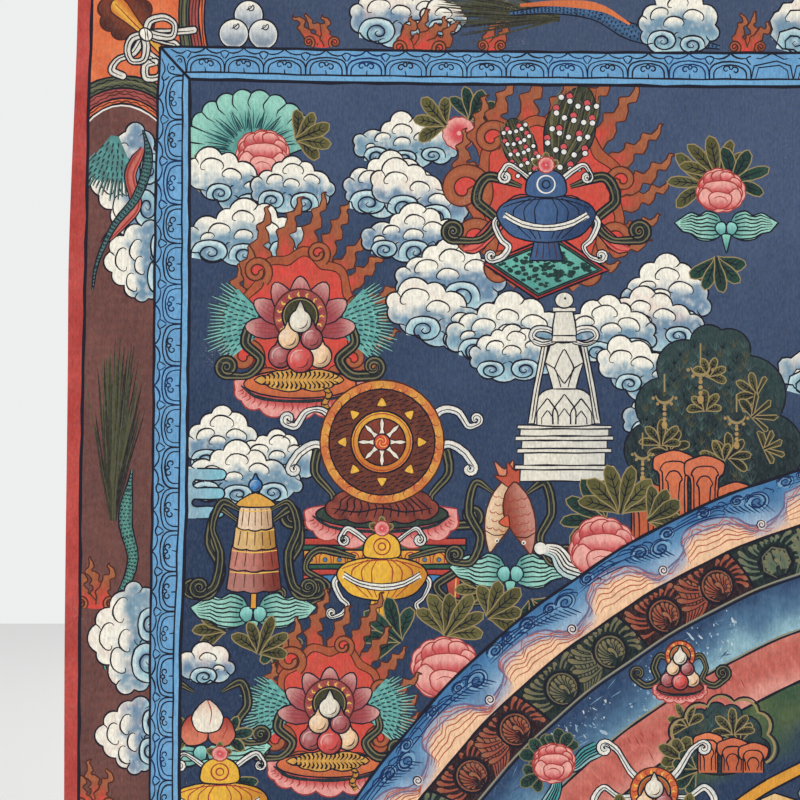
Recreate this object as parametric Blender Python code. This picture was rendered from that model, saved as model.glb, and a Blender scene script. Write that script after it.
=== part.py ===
"""Thangka painting: one painted cotton cloth that hangs flat by its top edge.

Frame: the origin is the middle of the top edge. +Z is up, +X is to the right of someone who
looks at the painting, and the painted face looks along -Y. Metres.
"""

import math

import bmesh
import bpy

# --- sizes -------------------------------------------------------------------------------------
HEIGHT = 0.617  # top edge to bottom edge, measured down the middle
THICK = 0.0010  # cotton with its ground of chalk and glue, and the paint on it
HEADING = 0.012  # strip along the top that is held straight, so it stays flat
SETTLE = 0.080  # below the heading, the length over which the cloth takes up its waves
ACROSS = 26  # columns of facets
DOWN = 34  # rows of facets

# The two cut sides. Each row: how far down, where the left side is, where the right side is.
SIDES = (
    # down    left      right
    (0.000, -0.2301, 0.2301),
    (0.080, -0.2323, 0.2306),
    (0.175, -0.2330, 0.2312),
    (0.317, -0.2332, 0.2316),
    (0.483, -0.2325, 0.2317),
    (0.617, -0.2320, 0.2314),
)

# The bottom edge. Each row: place across, as a share of the width, and how much lower the edge is.
BOTTOM = (
    # share  lower
    (0.00, 0.0006),
    (0.25, -0.0004),
    (0.50, 0.0000),
    (0.78, 0.0007),
    (1.00, -0.0003),
)

# Soft waves of the hanging cloth, each a long low swelling towards the viewer. The troughs are
# what lies between them, so the cloth never reaches behind the plane of its heading.
WAVES = (
    # name            x       z       half width  half length  lean (deg)  height
    ("left_edge",     -0.222, -0.290, 0.036,      0.150,        3.0,       0.0021),
    ("left_rise",     -0.118, -0.250, 0.030,      0.110,       -4.0,       0.0012),
    ("middle_rise",   -0.015, -0.430, 0.046,      0.180,        3.0,       0.0020),
    ("upper_rise",     0.052, -0.190, 0.034,      0.080,       -6.0,       0.0010),
    ("right_rise",     0.126, -0.350, 0.034,      0.150,        5.0,       0.0014),
    ("right_edge",     0.224, -0.400, 0.034,      0.170,       -3.0,       0.0023),
    ("corner_left",   -0.226, -0.612, 0.055,      0.075,       28.0,       0.0044),
    ("corner_right",   0.226, -0.612, 0.064,      0.066,      -33.0,       0.0036),
)


def along(table, column, at):
    """A smooth value between the rows of a table."""
    rows = [r for r in table]
    if at <= rows[0][0]:
        return rows[0][column]
    for before, after in zip(rows, rows[1:]):
        if at <= after[0]:
            t = (at - before[0]) / (after[0] - before[0])
            t = t * t * (3 - 2 * t)
            return before[column] + t * (after[column] - before[column])
    return rows[-1][column]


def depth(x, z):
    """How far the middle of the cloth stands from the plane of the heading, + away from the viewer."""
    share = min(1.0, max(0.0, (-z - HEADING) / SETTLE))
    share = share * share * (3 - 2 * share)
    total = 0.0
    for _, cx, cz, wide, long, lean, height in WAVES:
        a = math.radians(lean)
        dx, dz = x - cx, z - cz
        u = (dx * math.cos(a) + dz * math.sin(a)) / wide
        v = (-dx * math.sin(a) + dz * math.cos(a)) / long
        total -= height * math.exp(-0.5 * (u * u + v * v))
    return share * total


def rows_down():
    """The rows' places down the cloth. The heading is one row of its own."""
    rest = DOWN - 1
    return [0.0] + [HEADING + (HEIGHT - HEADING) * i / rest for i in range(rest + 1)]


def cloth():
    mesh = bmesh.new()
    front, back = [], []
    for down in rows_down():
        left, right = along(SIDES, 1, down), along(SIDES, 2, down)
        foot = max(0.0, (down - HEADING) / (HEIGHT - HEADING)) ** 3
        row_front, row_back = [], []
        for i in range(ACROSS + 1):
            share = i / ACROSS
            x = left + (right - left) * share
            z = -down - foot * along(BOTTOM, 1, share)
            y = depth(x, z)
            row_front.append(mesh.verts.new((x, y - THICK / 2, z)))
            row_back.append(mesh.verts.new((x, y + THICK / 2, z)))
        front.append(row_front)
        back.append(row_back)
    last = len(front) - 1
    for j in range(last):
        for i in range(ACROSS):
            mesh.faces.new((front[j][i], front[j + 1][i], front[j + 1][i + 1], front[j][i + 1]))
            mesh.faces.new((back[j][i], back[j][i + 1], back[j + 1][i + 1], back[j + 1][i]))
        mesh.faces.new((front[j][0], back[j][0], back[j + 1][0], front[j + 1][0]))
        mesh.faces.new((front[j][ACROSS], front[j + 1][ACROSS], back[j + 1][ACROSS], back[j][ACROSS]))
    for i in range(ACROSS):
        mesh.faces.new((front[0][i], front[0][i + 1], back[0][i + 1], back[0][i]))
        mesh.faces.new((front[last][i], back[last][i], back[last][i + 1], front[last][i + 1]))
    bmesh.ops.triangulate(mesh, faces=mesh.faces[:], quad_method="FIXED")
    bmesh.ops.recalc_face_normals(mesh, faces=mesh.faces[:])
    data = bpy.data.meshes.new("painted_cloth")
    mesh.to_mesh(data)
    mesh.free()
    data.shade_smooth()
    data.set_sharp_from_angle(angle=math.radians(40))
    return data


def finish(name, colour, roughness):
    material = bpy.data.materials.new(name)
    material.use_nodes = True
    shader = next(n for n in material.node_tree.nodes if n.type == "BSDF_PRINCIPLED")
    shader.inputs["Base Color"].default_value = (*colour, 1.0)
    shader.inputs["Roughness"].default_value = roughness
    shader.inputs["Metallic"].default_value = 0.0
    return material


def main():
    for obj in list(bpy.data.objects):
        bpy.data.objects.remove(obj, do_unlink=True)
    painting = bpy.data.objects.new("painted_cloth", cloth())
    painting.data.materials.append(finish("painted_cotton", (0.045, 0.066, 0.150), 0.8))
    bpy.context.scene.collection.objects.link(painting)


main()
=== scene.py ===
"""Thangka painting: the looks of the painted cloth.

The drawing is laid out on a flat sheet in units of about a quarter of a millimetre, x to the
right and y down. Washes and brush lines are polygons on that sheet. Each part of the sheet is cut
into one flat mosaic of triangles, which takes at every place the paint that was put on last, and
the mosaic is then laid on the hanging cloth.
"""

import math

import bpy
import numpy as np
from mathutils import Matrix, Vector
from mathutils.bvhtree import BVHTree
from mathutils.geometry import delaunay_2d_cdt


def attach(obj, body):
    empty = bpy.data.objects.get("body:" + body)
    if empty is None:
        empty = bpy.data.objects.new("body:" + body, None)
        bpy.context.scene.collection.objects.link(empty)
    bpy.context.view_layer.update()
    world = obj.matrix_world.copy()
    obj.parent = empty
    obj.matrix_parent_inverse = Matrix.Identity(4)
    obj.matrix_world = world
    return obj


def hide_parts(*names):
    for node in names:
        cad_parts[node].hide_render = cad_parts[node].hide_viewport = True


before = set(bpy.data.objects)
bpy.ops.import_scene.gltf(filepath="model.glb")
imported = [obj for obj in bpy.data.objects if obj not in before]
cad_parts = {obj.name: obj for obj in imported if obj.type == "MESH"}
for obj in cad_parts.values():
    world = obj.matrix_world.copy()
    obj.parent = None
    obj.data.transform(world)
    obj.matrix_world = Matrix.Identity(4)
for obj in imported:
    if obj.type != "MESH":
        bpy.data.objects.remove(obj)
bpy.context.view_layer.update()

# --- the cloth ---------------------------------------------------------------------------------
HEIGHT = 0.617
THICK = 0.0010
HEADING = 0.012
SETTLE = 0.080
SKIN = 0.00006  # the paint stands this far in front of the cotton

SIDES = (
    # down    left      right
    (0.000, -0.2301, 0.2301),
    (0.080, -0.2323, 0.2306),
    (0.175, -0.2330, 0.2312),
    (0.317, -0.2332, 0.2316),
    (0.483, -0.2325, 0.2317),
    (0.617, -0.2320, 0.2314),
)
BOTTOM = (
    # share  lower
    (0.00, 0.0006),
    (0.25, -0.0004),
    (0.50, 0.0000),
    (0.78, 0.0007),
    (1.00, -0.0003),
)
WAVES = (
    # name            x       z       half width  half length  lean (deg)  height
    ("left_edge", -0.222, -0.290, 0.036, 0.150, 3.0, 0.0021),
    ("left_rise", -0.118, -0.250, 0.030, 0.110, -4.0, 0.0012),
    ("middle_rise", -0.015, -0.430, 0.046, 0.180, 3.0, 0.0020),
    ("upper_rise", 0.052, -0.190, 0.034, 0.080, -6.0, 0.0010),
    ("right_rise", 0.126, -0.350, 0.034, 0.150, 5.0, 0.0014),
    ("right_edge", 0.224, -0.400, 0.034, 0.170, -3.0, 0.0023),
    ("corner_left", -0.226, -0.612, 0.055, 0.075, 28.0, 0.0044),
    ("corner_right", 0.226, -0.612, 0.064, 0.066, -33.0, 0.0036),
)


def along(table, column, at):
    """Smooth values between the rows of a table."""
    at = np.asarray(at, float)
    x = np.array([r[0] for r in table], float)
    v = np.array([r[column] for r in table], float)
    i = np.clip(np.searchsorted(x, at, side="right") - 1, 0, len(x) - 2)
    t = np.clip((at - x[i]) / (x[i + 1] - x[i]), 0, 1)
    return v[i] + t * t * (3 - 2 * t) * (v[i + 1] - v[i])


def depth(x, z):
    share = np.clip((-z - HEADING) / SETTLE, 0, 1)
    share = share * share * (3 - 2 * share)
    total = np.zeros_like(x)
    for _, cx, cz, wide, long, lean, height in WAVES:
        a = math.radians(lean)
        dx, dz = x - cx, z - cz
        u = (dx * math.cos(a) + dz * math.sin(a)) / wide
        v = (-dx * math.sin(a) + dz * math.cos(a)) / long
        total -= height * np.exp(-0.5 * (u * u + v * v))
    return share * total


# --- the sheet the drawing is laid out on -----------------------------------------------------
UNIT = 0.000238  # metres for one unit of the drawing
MID_X, TOP_Y = 1045.0, -35.0
LEFT_X, RIGHT_X, FOOT_Y = 69.0, 2021.0, 2557.4
WHEEL = (1045.0, 1264.0)  # the middle of the great wheel

# How far each upright line of the frame strays from its ruled place, by height on the sheet.
LEFT_LINES = (
    # y      strip   band outside  band inside
    (-35.0, 9.5, 8.0, 4.0),
    (48.0, 7.0, 6.0, 2.5),
    (110.0, 4.5, 3.5, 2.0),
    (200.0, 3.5, 1.5, 2.0),
    (300.0, 1.5, 0.5, 2.0),
    (400.0, -0.5, 0.0, 0.5),
    (500.0, -2.5, -1.0, -0.5),
    (570.0, -2.5, -2.0, -3.0),
    (650.0, -3.0, -3.0, -6.5),
    (770.0, -3.5, -3.0, -7.5),
    (1264.0, -4.0, -4.0, -5.0),
    (2000.0, -1.0, -1.0, -1.0),
    (2557.0, 1.0, 1.5, 1.0),
)
# How far each level line of the frame at the top strays, by place across the sheet.
TOP_LINES = (
    # x      band outside  band inside
    (69.0, -3.0, -4.0),
    (190.0, -2.0, -3.0),
    (350.0, 1.0, 0.5),
    (470.0, 2.5, 2.0),
    (600.0, 3.6, 2.8),
    (700.0, 4.0, 4.4),
    (1045.0, 4.5, 5.0),
    (1900.0, 1.0, 0.0),
    (2021.0, 0.0, 0.0),
)


def strayed(p):
    """Where the points of the ruled sheet really lie on the hand-drawn one."""
    x, y = p[:, 0], p[:, 1]
    down = np.clip((y - TOP_Y) * UNIT, 0, HEIGHT)
    left = along(SIDES, 1, down) / UNIT + MID_X - LEFT_X
    right = along(SIDES, 2, down) / UNIT + MID_X - RIGHT_X
    guides = (
        (LEFT_X, left),
        (82.5, along(LEFT_LINES, 1, y)),
        (153.0, along(LEFT_LINES, 2, y)),
        (186.0, along(LEFT_LINES, 3, y)),
        (330.0, 0 * y),
        (1760.0, 0 * y),
        (1904.0, right * 0.5),
        (1937.0, right * 0.6),
        (RIGHT_X, right),
    )
    dx = np.where(x <= LEFT_X, left, right)
    for (xa, da), (xb, db) in zip(guides, guides[1:]):
        here = (x > xa) & (x <= xb)
        t = (x - xa) / (xb - xa)
        dx = np.where(here, da + (db - da) * t, dx)
    rows = (
        (TOP_Y, 0 * x),
        (50.0, along(TOP_LINES, 1, x)),
        (79.0, along(TOP_LINES, 2, x)),
        (230.0, 0 * x),
        (2300.0, 0 * x),
        (FOOT_Y, along(BOTTOM, 1, (x - LEFT_X) / (RIGHT_X - LEFT_X)) / UNIT),
    )
    dy = np.zeros_like(y)
    for (ya, da), (yb, db) in zip(rows, rows[1:]):
        here = (y > ya) & (y <= yb)
        t = (y - ya) / (yb - ya)
        dy = np.where(here, da + (db - da) * t, dy)
    return np.stack([x + dx, y + dy], 1)


def on_cloth(p, lift):
    """Points of the sheet as points in space, this far in front of the cotton."""
    q = strayed(p)
    x, z = (q[:, 0] - MID_X) * UNIT, -(q[:, 1] - TOP_Y) * UNIT
    return np.stack([x, depth(x, z) - THICK / 2 - lift, z], 1)


# --- colours, as the eye sees them, 0 to 1 ----------------------------------------------------
def c(r, g, b):
    return np.array([r, g, b], float) / 255


NAVY = c(43, 60, 89)
NAVY_PALE = c(72, 88, 118)
BLUE = c(104, 164, 214)
BLUE_DEEP = c(52, 112, 184)
BLUE_DARK = c(38, 66, 112)
CREAM = c(252, 246, 230)
HAZE = c(134, 156, 172)
MIST = c(176, 208, 214)
SLATE = c(98, 122, 144)
RED = c(220, 76, 66)
REDS = c(184, 74, 68)
RUST = c(164, 88, 58)
ORANGE = c(231, 122, 76)
MAROON = c(108, 68, 62)
ROSE = c(176, 82, 78)
PINK = c(228, 134, 128)
PINK_PALE = c(240, 170, 160)
CRIMSON = c(204, 84, 84)
TEAL = c(142, 210, 190)
TEAL_DARK = c(74, 140, 134)
GREEN = c(40, 74, 62)
OLIVE = c(104, 100, 56)
OLIVE_DARK = c(62, 66, 44)
TAN = c(168, 138, 92)
PEACH = c(250, 206, 166)
YELLOW = c(238, 184, 74)
GOLD = c(226, 158, 60)
WHITE = c(240, 234, 222)
BROWN = c(120, 66, 48)

INKS = {
    # name          colour
    "ink": c(34, 34, 46),
    "ink_blue": c(30, 50, 92),
    "ink_red": c(166, 62, 58),
    "ink_brown": c(84, 46, 40),
    "line_tan": c(160, 140, 98),
    "line_stone": c(150, 144, 122),
    "line_olive": c(124, 118, 88),
    "line_white": c(240, 236, 226),
    "line_teal": c(46, 92, 96),
    "line_gold": c(240, 190, 92),
    "line_pink": c(240, 172, 164),
    "line_blue": c(122, 178, 222),
}
SLOTS = ["paint"] + list(INKS)


def mix(a, b, t):
    t = np.clip(np.asarray(t, float), 0, 1)
    return np.asarray(a) + (np.asarray(b) - np.asarray(a)) * t[..., None]


def ramp(lo, hi, v):
    t = np.clip((np.asarray(v, float) - lo) / (hi - lo), 0, 1)
    return t * t * (3 - 2 * t)


def ripple(p, size, seed):
    """Soft uneven values, about -1 to 1, with lumps of about this size."""
    rnd = np.random.default_rng(seed)
    total = np.zeros(len(p))
    for _ in range(5):
        a = rnd.uniform(0, 2 * math.pi)
        k = 2 * math.pi / (size * rnd.uniform(0.8, 1.9))
        total += np.sin((p[:, 0] * math.cos(a) + p[:, 1] * math.sin(a)) * k + rnd.uniform(0, 6.3))
    return total / 2.6


# --- brush and wash ---------------------------------------------------------------------------
class Place:
    """Where a motif goes: moved, turned by degrees, sized, and mirrored left to right."""

    def __init__(self, x=0.0, y=0.0, size=1.0, turn=0.0, mirror=False, tall=1.0):
        a = math.radians(turn)
        m = -1.0 if mirror else 1.0
        self.m = np.array(
            [
                [math.cos(a) * size * m, -math.sin(a) * size * tall],
                [math.sin(a) * size * m, math.cos(a) * size * tall],
            ]
        )
        self.o = np.array([x, y], float)
        self.size = size
        self.inv = np.linalg.inv(self.m)

    def __call__(self, p):
        return np.asarray(p, float) @ self.m.T + self.o

    def back(self, g):
        return (g - self.o) @ self.inv.T

    def then(self, x=0.0, y=0.0, size=1.0, turn=0.0, mirror=False, tall=1.0):
        """A place inside this one."""
        inner = Place(x, y, size, turn, mirror, tall)
        made = Place()
        made.m = self.m @ inner.m
        made.o = self(inner.o)
        made.size = self.size * size
        made.inv = np.linalg.inv(made.m)
        return made


HERE = Place()


class Sheet:
    """All that is painted, in the order it is painted."""

    def __init__(self):
        self.points, self.count = [], 0
        self.faces, self.face_item, self.items, self.free, self.free_item = [], [], [], [], []
        self.slopes = []  # each face's own colour slope, or None

    def put(self, points, faces, slot, colour, slopes=None):
        base = self.count
        self.points.append(points)
        self.count += len(points)
        k = len(self.items)
        self.items.append((SLOTS.index(slot), colour))
        for i, f in enumerate(faces):
            self.faces.append([base + j for j in f])
            self.face_item.append(k)
            self.slopes.append(None if slopes is None else slopes[i])


ART = Sheet()


def turn_of(p):
    q = np.roll(p, -1, 0)
    return float((p[:, 0] * q[:, 1] - q[:, 0] * p[:, 1]).sum())


def cut_up(p, longest, closed=True):
    """The same line with no piece longer than this."""
    out = []
    n = len(p)
    for i in range(n if closed else n - 1):
        a, b = p[i], p[(i + 1) % n]
        k = max(1, int(math.ceil(math.hypot(*(b - a)) / longest)))
        out.extend(a + (b - a) * (j / k) for j in range(k))
    if not closed:
        out.append(p[-1])
    return np.array(out)


def thinned(p, turn=0.16, longest=14.0, closed=False):
    """The same line with fewer points where it is nearly straight."""
    if len(p) < 4:
        return p
    keep = [0]
    last = p[1] - p[0]
    for i in range(1, len(p) - 1):
        step = p[i + 1] - p[i]
        gone = math.hypot(*(p[i + 1] - p[keep[-1]]))
        cross = last[0] * step[1] - last[1] * step[0]
        dot = last[0] * step[0] + last[1] * step[1]
        if abs(math.atan2(cross, dot)) > turn or gone > longest:
            keep.append(i)
            last = step
    keep.append(len(p) - 1)
    return p[keep]


def inside(q, p):
    """Which points q lie inside the outline p."""
    a, b = p, np.roll(p, -1, 0)
    x, y = q[:, 0][:, None], q[:, 1][:, None]
    above = (a[:, 1] > y) != (b[:, 1] > y)
    rise = np.where(np.abs(b[:, 1] - a[:, 1]) < 1e-12, 1e-12, b[:, 1] - a[:, 1])
    cross = (b[:, 0] - a[:, 0]) * (y - a[:, 1]) / rise + a[:, 0]
    return ((above & (x < cross)).sum(1) % 2) == 1


FAR = 5.0


def near(place):
    """Whether a thing painted here is in the finest part of the drawing."""
    return place.o[0] < 790 and place.o[1] < 880


def loose(p):
    """How much coarser the mosaic may be here: finest in the upper left quarter."""
    return 1.0 if p[:, 0].min() < 750 and p[:, 1].min() < 825 else FAR


def wash(place, outline, colour, step=None):
    """An area of paint. colour is one colour, or a function of the motif's own points."""
    p = place(outline)
    slack = loose(p)
    step = step * slack if step else step
    if slack > 1 and np.ptp(p, 0).max() < 5:
        return
    p = thinned(np.vstack([p, p[:1]]), 0.12 * slack, 16.0 * slack)[:-1]
    p = cut_up(p, 16.0 * slack ** 0.7)
    if len(p) < 3:
        return
    keep = np.hypot(*(p - np.roll(p, 1, 0)).T) > 0.02
    p = p[keep]
    if len(p) < 3:
        return
    if turn_of(p) > 0:
        p = p[::-1]
    if callable(colour):
        tint = lambda g: colour(place.back(g))
        if step:
            lo, hi = p.min(0), p.max(0)
            xs, ys = np.arange(lo[0] + step / 2, hi[0], step), np.arange(lo[1] + step / 2, hi[1], step * 0.87)
            if len(xs) and len(ys):
                gx, gy = np.meshgrid(xs, ys)
                gx = gx + (np.arange(len(ys)) % 2)[:, None] * step / 2
                g = np.stack([gx.ravel(), gy.ravel()], 1)
                g = g[inside(g, p)]
                ART.free.append(g)
                ART.free_item.append(np.full(len(g), len(ART.items)))
    else:
        tint = np.asarray(colour, float)
    ART.put(p, [list(range(len(p)))], "paint", tint)


def brush(place, path, width=1.7, ink="ink", taper=(0.5, 0.5), shake=0.25, closed=False, colour=None):
    """A brush line, thinner at its ends. taper is how thin each end gets, 1 for not at all."""
    p = place(path)
    if closed:
        p = np.vstack([p, p[:1]])
    slack = loose(p)
    p = thinned(p, 0.2 * slack ** 0.8, 12.0 * slack)
    if len(p) < 2:
        return
    seg = np.hypot(*np.diff(p, axis=0).T)
    if slack > 1 and (seg.sum() < 13 or width < 1.15):
        return
    keep = np.concatenate([[True], seg > 0.05])
    p = p[keep]
    if len(p) < 2:
        return
    run = np.concatenate([[0], np.cumsum(np.hypot(*np.diff(p, axis=0).T))])
    total = run[-1]
    t = np.gradient(p, axis=0)
    if closed:
        t[0] = t[-1] = p[1] - p[-2]
    t /= np.maximum(np.hypot(*t.T), 1e-9)[:, None]
    n = np.stack([-t[:, 1], t[:, 0]], 1)
    seed = int(abs(p[0, 0] * 7.3 + p[0, 1] * 13.7 + total)) % 99991
    rnd = np.random.default_rng(seed)
    w = 1 + 0.13 * np.sin(run / 7.0 + rnd.uniform(0, 6.3)) + 0.09 * np.sin(run / 2.9 + rnd.uniform(0, 6.3))
    if shake and not closed:
        p = p + n * (shake * np.sin(run / 9.0 + rnd.uniform(0, 6.3)))[:, None]
    if not closed:
        reach = max(min(total * 0.35, 14.0), 1e-6)
        w *= taper[0] + (1 - taper[0]) * np.clip(run / reach, 0, 1)
        w *= taper[1] + (1 - taper[1]) * np.clip((total - run) / reach, 0, 1)
    h = (width / 2) * w[:, None]
    a, b = p + n * h, p - n * h
    k = len(p)
    faces = [[i, i + 1, k + i + 1, k + i] for i in range(k - 1)]
    pts = np.vstack([a, b])
    q = pts[faces[0]]
    if turn_of(q) > 0:
        faces = [f[::-1] for f in faces]
    ART.put(pts, faces, "paint" if colour is not None else ink, colour if colour is not None else None)


def slope_of(points, colours):
    """The colour that changes evenly over a face, from the colours of its corners."""
    o = points.mean(0)
    a = np.hstack([np.ones((len(points), 1)), points - o])
    m, *_ = np.linalg.lstsq(a, colours, rcond=None)
    return o, m


def band(place, path, half, colour, columns=(-1, -0.4, 0.4, 1), thin=True):
    """A strip of paint along a path. half is its half width at each point, colour(u, v) its colour."""
    p = place(path)
    half = np.broadcast_to(np.asarray(half, float), (len(p),)) * place.size
    run = np.concatenate([[0], np.cumsum(np.hypot(*np.diff(p, axis=0).T))])
    if thin and len(p) > 4:
        slack = loose(p)
        q = thinned(p, 0.16 * slack, 10.0 * slack)
        if slack > 1 and len(columns) > 2:
            columns = (-1, 1)
        r2 = np.array([np.argmin(np.hypot(*(p - x).T)) for x in q])
        p, half, run = p[r2], half[r2], run[r2]
    if len(p) < 2:
        return
    t = np.gradient(p, axis=0)
    t /= np.maximum(np.hypot(*t.T), 1e-9)[:, None]
    n = np.stack([-t[:, 1], t[:, 0]], 1)
    u = run / max(run[-1], 1e-9)
    k, m = len(p), len(columns)
    pts = np.concatenate([p + n * (half * v)[:, None] for v in columns])
    cols = np.concatenate([colour(u, np.full(k, v)) for v in columns])
    faces, slopes = [], []
    for j in range(m - 1):
        for i in range(k - 1):
            f = [j * k + i, j * k + i + 1, (j + 1) * k + i + 1, (j + 1) * k + i]
            if turn_of(pts[f]) > 0:
                f = f[::-1]
            faces.append(f)
            slopes.append(slope_of(pts[f], cols[f]))
    ART.put(pts, faces, "paint", "slopes", slopes)


# --- lines ------------------------------------------------------------------------------------
def curve(points, closed=False, step=2.0):
    """A smooth line through the points."""
    p = np.asarray(points, float)
    n = len(p)
    if closed:
        q = np.vstack([p[-1:], p, p[:2]])
        spans = n
    else:
        q = np.vstack([2 * p[0] - p[1], p, 2 * p[-1] - p[-2]])
        spans = n - 1
    out = []
    for i in range(spans):
        a, b, d, e = q[i], q[i + 1], q[i + 2], q[i + 3]
        k = max(2, int(math.hypot(*(d - b)) / step))
        t = np.arange(k)[:, None] / k
        out.append(
            0.5 * ((2 * b) + (-a + d) * t + (2 * a - 5 * b + 4 * d - e) * t**2 + (-a + 3 * b - 3 * d + e) * t**3)
        )
    if not closed:
        out.append(p[-1:])
    return np.vstack(out)


def arc(cx, cy, r, start, end, ry=None, step=1.6):
    """Part of a circle or oval, in degrees, 0 to the right and 90 down."""
    ry = r if ry is None else ry
    k = max(4, int(abs(end - start) / 360 * 2 * math.pi * max(r, ry) / step))
    a = np.radians(np.linspace(start, end, k + 1))
    return np.stack([cx + r * np.cos(a), cy + ry * np.sin(a)], 1)


def oval(cx, cy, r, ry=None, step=1.8):
    return arc(cx, cy, r, 0, 360, ry, step)[:-1]


def coil(cx, cy, r, start, turns, end=0.2, step=1.5, ry=1.0):
    """A line that winds in from radius r to end times r."""
    k = max(10, int(abs(turns) * 2 * math.pi * r * 0.65 / step))
    t = np.linspace(0, 1, k)
    a = math.radians(start) + t * turns * 2 * math.pi
    rr = r * (1 + (end - 1) * t)
    return np.stack([cx + rr * np.cos(a), cy + ry * rr * np.sin(a)], 1)


def lobes(rows, closed=True, step=2.4):
    """An outline of bulging arcs. Each row: x, y, and how far the arc from there to the next row bulges, as a share of its span. Clockwise."""
    r = np.asarray(rows, float)
    out = []
    n = len(r)
    for i in range(n if closed else n - 1):
        a, b, bulge = r[i, :2], r[(i + 1) % n, :2], r[i, 2]
        d = b - a
        span = math.hypot(*d)
        if span < 1e-6:
            continue
        h = bulge * span
        if abs(h) < 0.05:
            k = max(1, int(span / 8))
            out.extend(a + d * (j / k) for j in range(k))
            continue
        t, nrm = d / span, np.array([d[1], -d[0]]) / span
        half = 2 * math.atan2(2 * abs(h), span)
        radius = (span * span / 4 + h * h) / (2 * abs(h))
        s = 1 if h > 0 else -1
        mid = (a + b) / 2 + nrm * s * (abs(h) - radius)
        k = max(4, int(2 * half * radius / step))
        for j in range(k):
            g = -half + 2 * half * j / k
            out.append(mid + radius * (math.sin(g) * t + math.cos(g) * nrm * s))
    if not closed:
        out.append(r[-1, :2])
    return np.array(out)


def away(q, outline):
    """How far each point is from the outline."""
    best = np.full(len(q), 1e9)
    for i in range(0, len(outline), 2):
        best = np.minimum(best, (q[:, 0] - outline[i, 0]) ** 2 + (q[:, 1] - outline[i, 1]) ** 2)
    return np.sqrt(best)


def ground(q):
    """The dark blue that shows between the things painted on it."""
    x, y = q[:, 0], q[:, 1]
    # painted sheen: the blue is lighter towards the top and towards the right; the ripples over it are uneven paint
    t = 0.86 - np.clip((y - 90) / 560, 0, 0.95) + np.clip((x - 400) / 1400, -0.2, 0.4)
    t += 0.15 * ripple(q, 260, 11) + 0.10 * ripple(q, 90, 12) + 0.07 * ripple(q, 24, 13)
    return mix(NAVY, NAVY_PALE, t)
# --- clouds -----------------------------------------------------------------------------------
CLOUD_RIMS = {
    # each row: x, y, bulge of the arc to the next row
    "wide": (
        (1, 50, 0.34), (8, 34, 0.24), (26, 24, 0.26), (40, 14, 0.34), (66, 12, 0.26), (84, 26, 0.22),
        (102, 40, 0.40), (104, 58, 0.28), (88, 70, 0.20), (58, 74, 0.20), (28, 74, 0.24), (8, 64, 0.34),
    ),
    "tall": (
        (2, 60, 0.34), (4, 42, 0.26), (17, 28, 0.28), (30, 14, 0.38), (58, 12, 0.30),
        (74, 30, 0.30), (86, 50, 0.38), (82, 70, 0.24), (58, 82, 0.22), (26, 82, 0.26), (8, 72, 0.30),
    ),
    "long": (
        (0, 46, 0.38), (10, 32, 0.24), (32, 26, 0.26), (48, 14, 0.36), (80, 10, 0.28),
        (100, 22, 0.24), (122, 34, 0.26), (138, 48, 0.42), (132, 62, 0.22), (104, 68, 0.18),
        (70, 72, 0.20), (38, 70, 0.22), (12, 62, 0.32),
    ),
    "lean": (
        (1, 30, 0.40), (10, 14, 0.38), (38, 8, 0.30), (58, 18, 0.24), (76, 32, 0.26),
        (94, 46, 0.40), (96, 62, 0.28), (80, 72, 0.20), (54, 70, 0.20), (32, 60, 0.22), (12, 48, 0.30),
    ),
    "small": (
        (1, 32, 0.34), (10, 18, 0.36), (34, 12, 0.34), (52, 26, 0.40), (52, 42, 0.24),
        (32, 50, 0.22), (9, 46, 0.32),
    ),
    "puff": ((1, 20, 0.40), (10, 8, 0.44), (32, 8, 0.42), (40, 24, 0.34), (24, 33, 0.26), (6, 31, 0.34)),
}
CLOUD_HOOKS = {
    # each row: x, y, half width, lean in degrees
    "wide": ((56, 24, 12, 6), (30, 36, 11, -12), (80, 36, 11, 14), (52, 42, 11, 0)),
    "tall": ((46, 26, 12, 0), (22, 40, 10, -14), (60, 42, 11, 8), (38, 48, 10, -4)),
    "long": ((64, 24, 12, 2), (36, 36, 11, -8), (92, 34, 12, 10), (62, 42, 11, 0), (22, 46, 7, -14)),
    "lean": ((26, 22, 12, -6), (50, 30, 11, 8), (72, 44, 10, 14)),
    "small": ((28, 24, 9, 0), (40, 34, 6, 12)),
    "puff": ((19, 19, 8, 0),),
}
CLOUD_CURLS = {
    # each row: x, y, half width, +1 winding right or -1 left
    "wide": ((27, 63, 19, 1), (67, 64, 18, -1)),
    "tall": ((27, 70, 19, 1), (60, 72, 17, -1)),
    "long": ((27, 60, 19, 1), (66, 62, 19, 1), (106, 59, 17, -1)),
    "lean": ((34, 52, 16, 1), (68, 62, 17, -1)),
    "small": ((26, 43, 15, 1),),
    "puff": (),
}


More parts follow.
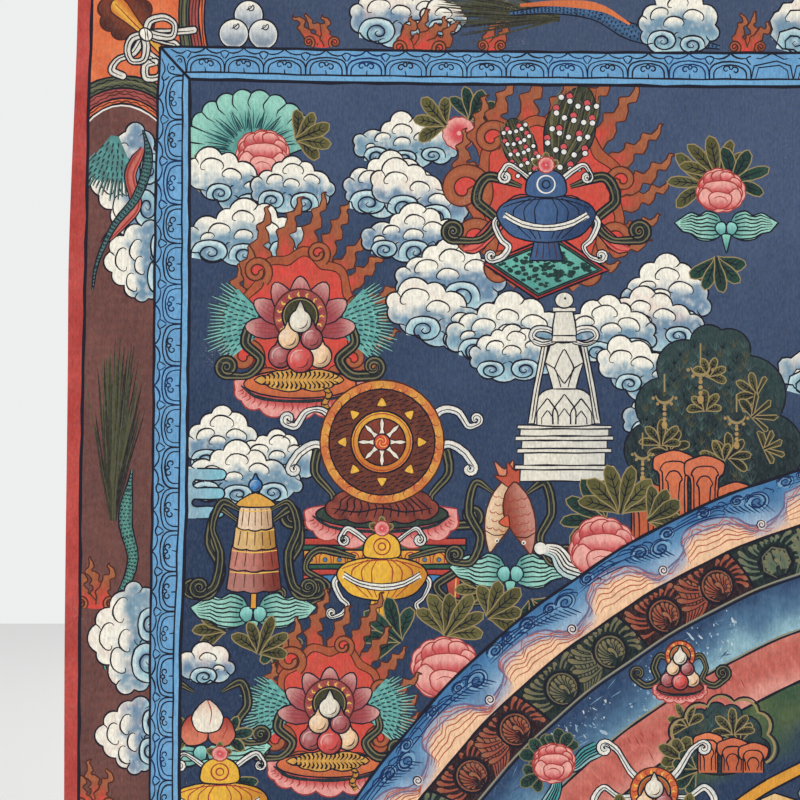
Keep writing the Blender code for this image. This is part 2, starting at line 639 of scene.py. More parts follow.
def cloud(place, kind="wide", seed=1, warm=0.0, deep=1.0):
    """A worn cream cloud, smudged with blue below, with hooked lines on top and flat curls at its foot."""
    rnd = np.random.default_rng(seed)
    rows = np.array(CLOUD_RIMS[kind], float)
    rows[:, :2] += rnd.uniform(-2.2, 2.2, (len(rows), 2))
    rows[:, 2] *= rnd.uniform(0.8, 1.15, len(rows))
    rim = lobes(rows)
    top, foot = rim[:, 1].min(), rim[:, 1].max()
    hooks = [(x + rnd.uniform(-2, 2), y + rnd.uniform(-1.5, 1.5), w * rnd.uniform(0.9, 1.15), g + rnd.uniform(-6, 6)) for x, y, w, g in CLOUD_HOOKS[kind]]
    curls = [(x + rnd.uniform(-2, 2), y + rnd.uniform(-1.5, 1.5), w * rnd.uniform(0.85, 1.1), h) for x, y, w, h in CLOUD_CURLS[kind]]
    blush = warm + (rnd.random() < 0.4) * rnd.uniform(0.2, 0.5)
    haze = mix(c(100, 132, 164), c(114, 152, 174), rnd.uniform(0, 1, 1))[0]

    def tint(q):
        t = (q[:, 1] - top) / (foot - top)
        t = t + 0.07 * ripple(q, 26, seed) + 0.05 * ripple(q, 9, seed + 1)
        out = mix(CREAM, haze, 0.94 * ramp(0.32, 0.60, t) * deep)
        out = mix(out, c(170, 206, 214), ramp(0.66, 0.96, t))
        edge = 1 - ramp(0.8, 6.0, away(q, rim))
        out = mix(out, mix(CREAM, c(200, 224, 228), ramp(0.5, 0.85, t)), 0.6 * edge)
        worn = ripple(q, 5.5, seed + 3) + 0.6 * ripple(q, 14, seed + 4)
        out = mix(out, c(232, 222, 214), 0.55 * ramp(0.55, 1.15, worn) * ramp(0.3, 0.5, t))
        out = mix(out, c(232, 200, 188), np.clip(blush * (0.3 + 0.7 * ripple(q, 18, seed + 7)), 0, 0.55) * ramp(1.0, 0.4, t))
        return out + 0.016 * ripple(q, 4.2, seed + 9)[:, None]

    wash(place, rim, tint, step=3.2)
    for x, y, w, g in sorted(hooks, key=lambda k: k[1])[: 9 if near(place) else 2]:
        hook(place, x, y, w, g, tint)
    for x, y, w, hand in curls:
        curl(place, x, y, w, hand, seed + int(abs(x)))
    brush(place, rim, 1.75, closed=True)
    for i in range(1, len(rows), 3):
        x, y = rows[i, :2]
        inner = np.array([(rim[:, 0].mean() + x) / 2, (rim[:, 1].mean() + y) / 2])
        d = inner - (x, y)
        d *= 7.0 / max(np.hypot(*d), 1e-6)
        n = np.array([-d[1], d[0]]) * 0.5
        brush(place, curve([(x, y), (x + d[0] * 0.6 + n[0] * 0.4, y + d[1] * 0.6 + n[1] * 0.4), (x + d[0] + n[0], y + d[1] + n[1])]), 1.3, taper=(1, 0.3))


def hook(place, x, y, w, turn, under):
    """An arched line over a pale swelling, hooked in at one end."""
    q = place.then(x, y, turn=turn)
    h = w * 0.62
    dome = curve([(-w, h * 0.7), (-w * 1.02, -h * 0.05), (-w * 0.55, -h * 0.86), (w * 0.15, -h), (w * 0.86, -h * 0.52), (w * 1.05, h * 0.3), (w * 0.9, h * 0.9)], step=2.0)

    def tint(p):
        t = (p[:, 1] + h) / (2.0 * h)
        there = p @ np.array([[math.cos(math.radians(turn)), math.sin(math.radians(turn))], [-math.sin(math.radians(turn)), math.cos(math.radians(turn))]]) + (x, y)
        return mix(CREAM, under(there), ramp(0.30, 0.98, t))

    wash(q, dome, tint, step=3.0)
    brush(q, curve([(-w * 0.66, h * 0.62), (-w * 0.98, h * 0.55), (-w * 1.02, -h * 0.05), (-w * 0.55, -h * 0.86), (w * 0.15, -h), (w * 0.86, -h * 0.52), (w * 1.05, h * 0.2), (w * 0.86, h * 0.62)], step=1.8), 1.6, taper=(0.45, 0.45), shake=0.15)


def curl(place, x, y, w, hand, seed=1):
    """A scroll at a cloud's foot: one line that comes over the top and winds in round a pale middle."""
    q = place.then(x, y, size=w / 20.0, mirror=hand < 0)
    rnd = np.random.default_rng(seed)
    tall = rnd.uniform(0.56, 0.70) * 20
    k = 20
    outer = [(-k * 1.02, tall * 0.50), (-k * 1.0, -tall * 0.18), (-k * 0.68, -tall * 0.84), (0, -tall * 1.06), (k * 0.70, -tall * 0.78), (k * 0.96, -tall * 0.02), (k * 0.70, tall * 0.70), (k * 0.12, tall * 0.96), (-k * 0.40, tall * 0.66)]
    inner = [(-k * 0.54, tall * 0.14), (-k * 0.34, -tall * 0.34), (k * 0.06, -tall * 0.46), (k * 0.38, -tall * 0.14), (k * 0.34, tall * 0.28), (k * 0.04, tall * 0.40), (-k * 0.12, tall * 0.16), (k * 0.03, -tall * 0.04)]
    path = curve(outer + inner, step=2.2)
    shell_ = curve(outer, step=2.6)

    def tint(p):
        d = np.hypot(p[:, 0] / 20, p[:, 1] / tall)
        out = mix(c(104, 134, 162), c(158, 198, 208), ramp(0.28, 0.70, d + 0.20 * ripple(p, 12, seed)))
        out = mix(out, c(214, 232, 232), 0.9 * ramp(0.62, 1.0, d - 0.25 * p[:, 1] / tall))
        out = mix(out, c(200, 224, 226), 0.85 * ramp(0.34, 0.12, d))
        return out + 0.02 * ripple(p, 4.5, seed)[:, None]

    wash(q, shell_, tint, step=3.0)
    brush(q, path if near(place) else path[::2], 1.75, taper=(0.5, 0.5), shake=0)
    if near(place):
        brush(q, curve([(k * 0.80, -tall * 0.52), (k * 0.98, -tall * 0.80), (k * 1.16, -tall * 0.86)]), 1.3, taper=(0.8, 0.3), shake=0)


def streaks(place, length=60, rows=3, seed=3):
    """The long tails that a cloud trails below it."""
    rnd = np.random.default_rng(seed)
    y = 0.0
    for i in range(rows):
        n = length * rnd.uniform(0.6, 1.0)
        h = rnd.uniform(5.5, 7.5)
        rim = np.vstack([
            curve([(0, y - h), (n * 0.5, y - h * 0.7), (n * 0.9, y - h * 0.75)]),
            arc(n * 0.93, y, h * 0.75, -90, 90),
            curve([(n * 0.9, y + h * 0.75), (n * 0.45, y + h * 0.9), (0, y + h)]),
        ])
        wash(place, rim, lambda q: mix(c(140, 178, 196), MIST, ramp(0, n, q[:, 0])) + 0.02 * ripple(q, 9, seed)[:, None], step=4.5)
        brush(place, rim, 1.7, taper=(0.6, 0.6))
        y += h * 2.1


# --- flames -----------------------------------------------------------------------------------
def tongue(place, points, wide=14.0, seed=1, core=RED, edge=RUST, waves=None, ink="ink_brown"):
    """One lick of fire along the points: broad and red at its root, it climbs in steps to a brown tip."""
    p = curve(points, step=1.5)
    run = np.concatenate([[0], np.cumsum(np.hypot(*np.diff(p, axis=0).T))])
    total = run[-1]
    rnd = np.random.default_rng(seed)
    t = np.gradient(p, axis=0)
    t /= np.hypot(*t.T)[:, None]
    n = np.stack([-t[:, 1], t[:, 0]], 1)
    u = run / total
    long = max(total / max(1, round(total / (wide * 0.95))), 6.0)
    beat = run / long * 2 * math.pi + rnd.uniform(-0.6, 0.6)
    s = (np.sin(beat) + 0.38 * np.sin(2 * beat + 0.9)) * ramp(0.12, 0.40, u)
    half = wide * 0.5 * np.interp(u, (0, 0.25, 0.5, 0.75, 0.93, 1.0), (1.15, 0.95, 0.70, 0.46, 0.24, 0.03))
    sway = wide * 0.17 * (1 - 0.35 * u) * s
    left, right = p + n * (sway + half)[:, None], p + n * (sway - half)[:, None]
    rim = np.vstack([left, right[::-1]])

    def tint(q):
        d = np.hypot(q[:, 0][:, None] - p[:, 0], q[:, 1][:, None] - p[:, 1])
        k = d.argmin(1)
        uu, v = u[k], d[np.arange(len(q)), k] / np.maximum(half[k], 1.0)
        brown = mix(edge, c(176, 112, 74), ramp(0.3, 1.0, uu) * 0.8 + 0.2 * ripple(q, 7, seed))
        return mix(mix(core, brown, ramp(0.10, 0.55, uu)), brown, ramp(0.35, 0.85, v))

    wash(place, rim, tint, step=4.0)
    brush(place, rim, 1.4, ink, taper=(0.8, 0.8), shake=0)


def volute(place, x, y, r, hand=1, core=RED, edge=RUST, start=125, turns=1.2):
    """A curl of fire: a broad brown band that winds in over red."""
    path = coil(x, y, r * 0.86, start if hand > 0 else 180 - start, turns * hand, 0.30, step=1.6)
    u = np.linspace(0, 1, len(path))
    half = r * (0.25 - 0.09 * u)
    wash(place, path[:int(len(path) / turns)], core)
    band(place, path, half, lambda a, v: mix(edge, c(184, 106, 68), 0.7 * (1 - np.abs(v))), columns=(-1, 0, 1))
    t = np.gradient(path, axis=0)
    t /= np.maximum(np.hypot(*t.T), 1e-9)[:, None]
    n = np.stack([-t[:, 1], t[:, 0]], 1)
    brush(place, np.vstack([path + n * half[:, None], (path - n * half[:, None])[::-1]]), 1.5, "ink_brown", taper=(0.8, 0.8), shake=0)


LICKS = (
    # share of the way round, length, width, lean
    (-0.94, 30, 12, 8),
    (-0.78, 42, 13, 14),
    (-0.63, 52, 13, 18),
    (-0.49, 60, 13, 20),
    (-0.36, 68, 14, 22),
    (-0.23, 74, 14, 24),
    (-0.10, 80, 14, 26),
    (0.03, 84, 14, 30),
    (0.16, 84, 14, 34),
    (0.28, 80, 14, 38),
    (0.40, 74, 13, 43),
    (0.52, 70, 13, 48),
    (0.63, 64, 13, 54),
    (0.74, 58, 12, 60),
    (0.85, 48, 12, 66),
    (0.96, 36, 12, 70),
)
SWIRLS = ((-0.98, 0.34), (-0.78, 0.40), (-0.56, 0.46), (-0.30, 0.34), (0.10, 0.26), (0.50, 0.26), (0.80, 0.30), (0.99, 0.32))


def blaze(place, rx, ry, seed=1, reach=1.0, wind=0.0, span=150, core=RED, edge=RUST, licks=LICKS, swirls=SWIRLS):
    """Fire all round a thing, open at the foot. rx and ry are the half sizes of what burns."""
    rnd = np.random.default_rng(seed)
    for nth, (share, length, wide, lean) in enumerate(sorted(licks, key=lambda k: -k[1] * 0.01 - abs(k[0]))):
        if not near(place) and nth % 3 == 2:
            continue
        a = math.radians(share * span + rnd.uniform(-3, 3))
        out = np.array([math.sin(a), -math.cos(a)])
        foot = np.array([rx * out[0], ry * out[1]]) * 1.10
        g = math.radians(lean + wind + rnd.uniform(-7, 7))
        up = np.array([math.sin(g), -math.cos(g)])
        n = length * reach * rnd.uniform(0.74, 1.14)
        d1 = out * 0.9 + up * 0.3
        d1 /= np.hypot(*d1)
        w = wide * (0.6 + 0.4 * reach)
        tongue(place, [foot - out * 8, foot + d1 * n * 0.26, foot + d1 * n * 0.36 + up * n * 0.26, foot + d1 * n * 0.40 + up * n * 0.52], w * 1.36, int(seed * 31 + share * 100 + 500), core, edge)

    def heart(k, wave):
        pts = []
        for g in np.linspace(-span, span, 64):
            a = math.radians(g)
            m = k + wave * math.sin(g / 6.2 + seed)
            pts.append((rx * m * math.sin(a), -ry * m * math.cos(a)))
        return np.array(pts)

    wash(place, heart(1.20, 0.06), lambda q: mix(edge, c(188, 92, 60), 0.5 + 0.5 * ripple(q, 18, seed)), step=8)
    brush(place, heart(1.20, 0.06), 1.2, "ink_brown", taper=(0.6, 0.6))
    wash(place, heart(1.04, 0.07), lambda q: mix(core, c(206, 84, 66), 0.5 + 0.5 * ripple(q, 22, seed)), step=8)
    brush(place, heart(1.04, 0.07), 1.2, "ink_brown", taper=(0.6, 0.6))
    for share, size in swirls:
        a = math.radians(share * span + rnd.uniform(-3, 3))
        r = size * min(rx, ry) * rnd.uniform(0.9, 1.1)
        out = np.array([math.sin(a), -math.cos(a)])
        q = np.array([rx * 1.12 * out[0], ry * 1.12 * out[1]]) + out * r * 0.35
        volute(place, q[0], q[1], r, -1 if share < 0.2 else 1, core, edge)


def flame_wisp(place, size=1.0, seed=1, lean=10, count=3):
    """A small fire by itself: a few licks from one root, with a curl at each side."""
    p = place.then(size=size)
    rnd = np.random.default_rng(seed)
    wash(p, oval(0, 0, 6 + 4 * count, 9), RED)
    for i in sorted(range(count), key=lambda k: abs(k - (count - 1) / 2)):
        o = i - (count - 1) / 2
        a = o * 14 + lean
        n = rnd.uniform(36, 50) * (1 - 0.14 * abs(o))
        x = o * 9
        up = np.array([math.sin(math.radians(a)), -math.cos(math.radians(a))])
        s = np.array([-up[1], up[0]]) * (1 if i % 2 else -1)
        b = np.array([x, 0.0])
        tongue(p, [b - up * 4, b + up * n * 0.35 + s * 3, b + up * n * 0.7 - s * 3, b + up * n], 15, seed * 7 + i)
    volute(p, -5 - 4 * count, 2, 8, -1)
    volute(p, 4 + 4 * count, 2, 8, 1)


# --- seats, haloes, jewels --------------------------------------------------------------------
def lotus(place, wide=56, tall=15, seat=ORANGE, petals=7, pink=PINK, seat_ink="ink"):
    """A lotus seat seen from a little above: a flat disc in a ring of pink petals."""
    low = []
    for g in np.linspace(0, 180, petals + 1):
        a = math.radians(180 - g)
        low.append((wide * 1.12 * math.cos(a), tall * 0.35 + tall * 1.62 * math.sin(a) ** 0.9))
    rows = [(x, y, 0.24) for x, y in low[::-1]]
    rim = lobes(rows, closed=False)
    rim = np.vstack([rim, curve([(-wide * 1.12, tall * 0.45), (-wide * 1.1, -tall * 0.35), (-wide * 0.6, -tall * 0.7)]), [(wide * 0.6, -tall * 0.7)], curve([(wide * 1.1, -tall * 0.35), (wide * 1.12, tall * 0.45)])])

    def tint(q):
        out = (q[:, 0] / (wide * 1.15)) ** 2 + ((q[:, 1] - tall * 0.3) / (tall * 1.5)) ** 2
        return mix(CRIMSON, PINK_PALE, ramp(0.45, 1.0, out) * 0.9 + 0.08 * ripple(q, 6, 5))

    wash(place, rim, tint, step=3.4)
    brush(place, rim, 1.4, "ink_red", closed=True)
    for i, g in enumerate(np.linspace(4, 176, petals * 3 if near(place) else petals)):
        a = math.radians(180 - g)
        x1, y1 = wide * 1.0 * math.cos(a), tall * 0.25 + tall * 0.95 * math.sin(a)
        x2, y2 = wide * 1.09 * math.cos(a), tall * 0.40 + tall * 1.60 * math.sin(a)
        bend = 2.2 if x1 < 0 else -2.2
        brush(place, curve([(x1, y1), ((x1 + x2) / 2 + bend, (y1 + y2) / 2), (x2 * 0.99, y2 * 0.94)], step=1.5), 1.5 if i % 3 == 0 else 1.0, "ink_red", taper=(0.9, 0.3))
    brush(place, curve([(-wide * 1.02, tall * 0.1), (-wide * 0.7, tall * 0.92), (0, tall * 1.16), (wide * 0.7, tall * 0.86), (wide * 1.0, tall * 0.1)]), tall * 0.22, colour=c(36, 50, 54), taper=(0.5, 0.5), shake=0)
    disc = oval(0, 0, wide * 0.97, tall * 0.95)
    wash(place, disc, lambda q: mix(seat, seat * 0.86, ramp(-tall, tall, q[:, 1])) + 0.012 * ripple(q, 9, 3)[:, None], step=8)
    brush(place, disc, 1.6, seat_ink, closed=True)


def halo(place, r=40, inner=OLIVE, rim=YELLOW, rays=44, edge=ORANGE):
    """A round glory: a dark disc in a ring of wavy rays."""
    wash(place, oval(0, 0, r), lambda q: mix(rim, edge, 0.5 + 0.5 * np.sin(np.arctan2(q[:, 1], q[:, 0]) * 9)), step=5)
    brush(place, oval(0, 0, r), 1.6, "ink_brown", closed=True)
    for i in range(rays):
        a = 2 * math.pi * i / rays
        r0, r1 = r * 0.70, r * (0.97 if i % 2 else 0.90)
        k = np.linspace(0, 1, 9)
        rr = r0 + (r1 - r0) * k
        aa = a + 0.035 * np.sin(k * 9.4)
        brush(place, np.stack([rr * np.cos(aa), rr * np.sin(aa)], 1), 1.1 if i % 2 else 1.5, "ink_red" if i % 2 else "line_gold", taper=(0.9, 0.3))
    wash(place, oval(0, 0, r * 0.68), lambda q: mix(inner, inner * 0.78, ramp(0, r * 0.68, np.hypot(q[:, 0], q[:, 1]))), step=6)
    brush(place, oval(0, 0, r * 0.68), 1.8, "ink", closed=True)
    brush(place, oval(0, 0, r * 0.62), 0.9, "line_tan", closed=True)


def jewel(place, x, y, r, colour, point=True):
    """A round jewel that runs up to a small point, with a bright rim inside its dark one."""
    top = [(x - r * 0.42, y - r * 0.92), (x, y - r * 1.75), (x + r * 0.42, y - r * 0.92)] if point else []
    body = arc(x, y, r, -62, 242)
    rim = np.vstack([body, curve(top, step=1.2)]) if point else oval(x, y, r)

    def tint(q):
        d = np.hypot(q[:, 0] - x + r * 0.25, q[:, 1] - y + r * 0.25) / r
        out = mix(mix(colour, WHITE, 0.40 * np.ones(1))[0], colour, ramp(0.1, 0.62, d))
        return mix(out, colour * 0.80, ramp(0.80, 1.15, d)) + 0.03 * ripple(q, 5, int(abs(x)) + 3)[:, None]

    wash(place, rim, tint, step=2.8)
    brush(place, rim, 1.6, closed=True)
    brush(place, arc(x, y, r * 0.70, 160, 290), 1.5, colour=mix(colour, WHITE, 0.6 * np.ones(1))[0], taper=(0.3, 0.3), shake=0)
    brush(place, arc(x, y, r * 0.62, -10, 110), 1.1, "ink_brown", taper=(0.3, 0.3), shake=0)


def petal_fan(place, r0=14, r1=44, colour=c(164, 78, 84)):
    """A half ring of broad pointed petals that stand up behind something."""
    fine = near(place)
    for g in ((-84, 84, -56, 56, -28, 28, 0) if fine else (0,)):
        q = place.then(turn=g)
        m = (r0 + r1) / 2
        rim = curve([(-5, -r0), (-11, -m), (-7, -r1 + 6), (0, -r1), (7, -r1 + 6), (11, -m), (5, -r0)], step=3.4)
        wash(q, rim, lambda p: mix(mix(colour, c(232, 190, 176), ramp(m, r1, -p[:, 1]) * 0.75), colour * 0.8, ramp(m, r0, -p[:, 1])), 6)
        brush(q, rim, 1.4, shake=0.2)
        if fine:
            for x in (-4, 0, 4):
                brush(q, [(x * 0.5, -r0 - 2), (x * 1.1, -m), (x * 0.9, -r1 + 9)], 1.0, "ink_red", taper=(0.9, 0.2), shake=0)


def jewels(place, size=1.0, ribbon=True):
    """A heap of jewels: three below, two above, one on top."""
    p = place.then(size=size)
    if ribbon:
        scarves(p.then(0, -4), 40, 34, 7)
    for x, y, r, k in ((-17, 0, 10.5, c(172, 88, 90)), (17, 0, 10.5, c(246, 206, 164)), (0, 3, 11.5, c(214, 84, 80)), (-10, -15, 9.5, c(246, 206, 164)), (10, -15, 9.5, c(172, 88, 90)), (0, -30, 10, c(240, 230, 210))):
        jewel(p, x, y, r, k)


def scarf(place, points, wide=6, colour=c(38, 44, 44), line="line_olive", white=False, coils=(None, None)):
    """A flying ribbon that turns over as it goes, with lines along it. coils: radius, turns and hand at either end."""
    p = curve(points, step=1.8)
    for end in (0, 1):
        if coils[end] is None:
            continue
        r, turns, hand = coils[end]
        line_ = p if end else p[::-1]
        e, d = line_[-1], line_[-1] - line_[-3]
        d = d / np.hypot(*d)
        n = np.array([-d[1], d[0]]) * hand
        a0 = math.atan2(-n[1], -n[0])
        k = max(12, int(turns * 2 * math.pi * r * 0.6 / 1.8))
        t = np.linspace(0, 1, k)[1:]
        rr = r * (1 - 0.68 * t)
        a = a0 + hand * t * turns * 2 * math.pi
        centre = e + n * r
        tail = centre + np.stack([rr * np.cos(a), rr * np.sin(a)], 1)
        p = np.vstack([line_, tail])
        if not end:
            p = p[::-1]
    run = np.concatenate([[0], np.cumsum(np.hypot(*np.diff(p, axis=0).T))])
    u = run / run[-1]
    o = place(p[:1])[0]
    lag = (abs(o[0]) * 0.13 + abs(o[1]) * 0.07) % 3.1
    turn = np.sin(run / (wide * 4.6) + lag)
    half = wide / 2 * (0.62 + 0.46 * np.abs(turn) ** 0.7) * (0.45 + 0.55 * ramp(0, 0.12, u) * (1 - ramp(0.90, 1, u)))
    k = WHITE if white else colour
    dark = c(206, 216, 216) if white else colour * 0.72
    flip = np.sign(turn)
    band(place, p, half, lambda a, v: mix(k, dark, np.clip(v * np.interp(a, u, flip), 0, 1)), columns=(-1, 0, 1))
    t = np.gradient(p, axis=0)
    t /= np.maximum(np.hypot(*t.T), 1e-9)[:, None]
    n = np.stack([-t[:, 1], t[:, 0]], 1)
    if near(place):
        for g in ((0.12,) if white else (-0.52, 0.52)):
            brush(place, p + n * (half * g)[:, None], 0.95 if white else wide * 0.16, "ink" if white else line, taper=(0.4, 0.4), shake=0)
    brush(place, p + n * half[:, None], 1.4, "ink", taper=(0.8, 0.8), shake=0)
    brush(place, p - n * half[:, None], 1.4, "ink", taper=(0.8, 0.8), shake=0)


def scarves(place, reach=40, drop=40, wide=8, white=False):
    """A pair of ribbons that fall to both sides of a thing and curl at their ends."""
    for m in (False, True):
        scarf(place.then(mirror=m), [(reach * 0.30, -drop * 0.45), (reach * 0.72, -drop * 0.62), (reach * 0.86, -drop * 0.2), (reach * 0.62, drop * 0.16), (reach * 0.80, drop * 0.5), (reach * 1.15, drop * 0.52)], wide, white=white, coils=(None, (wide * 0.95, 1.35, -1)))


# --- flowers and leaves -----------------------------------------------------------------------
def leaf(place, x, y, long=20, wide=8, turn=0.0, colour=OLIVE, line="line_tan", veins=4, bend=0.2, pale=None):
    p = place.then(x, y, turn=turn)
    k = np.linspace(0, 1, 12)
    mid = np.stack([k * long, -bend * long * np.sin(k * math.pi * 0.9) * 0.5], 1)
    half = wide * 0.5 * np.sin(np.clip(k * 1.02, 0, 1) ** 0.8 * math.pi) ** 0.8
    n = np.array([0, 1.0])
    up, low = mid - n * half[:, None], mid + n * half[:, None]
    rim = np.vstack([up, low[::-1][1:-1]])
    pale = mix(colour, YELLOW, 0.16 * np.ones(1))[0] if pale is None else pale
    wash(p, rim, lambda q: mix(colour, pale, ramp(-wide * 0.3, wide * 0.4, q[:, 1]) * 0.8), step=7)
    for i in range(1, veins + 1):
        s = int(len(k) * (0.12 + 0.68 * i / (veins + 1)))
        for side in (up, low):
            e = min(len(k) - 2, s + 2)
            brush(p, np.array([mid[s], mid[s] * 0.35 + side[e] * 0.65, side[e] * 0.93 + mid[e] * 0.07]), 0.9, "ink", taper=(0.9, 0.3), shake=0)
    brush(p, mid, 1.2, "ink", taper=(1, 0.3), shake=0)
    brush(p, rim, 1.3, line, closed=True)


def spray(place, count=5, long=22, wide=8, spread=120, colour=OLIVE, line="line_tan", seed=1):
    """Leaves that fan out from one point, the middle one on top."""
    rnd = np.random.default_rng(seed)
    order = sorted(range(count), key=lambda i: -abs(i - (count - 1) / 2))
    for i in order:
        g = -90 + spread * ((i / max(count - 1, 1)) - 0.5)
        n = long * (1 - 0.18 * abs(i - (count - 1) / 2) / max((count - 1) / 2, 1)) * rnd.uniform(0.9, 1.1)
        leaf(place, 0, 0, n, wide * rnd.uniform(0.88, 1.1), g, colour, line, 4, 0.25 if i % 2 else -0.25)


def frill(place, x, y, r, turn=0.0, colour=TEAL, line="ink_blue", folds=5):
    """A lotus leaf with a curling edge, seen from the side."""
    p = place.then(x, y, turn=turn)
    rows = [(-r, 0, 0.34), (-r * 0.78, -r * 0.42, 0.36), (-r * 0.3, -r * 0.62, 0.34), (r * 0.25, -r * 0.60, 0.36), (r * 0.76, -r * 0.40, 0.34), (r, 0, 0.25), (r * 0.45, r * 0.34, 0.14), (-r * 0.45, r * 0.34, 0.25)]
    rim = lobes(rows)
    dark = mix(colour, TEAL_DARK, 0.75 * np.ones(1))[0]
    wash(p, rim, lambda q: mix(mix(colour, WHITE, 0.25 * np.ones(1))[0], dark, ramp(-r * 0.7, r * 0.42, q[:, 1]) * 0.8 + 0.1 * ripple(q, 6, 2)), step=4)
    for i in range(folds * 2 + 1):
        a = math.radians(-168 + 156 * i / (folds * 2))
        e = np.array([math.cos(a) * r * 0.9, math.sin(a) * r * 0.62])
        s = np.array([e[0] * 0.22, r * 0.2 + e[1] * 0.12])
        m = (s + e) / 2 + np.array([(-e[0]) * 0.06, -r * 0.06])
        brush(p, curve([s, m, e * 0.94], step=1.6), 1.1, line, taper=(0.8, 0.25))
    brush(p, rim, 1.5, "ink", closed=True)


def peony(place, r=24, seed=1, pale=c(244, 176, 164), deep=c(198, 72, 76), line="ink_red"):
    """A full pink flower: a lobed ruff of petals behind, and a bowl of broad petals in front."""
    rnd = np.random.default_rng(seed)
    place = place.then(size=r / 30.0)
    rows = []
    for g in np.arange(0, 360, 27.7):
        a = math.radians(g)
        k = rnd.uniform(0.95, 1.05)
        rows.append((30 * k * math.cos(a), 27 * k * math.sin(a), 0.17))
    rim = lobes(rows)

    def ruff(q):
        d = np.hypot(q[:, 0], q[:, 1] * 1.1)
        a = np.arctan2(q[:, 1], q[:, 0])
        return mix(deep, pale, ramp(13, 31, d + 3.2 * np.cos(a * 7 + seed)) + 0.08 * ripple(q, 8, seed))

    wash(place, rim, ruff, step=3.4)
    brush(place, rim, 1.2, line, closed=True)
    brush(place, rim * 0.93, 0.9, "line_pink", closed=True)

    def petal(points, top, foot, shade=0.9):
        edge = curve(points, closed=True, step=2.4)
        lo, hi = edge[:, 1].min(), edge[:, 1].max()
        wash(place, edge, lambda s: mix(pale, deep, shade * ramp(top, foot, (s[:, 1] - lo) / (hi - lo) + 0.07 * np.sin(s[:, 0] * 0.9)) + 0.06 * ripple(s, 6, seed)), step=3.2)
        brush(place, edge, 1.25, line, closed=True)

    # ruff petals that show behind the bowl
    for g, w in ((-160, 12), (-128, 13), (-96, 13), (-62, 13), (-26, 12), (8, 11), (172, 11)):
        a = math.radians(g + rnd.uniform(-5, 5))
        x, y = 18 * math.cos(a), 16 * math.sin(a)
        t = np.array([-math.sin(a), math.cos(a)])
        o = np.array([math.cos(a), math.sin(a)])
        b = np.array([x, y])
        petal([b - t * w * 0.8 + o * 2, b - t * w * 0.5 + o * 8.5, b + o * 10.5, b + t * w * 0.5 + o * 8.5, b + t * w * 0.8 + o * 2, b - o * 7], 0.12, 0.66)
    petal([(-22, 2), (-19, -9), (-6, -13), (9, -13), (20, -8), (22, 2), (10, 6), (-10, 6)], 0.22, 0.80)
    petal([(-25, 1), (-27, 11), (-18, 21), (-5, 24), (-2, 12), (-10, 2), (-18, -4)], 0.42, 1.05)
    petal([(25, 1), (26, 11), (18, 21), (5, 24), (2, 12), (11, 3), (19, -3)], 0.42, 1.05)
    petal([(-14, 6), (-6, 1), (5, 2), (14, 6), (12, 17), (0, 23), (-12, 17)], 0.36, 1.0)
    brush(place, curve([(-9, 10), (-2, 7), (6, 9), (9, 14)]), 1.0, line, taper=(0.4, 0.4))


def blossom(place, r=12, seed=1):
    """A round open flower with a dark eye."""
    rim = lobes([(r * math.cos(a), r * math.sin(a), 0.16) for a in np.radians(np.arange(0, 360, 30))])
    wash(place, rim, lambda q: mix(c(214, 76, 84), PINK_PALE, ramp(0.25 * r, 0.95 * r, np.hypot(q[:, 0], q[:, 1]) + 0.9 * np.sin(np.arctan2(q[:, 1], q[:, 0]) * 14))), step=2.2)
    brush(place, rim, 1.3, "ink_red", closed=True)
    wash(place, oval(0, 0, r * 0.14, step=0.8), PINK_PALE)


def lobe(place, x, y, long, wide, turn, colour, line="line_tan", bend=0.0):
    """One blunt lobe of a leaf, with a tan edge and a dark vein."""
    p = place.then(x, y, turn=turn)
    k = np.linspace(0, 1, 13)
    mid = np.stack([k * long, -bend * long * k * k * 0.6], 1)
    half = wide * 0.5 * (0.30 + 0.70 * ramp(0.0, 0.62, k)) * np.sqrt(np.clip(1 - ((k - 0.66) / 0.345).clip(0) ** 2, 0, 1))
    up, low = mid - np.array([0, 1.0]) * half[:, None], mid + np.array([0, 1.0]) * half[:, None]
    rim = np.vstack([up, low[::-1][1:]])
    wash(p, rim, colour)
    brush(p, mid[: int(len(mid) * 0.85)], 1.5, "ink", taper=(1, 0.3), shake=0)
    for s in (0.45, 0.62, 0.78):
        i = int(s * 12)
        for side in (up, low):
            brush(p, [mid[i - 1], (mid[i] + side[i]) / 2, mid[i] * 0.25 + side[min(i + 1, 12)] * 0.75], 0.9, "ink", taper=(0.9, 0.3), shake=0)
    brush(p, rim, 1.15, line, taper=(0.8, 0.8), shake=0)


def palm(place, count=5, long=30, wide=11, spread=130, colour=OLIVE, line="line_tan", seed=1, size=1.0):
    """A leaf of blunt lobes that fan out from its stalk, the middle one on top."""
    p = place.then(size=size)
    rnd = np.random.default_rng(seed)
    order = sorted(range(count), key=lambda i: -abs(i - (count - 1) / 2))
    for i in order:
        o = (i / max(count - 1, 1)) - 0.5
        n = long * (1 - 0.35 * abs(o)) * rnd.uniform(0.9, 1.08)
        lobe(p, 0, 0, n, wide * rnd.uniform(0.9, 1.1), -90 + spread * o, mix(colour, colour * 0.8, rnd.uniform(0, 1, 1))[0], line, -0.5 * o)


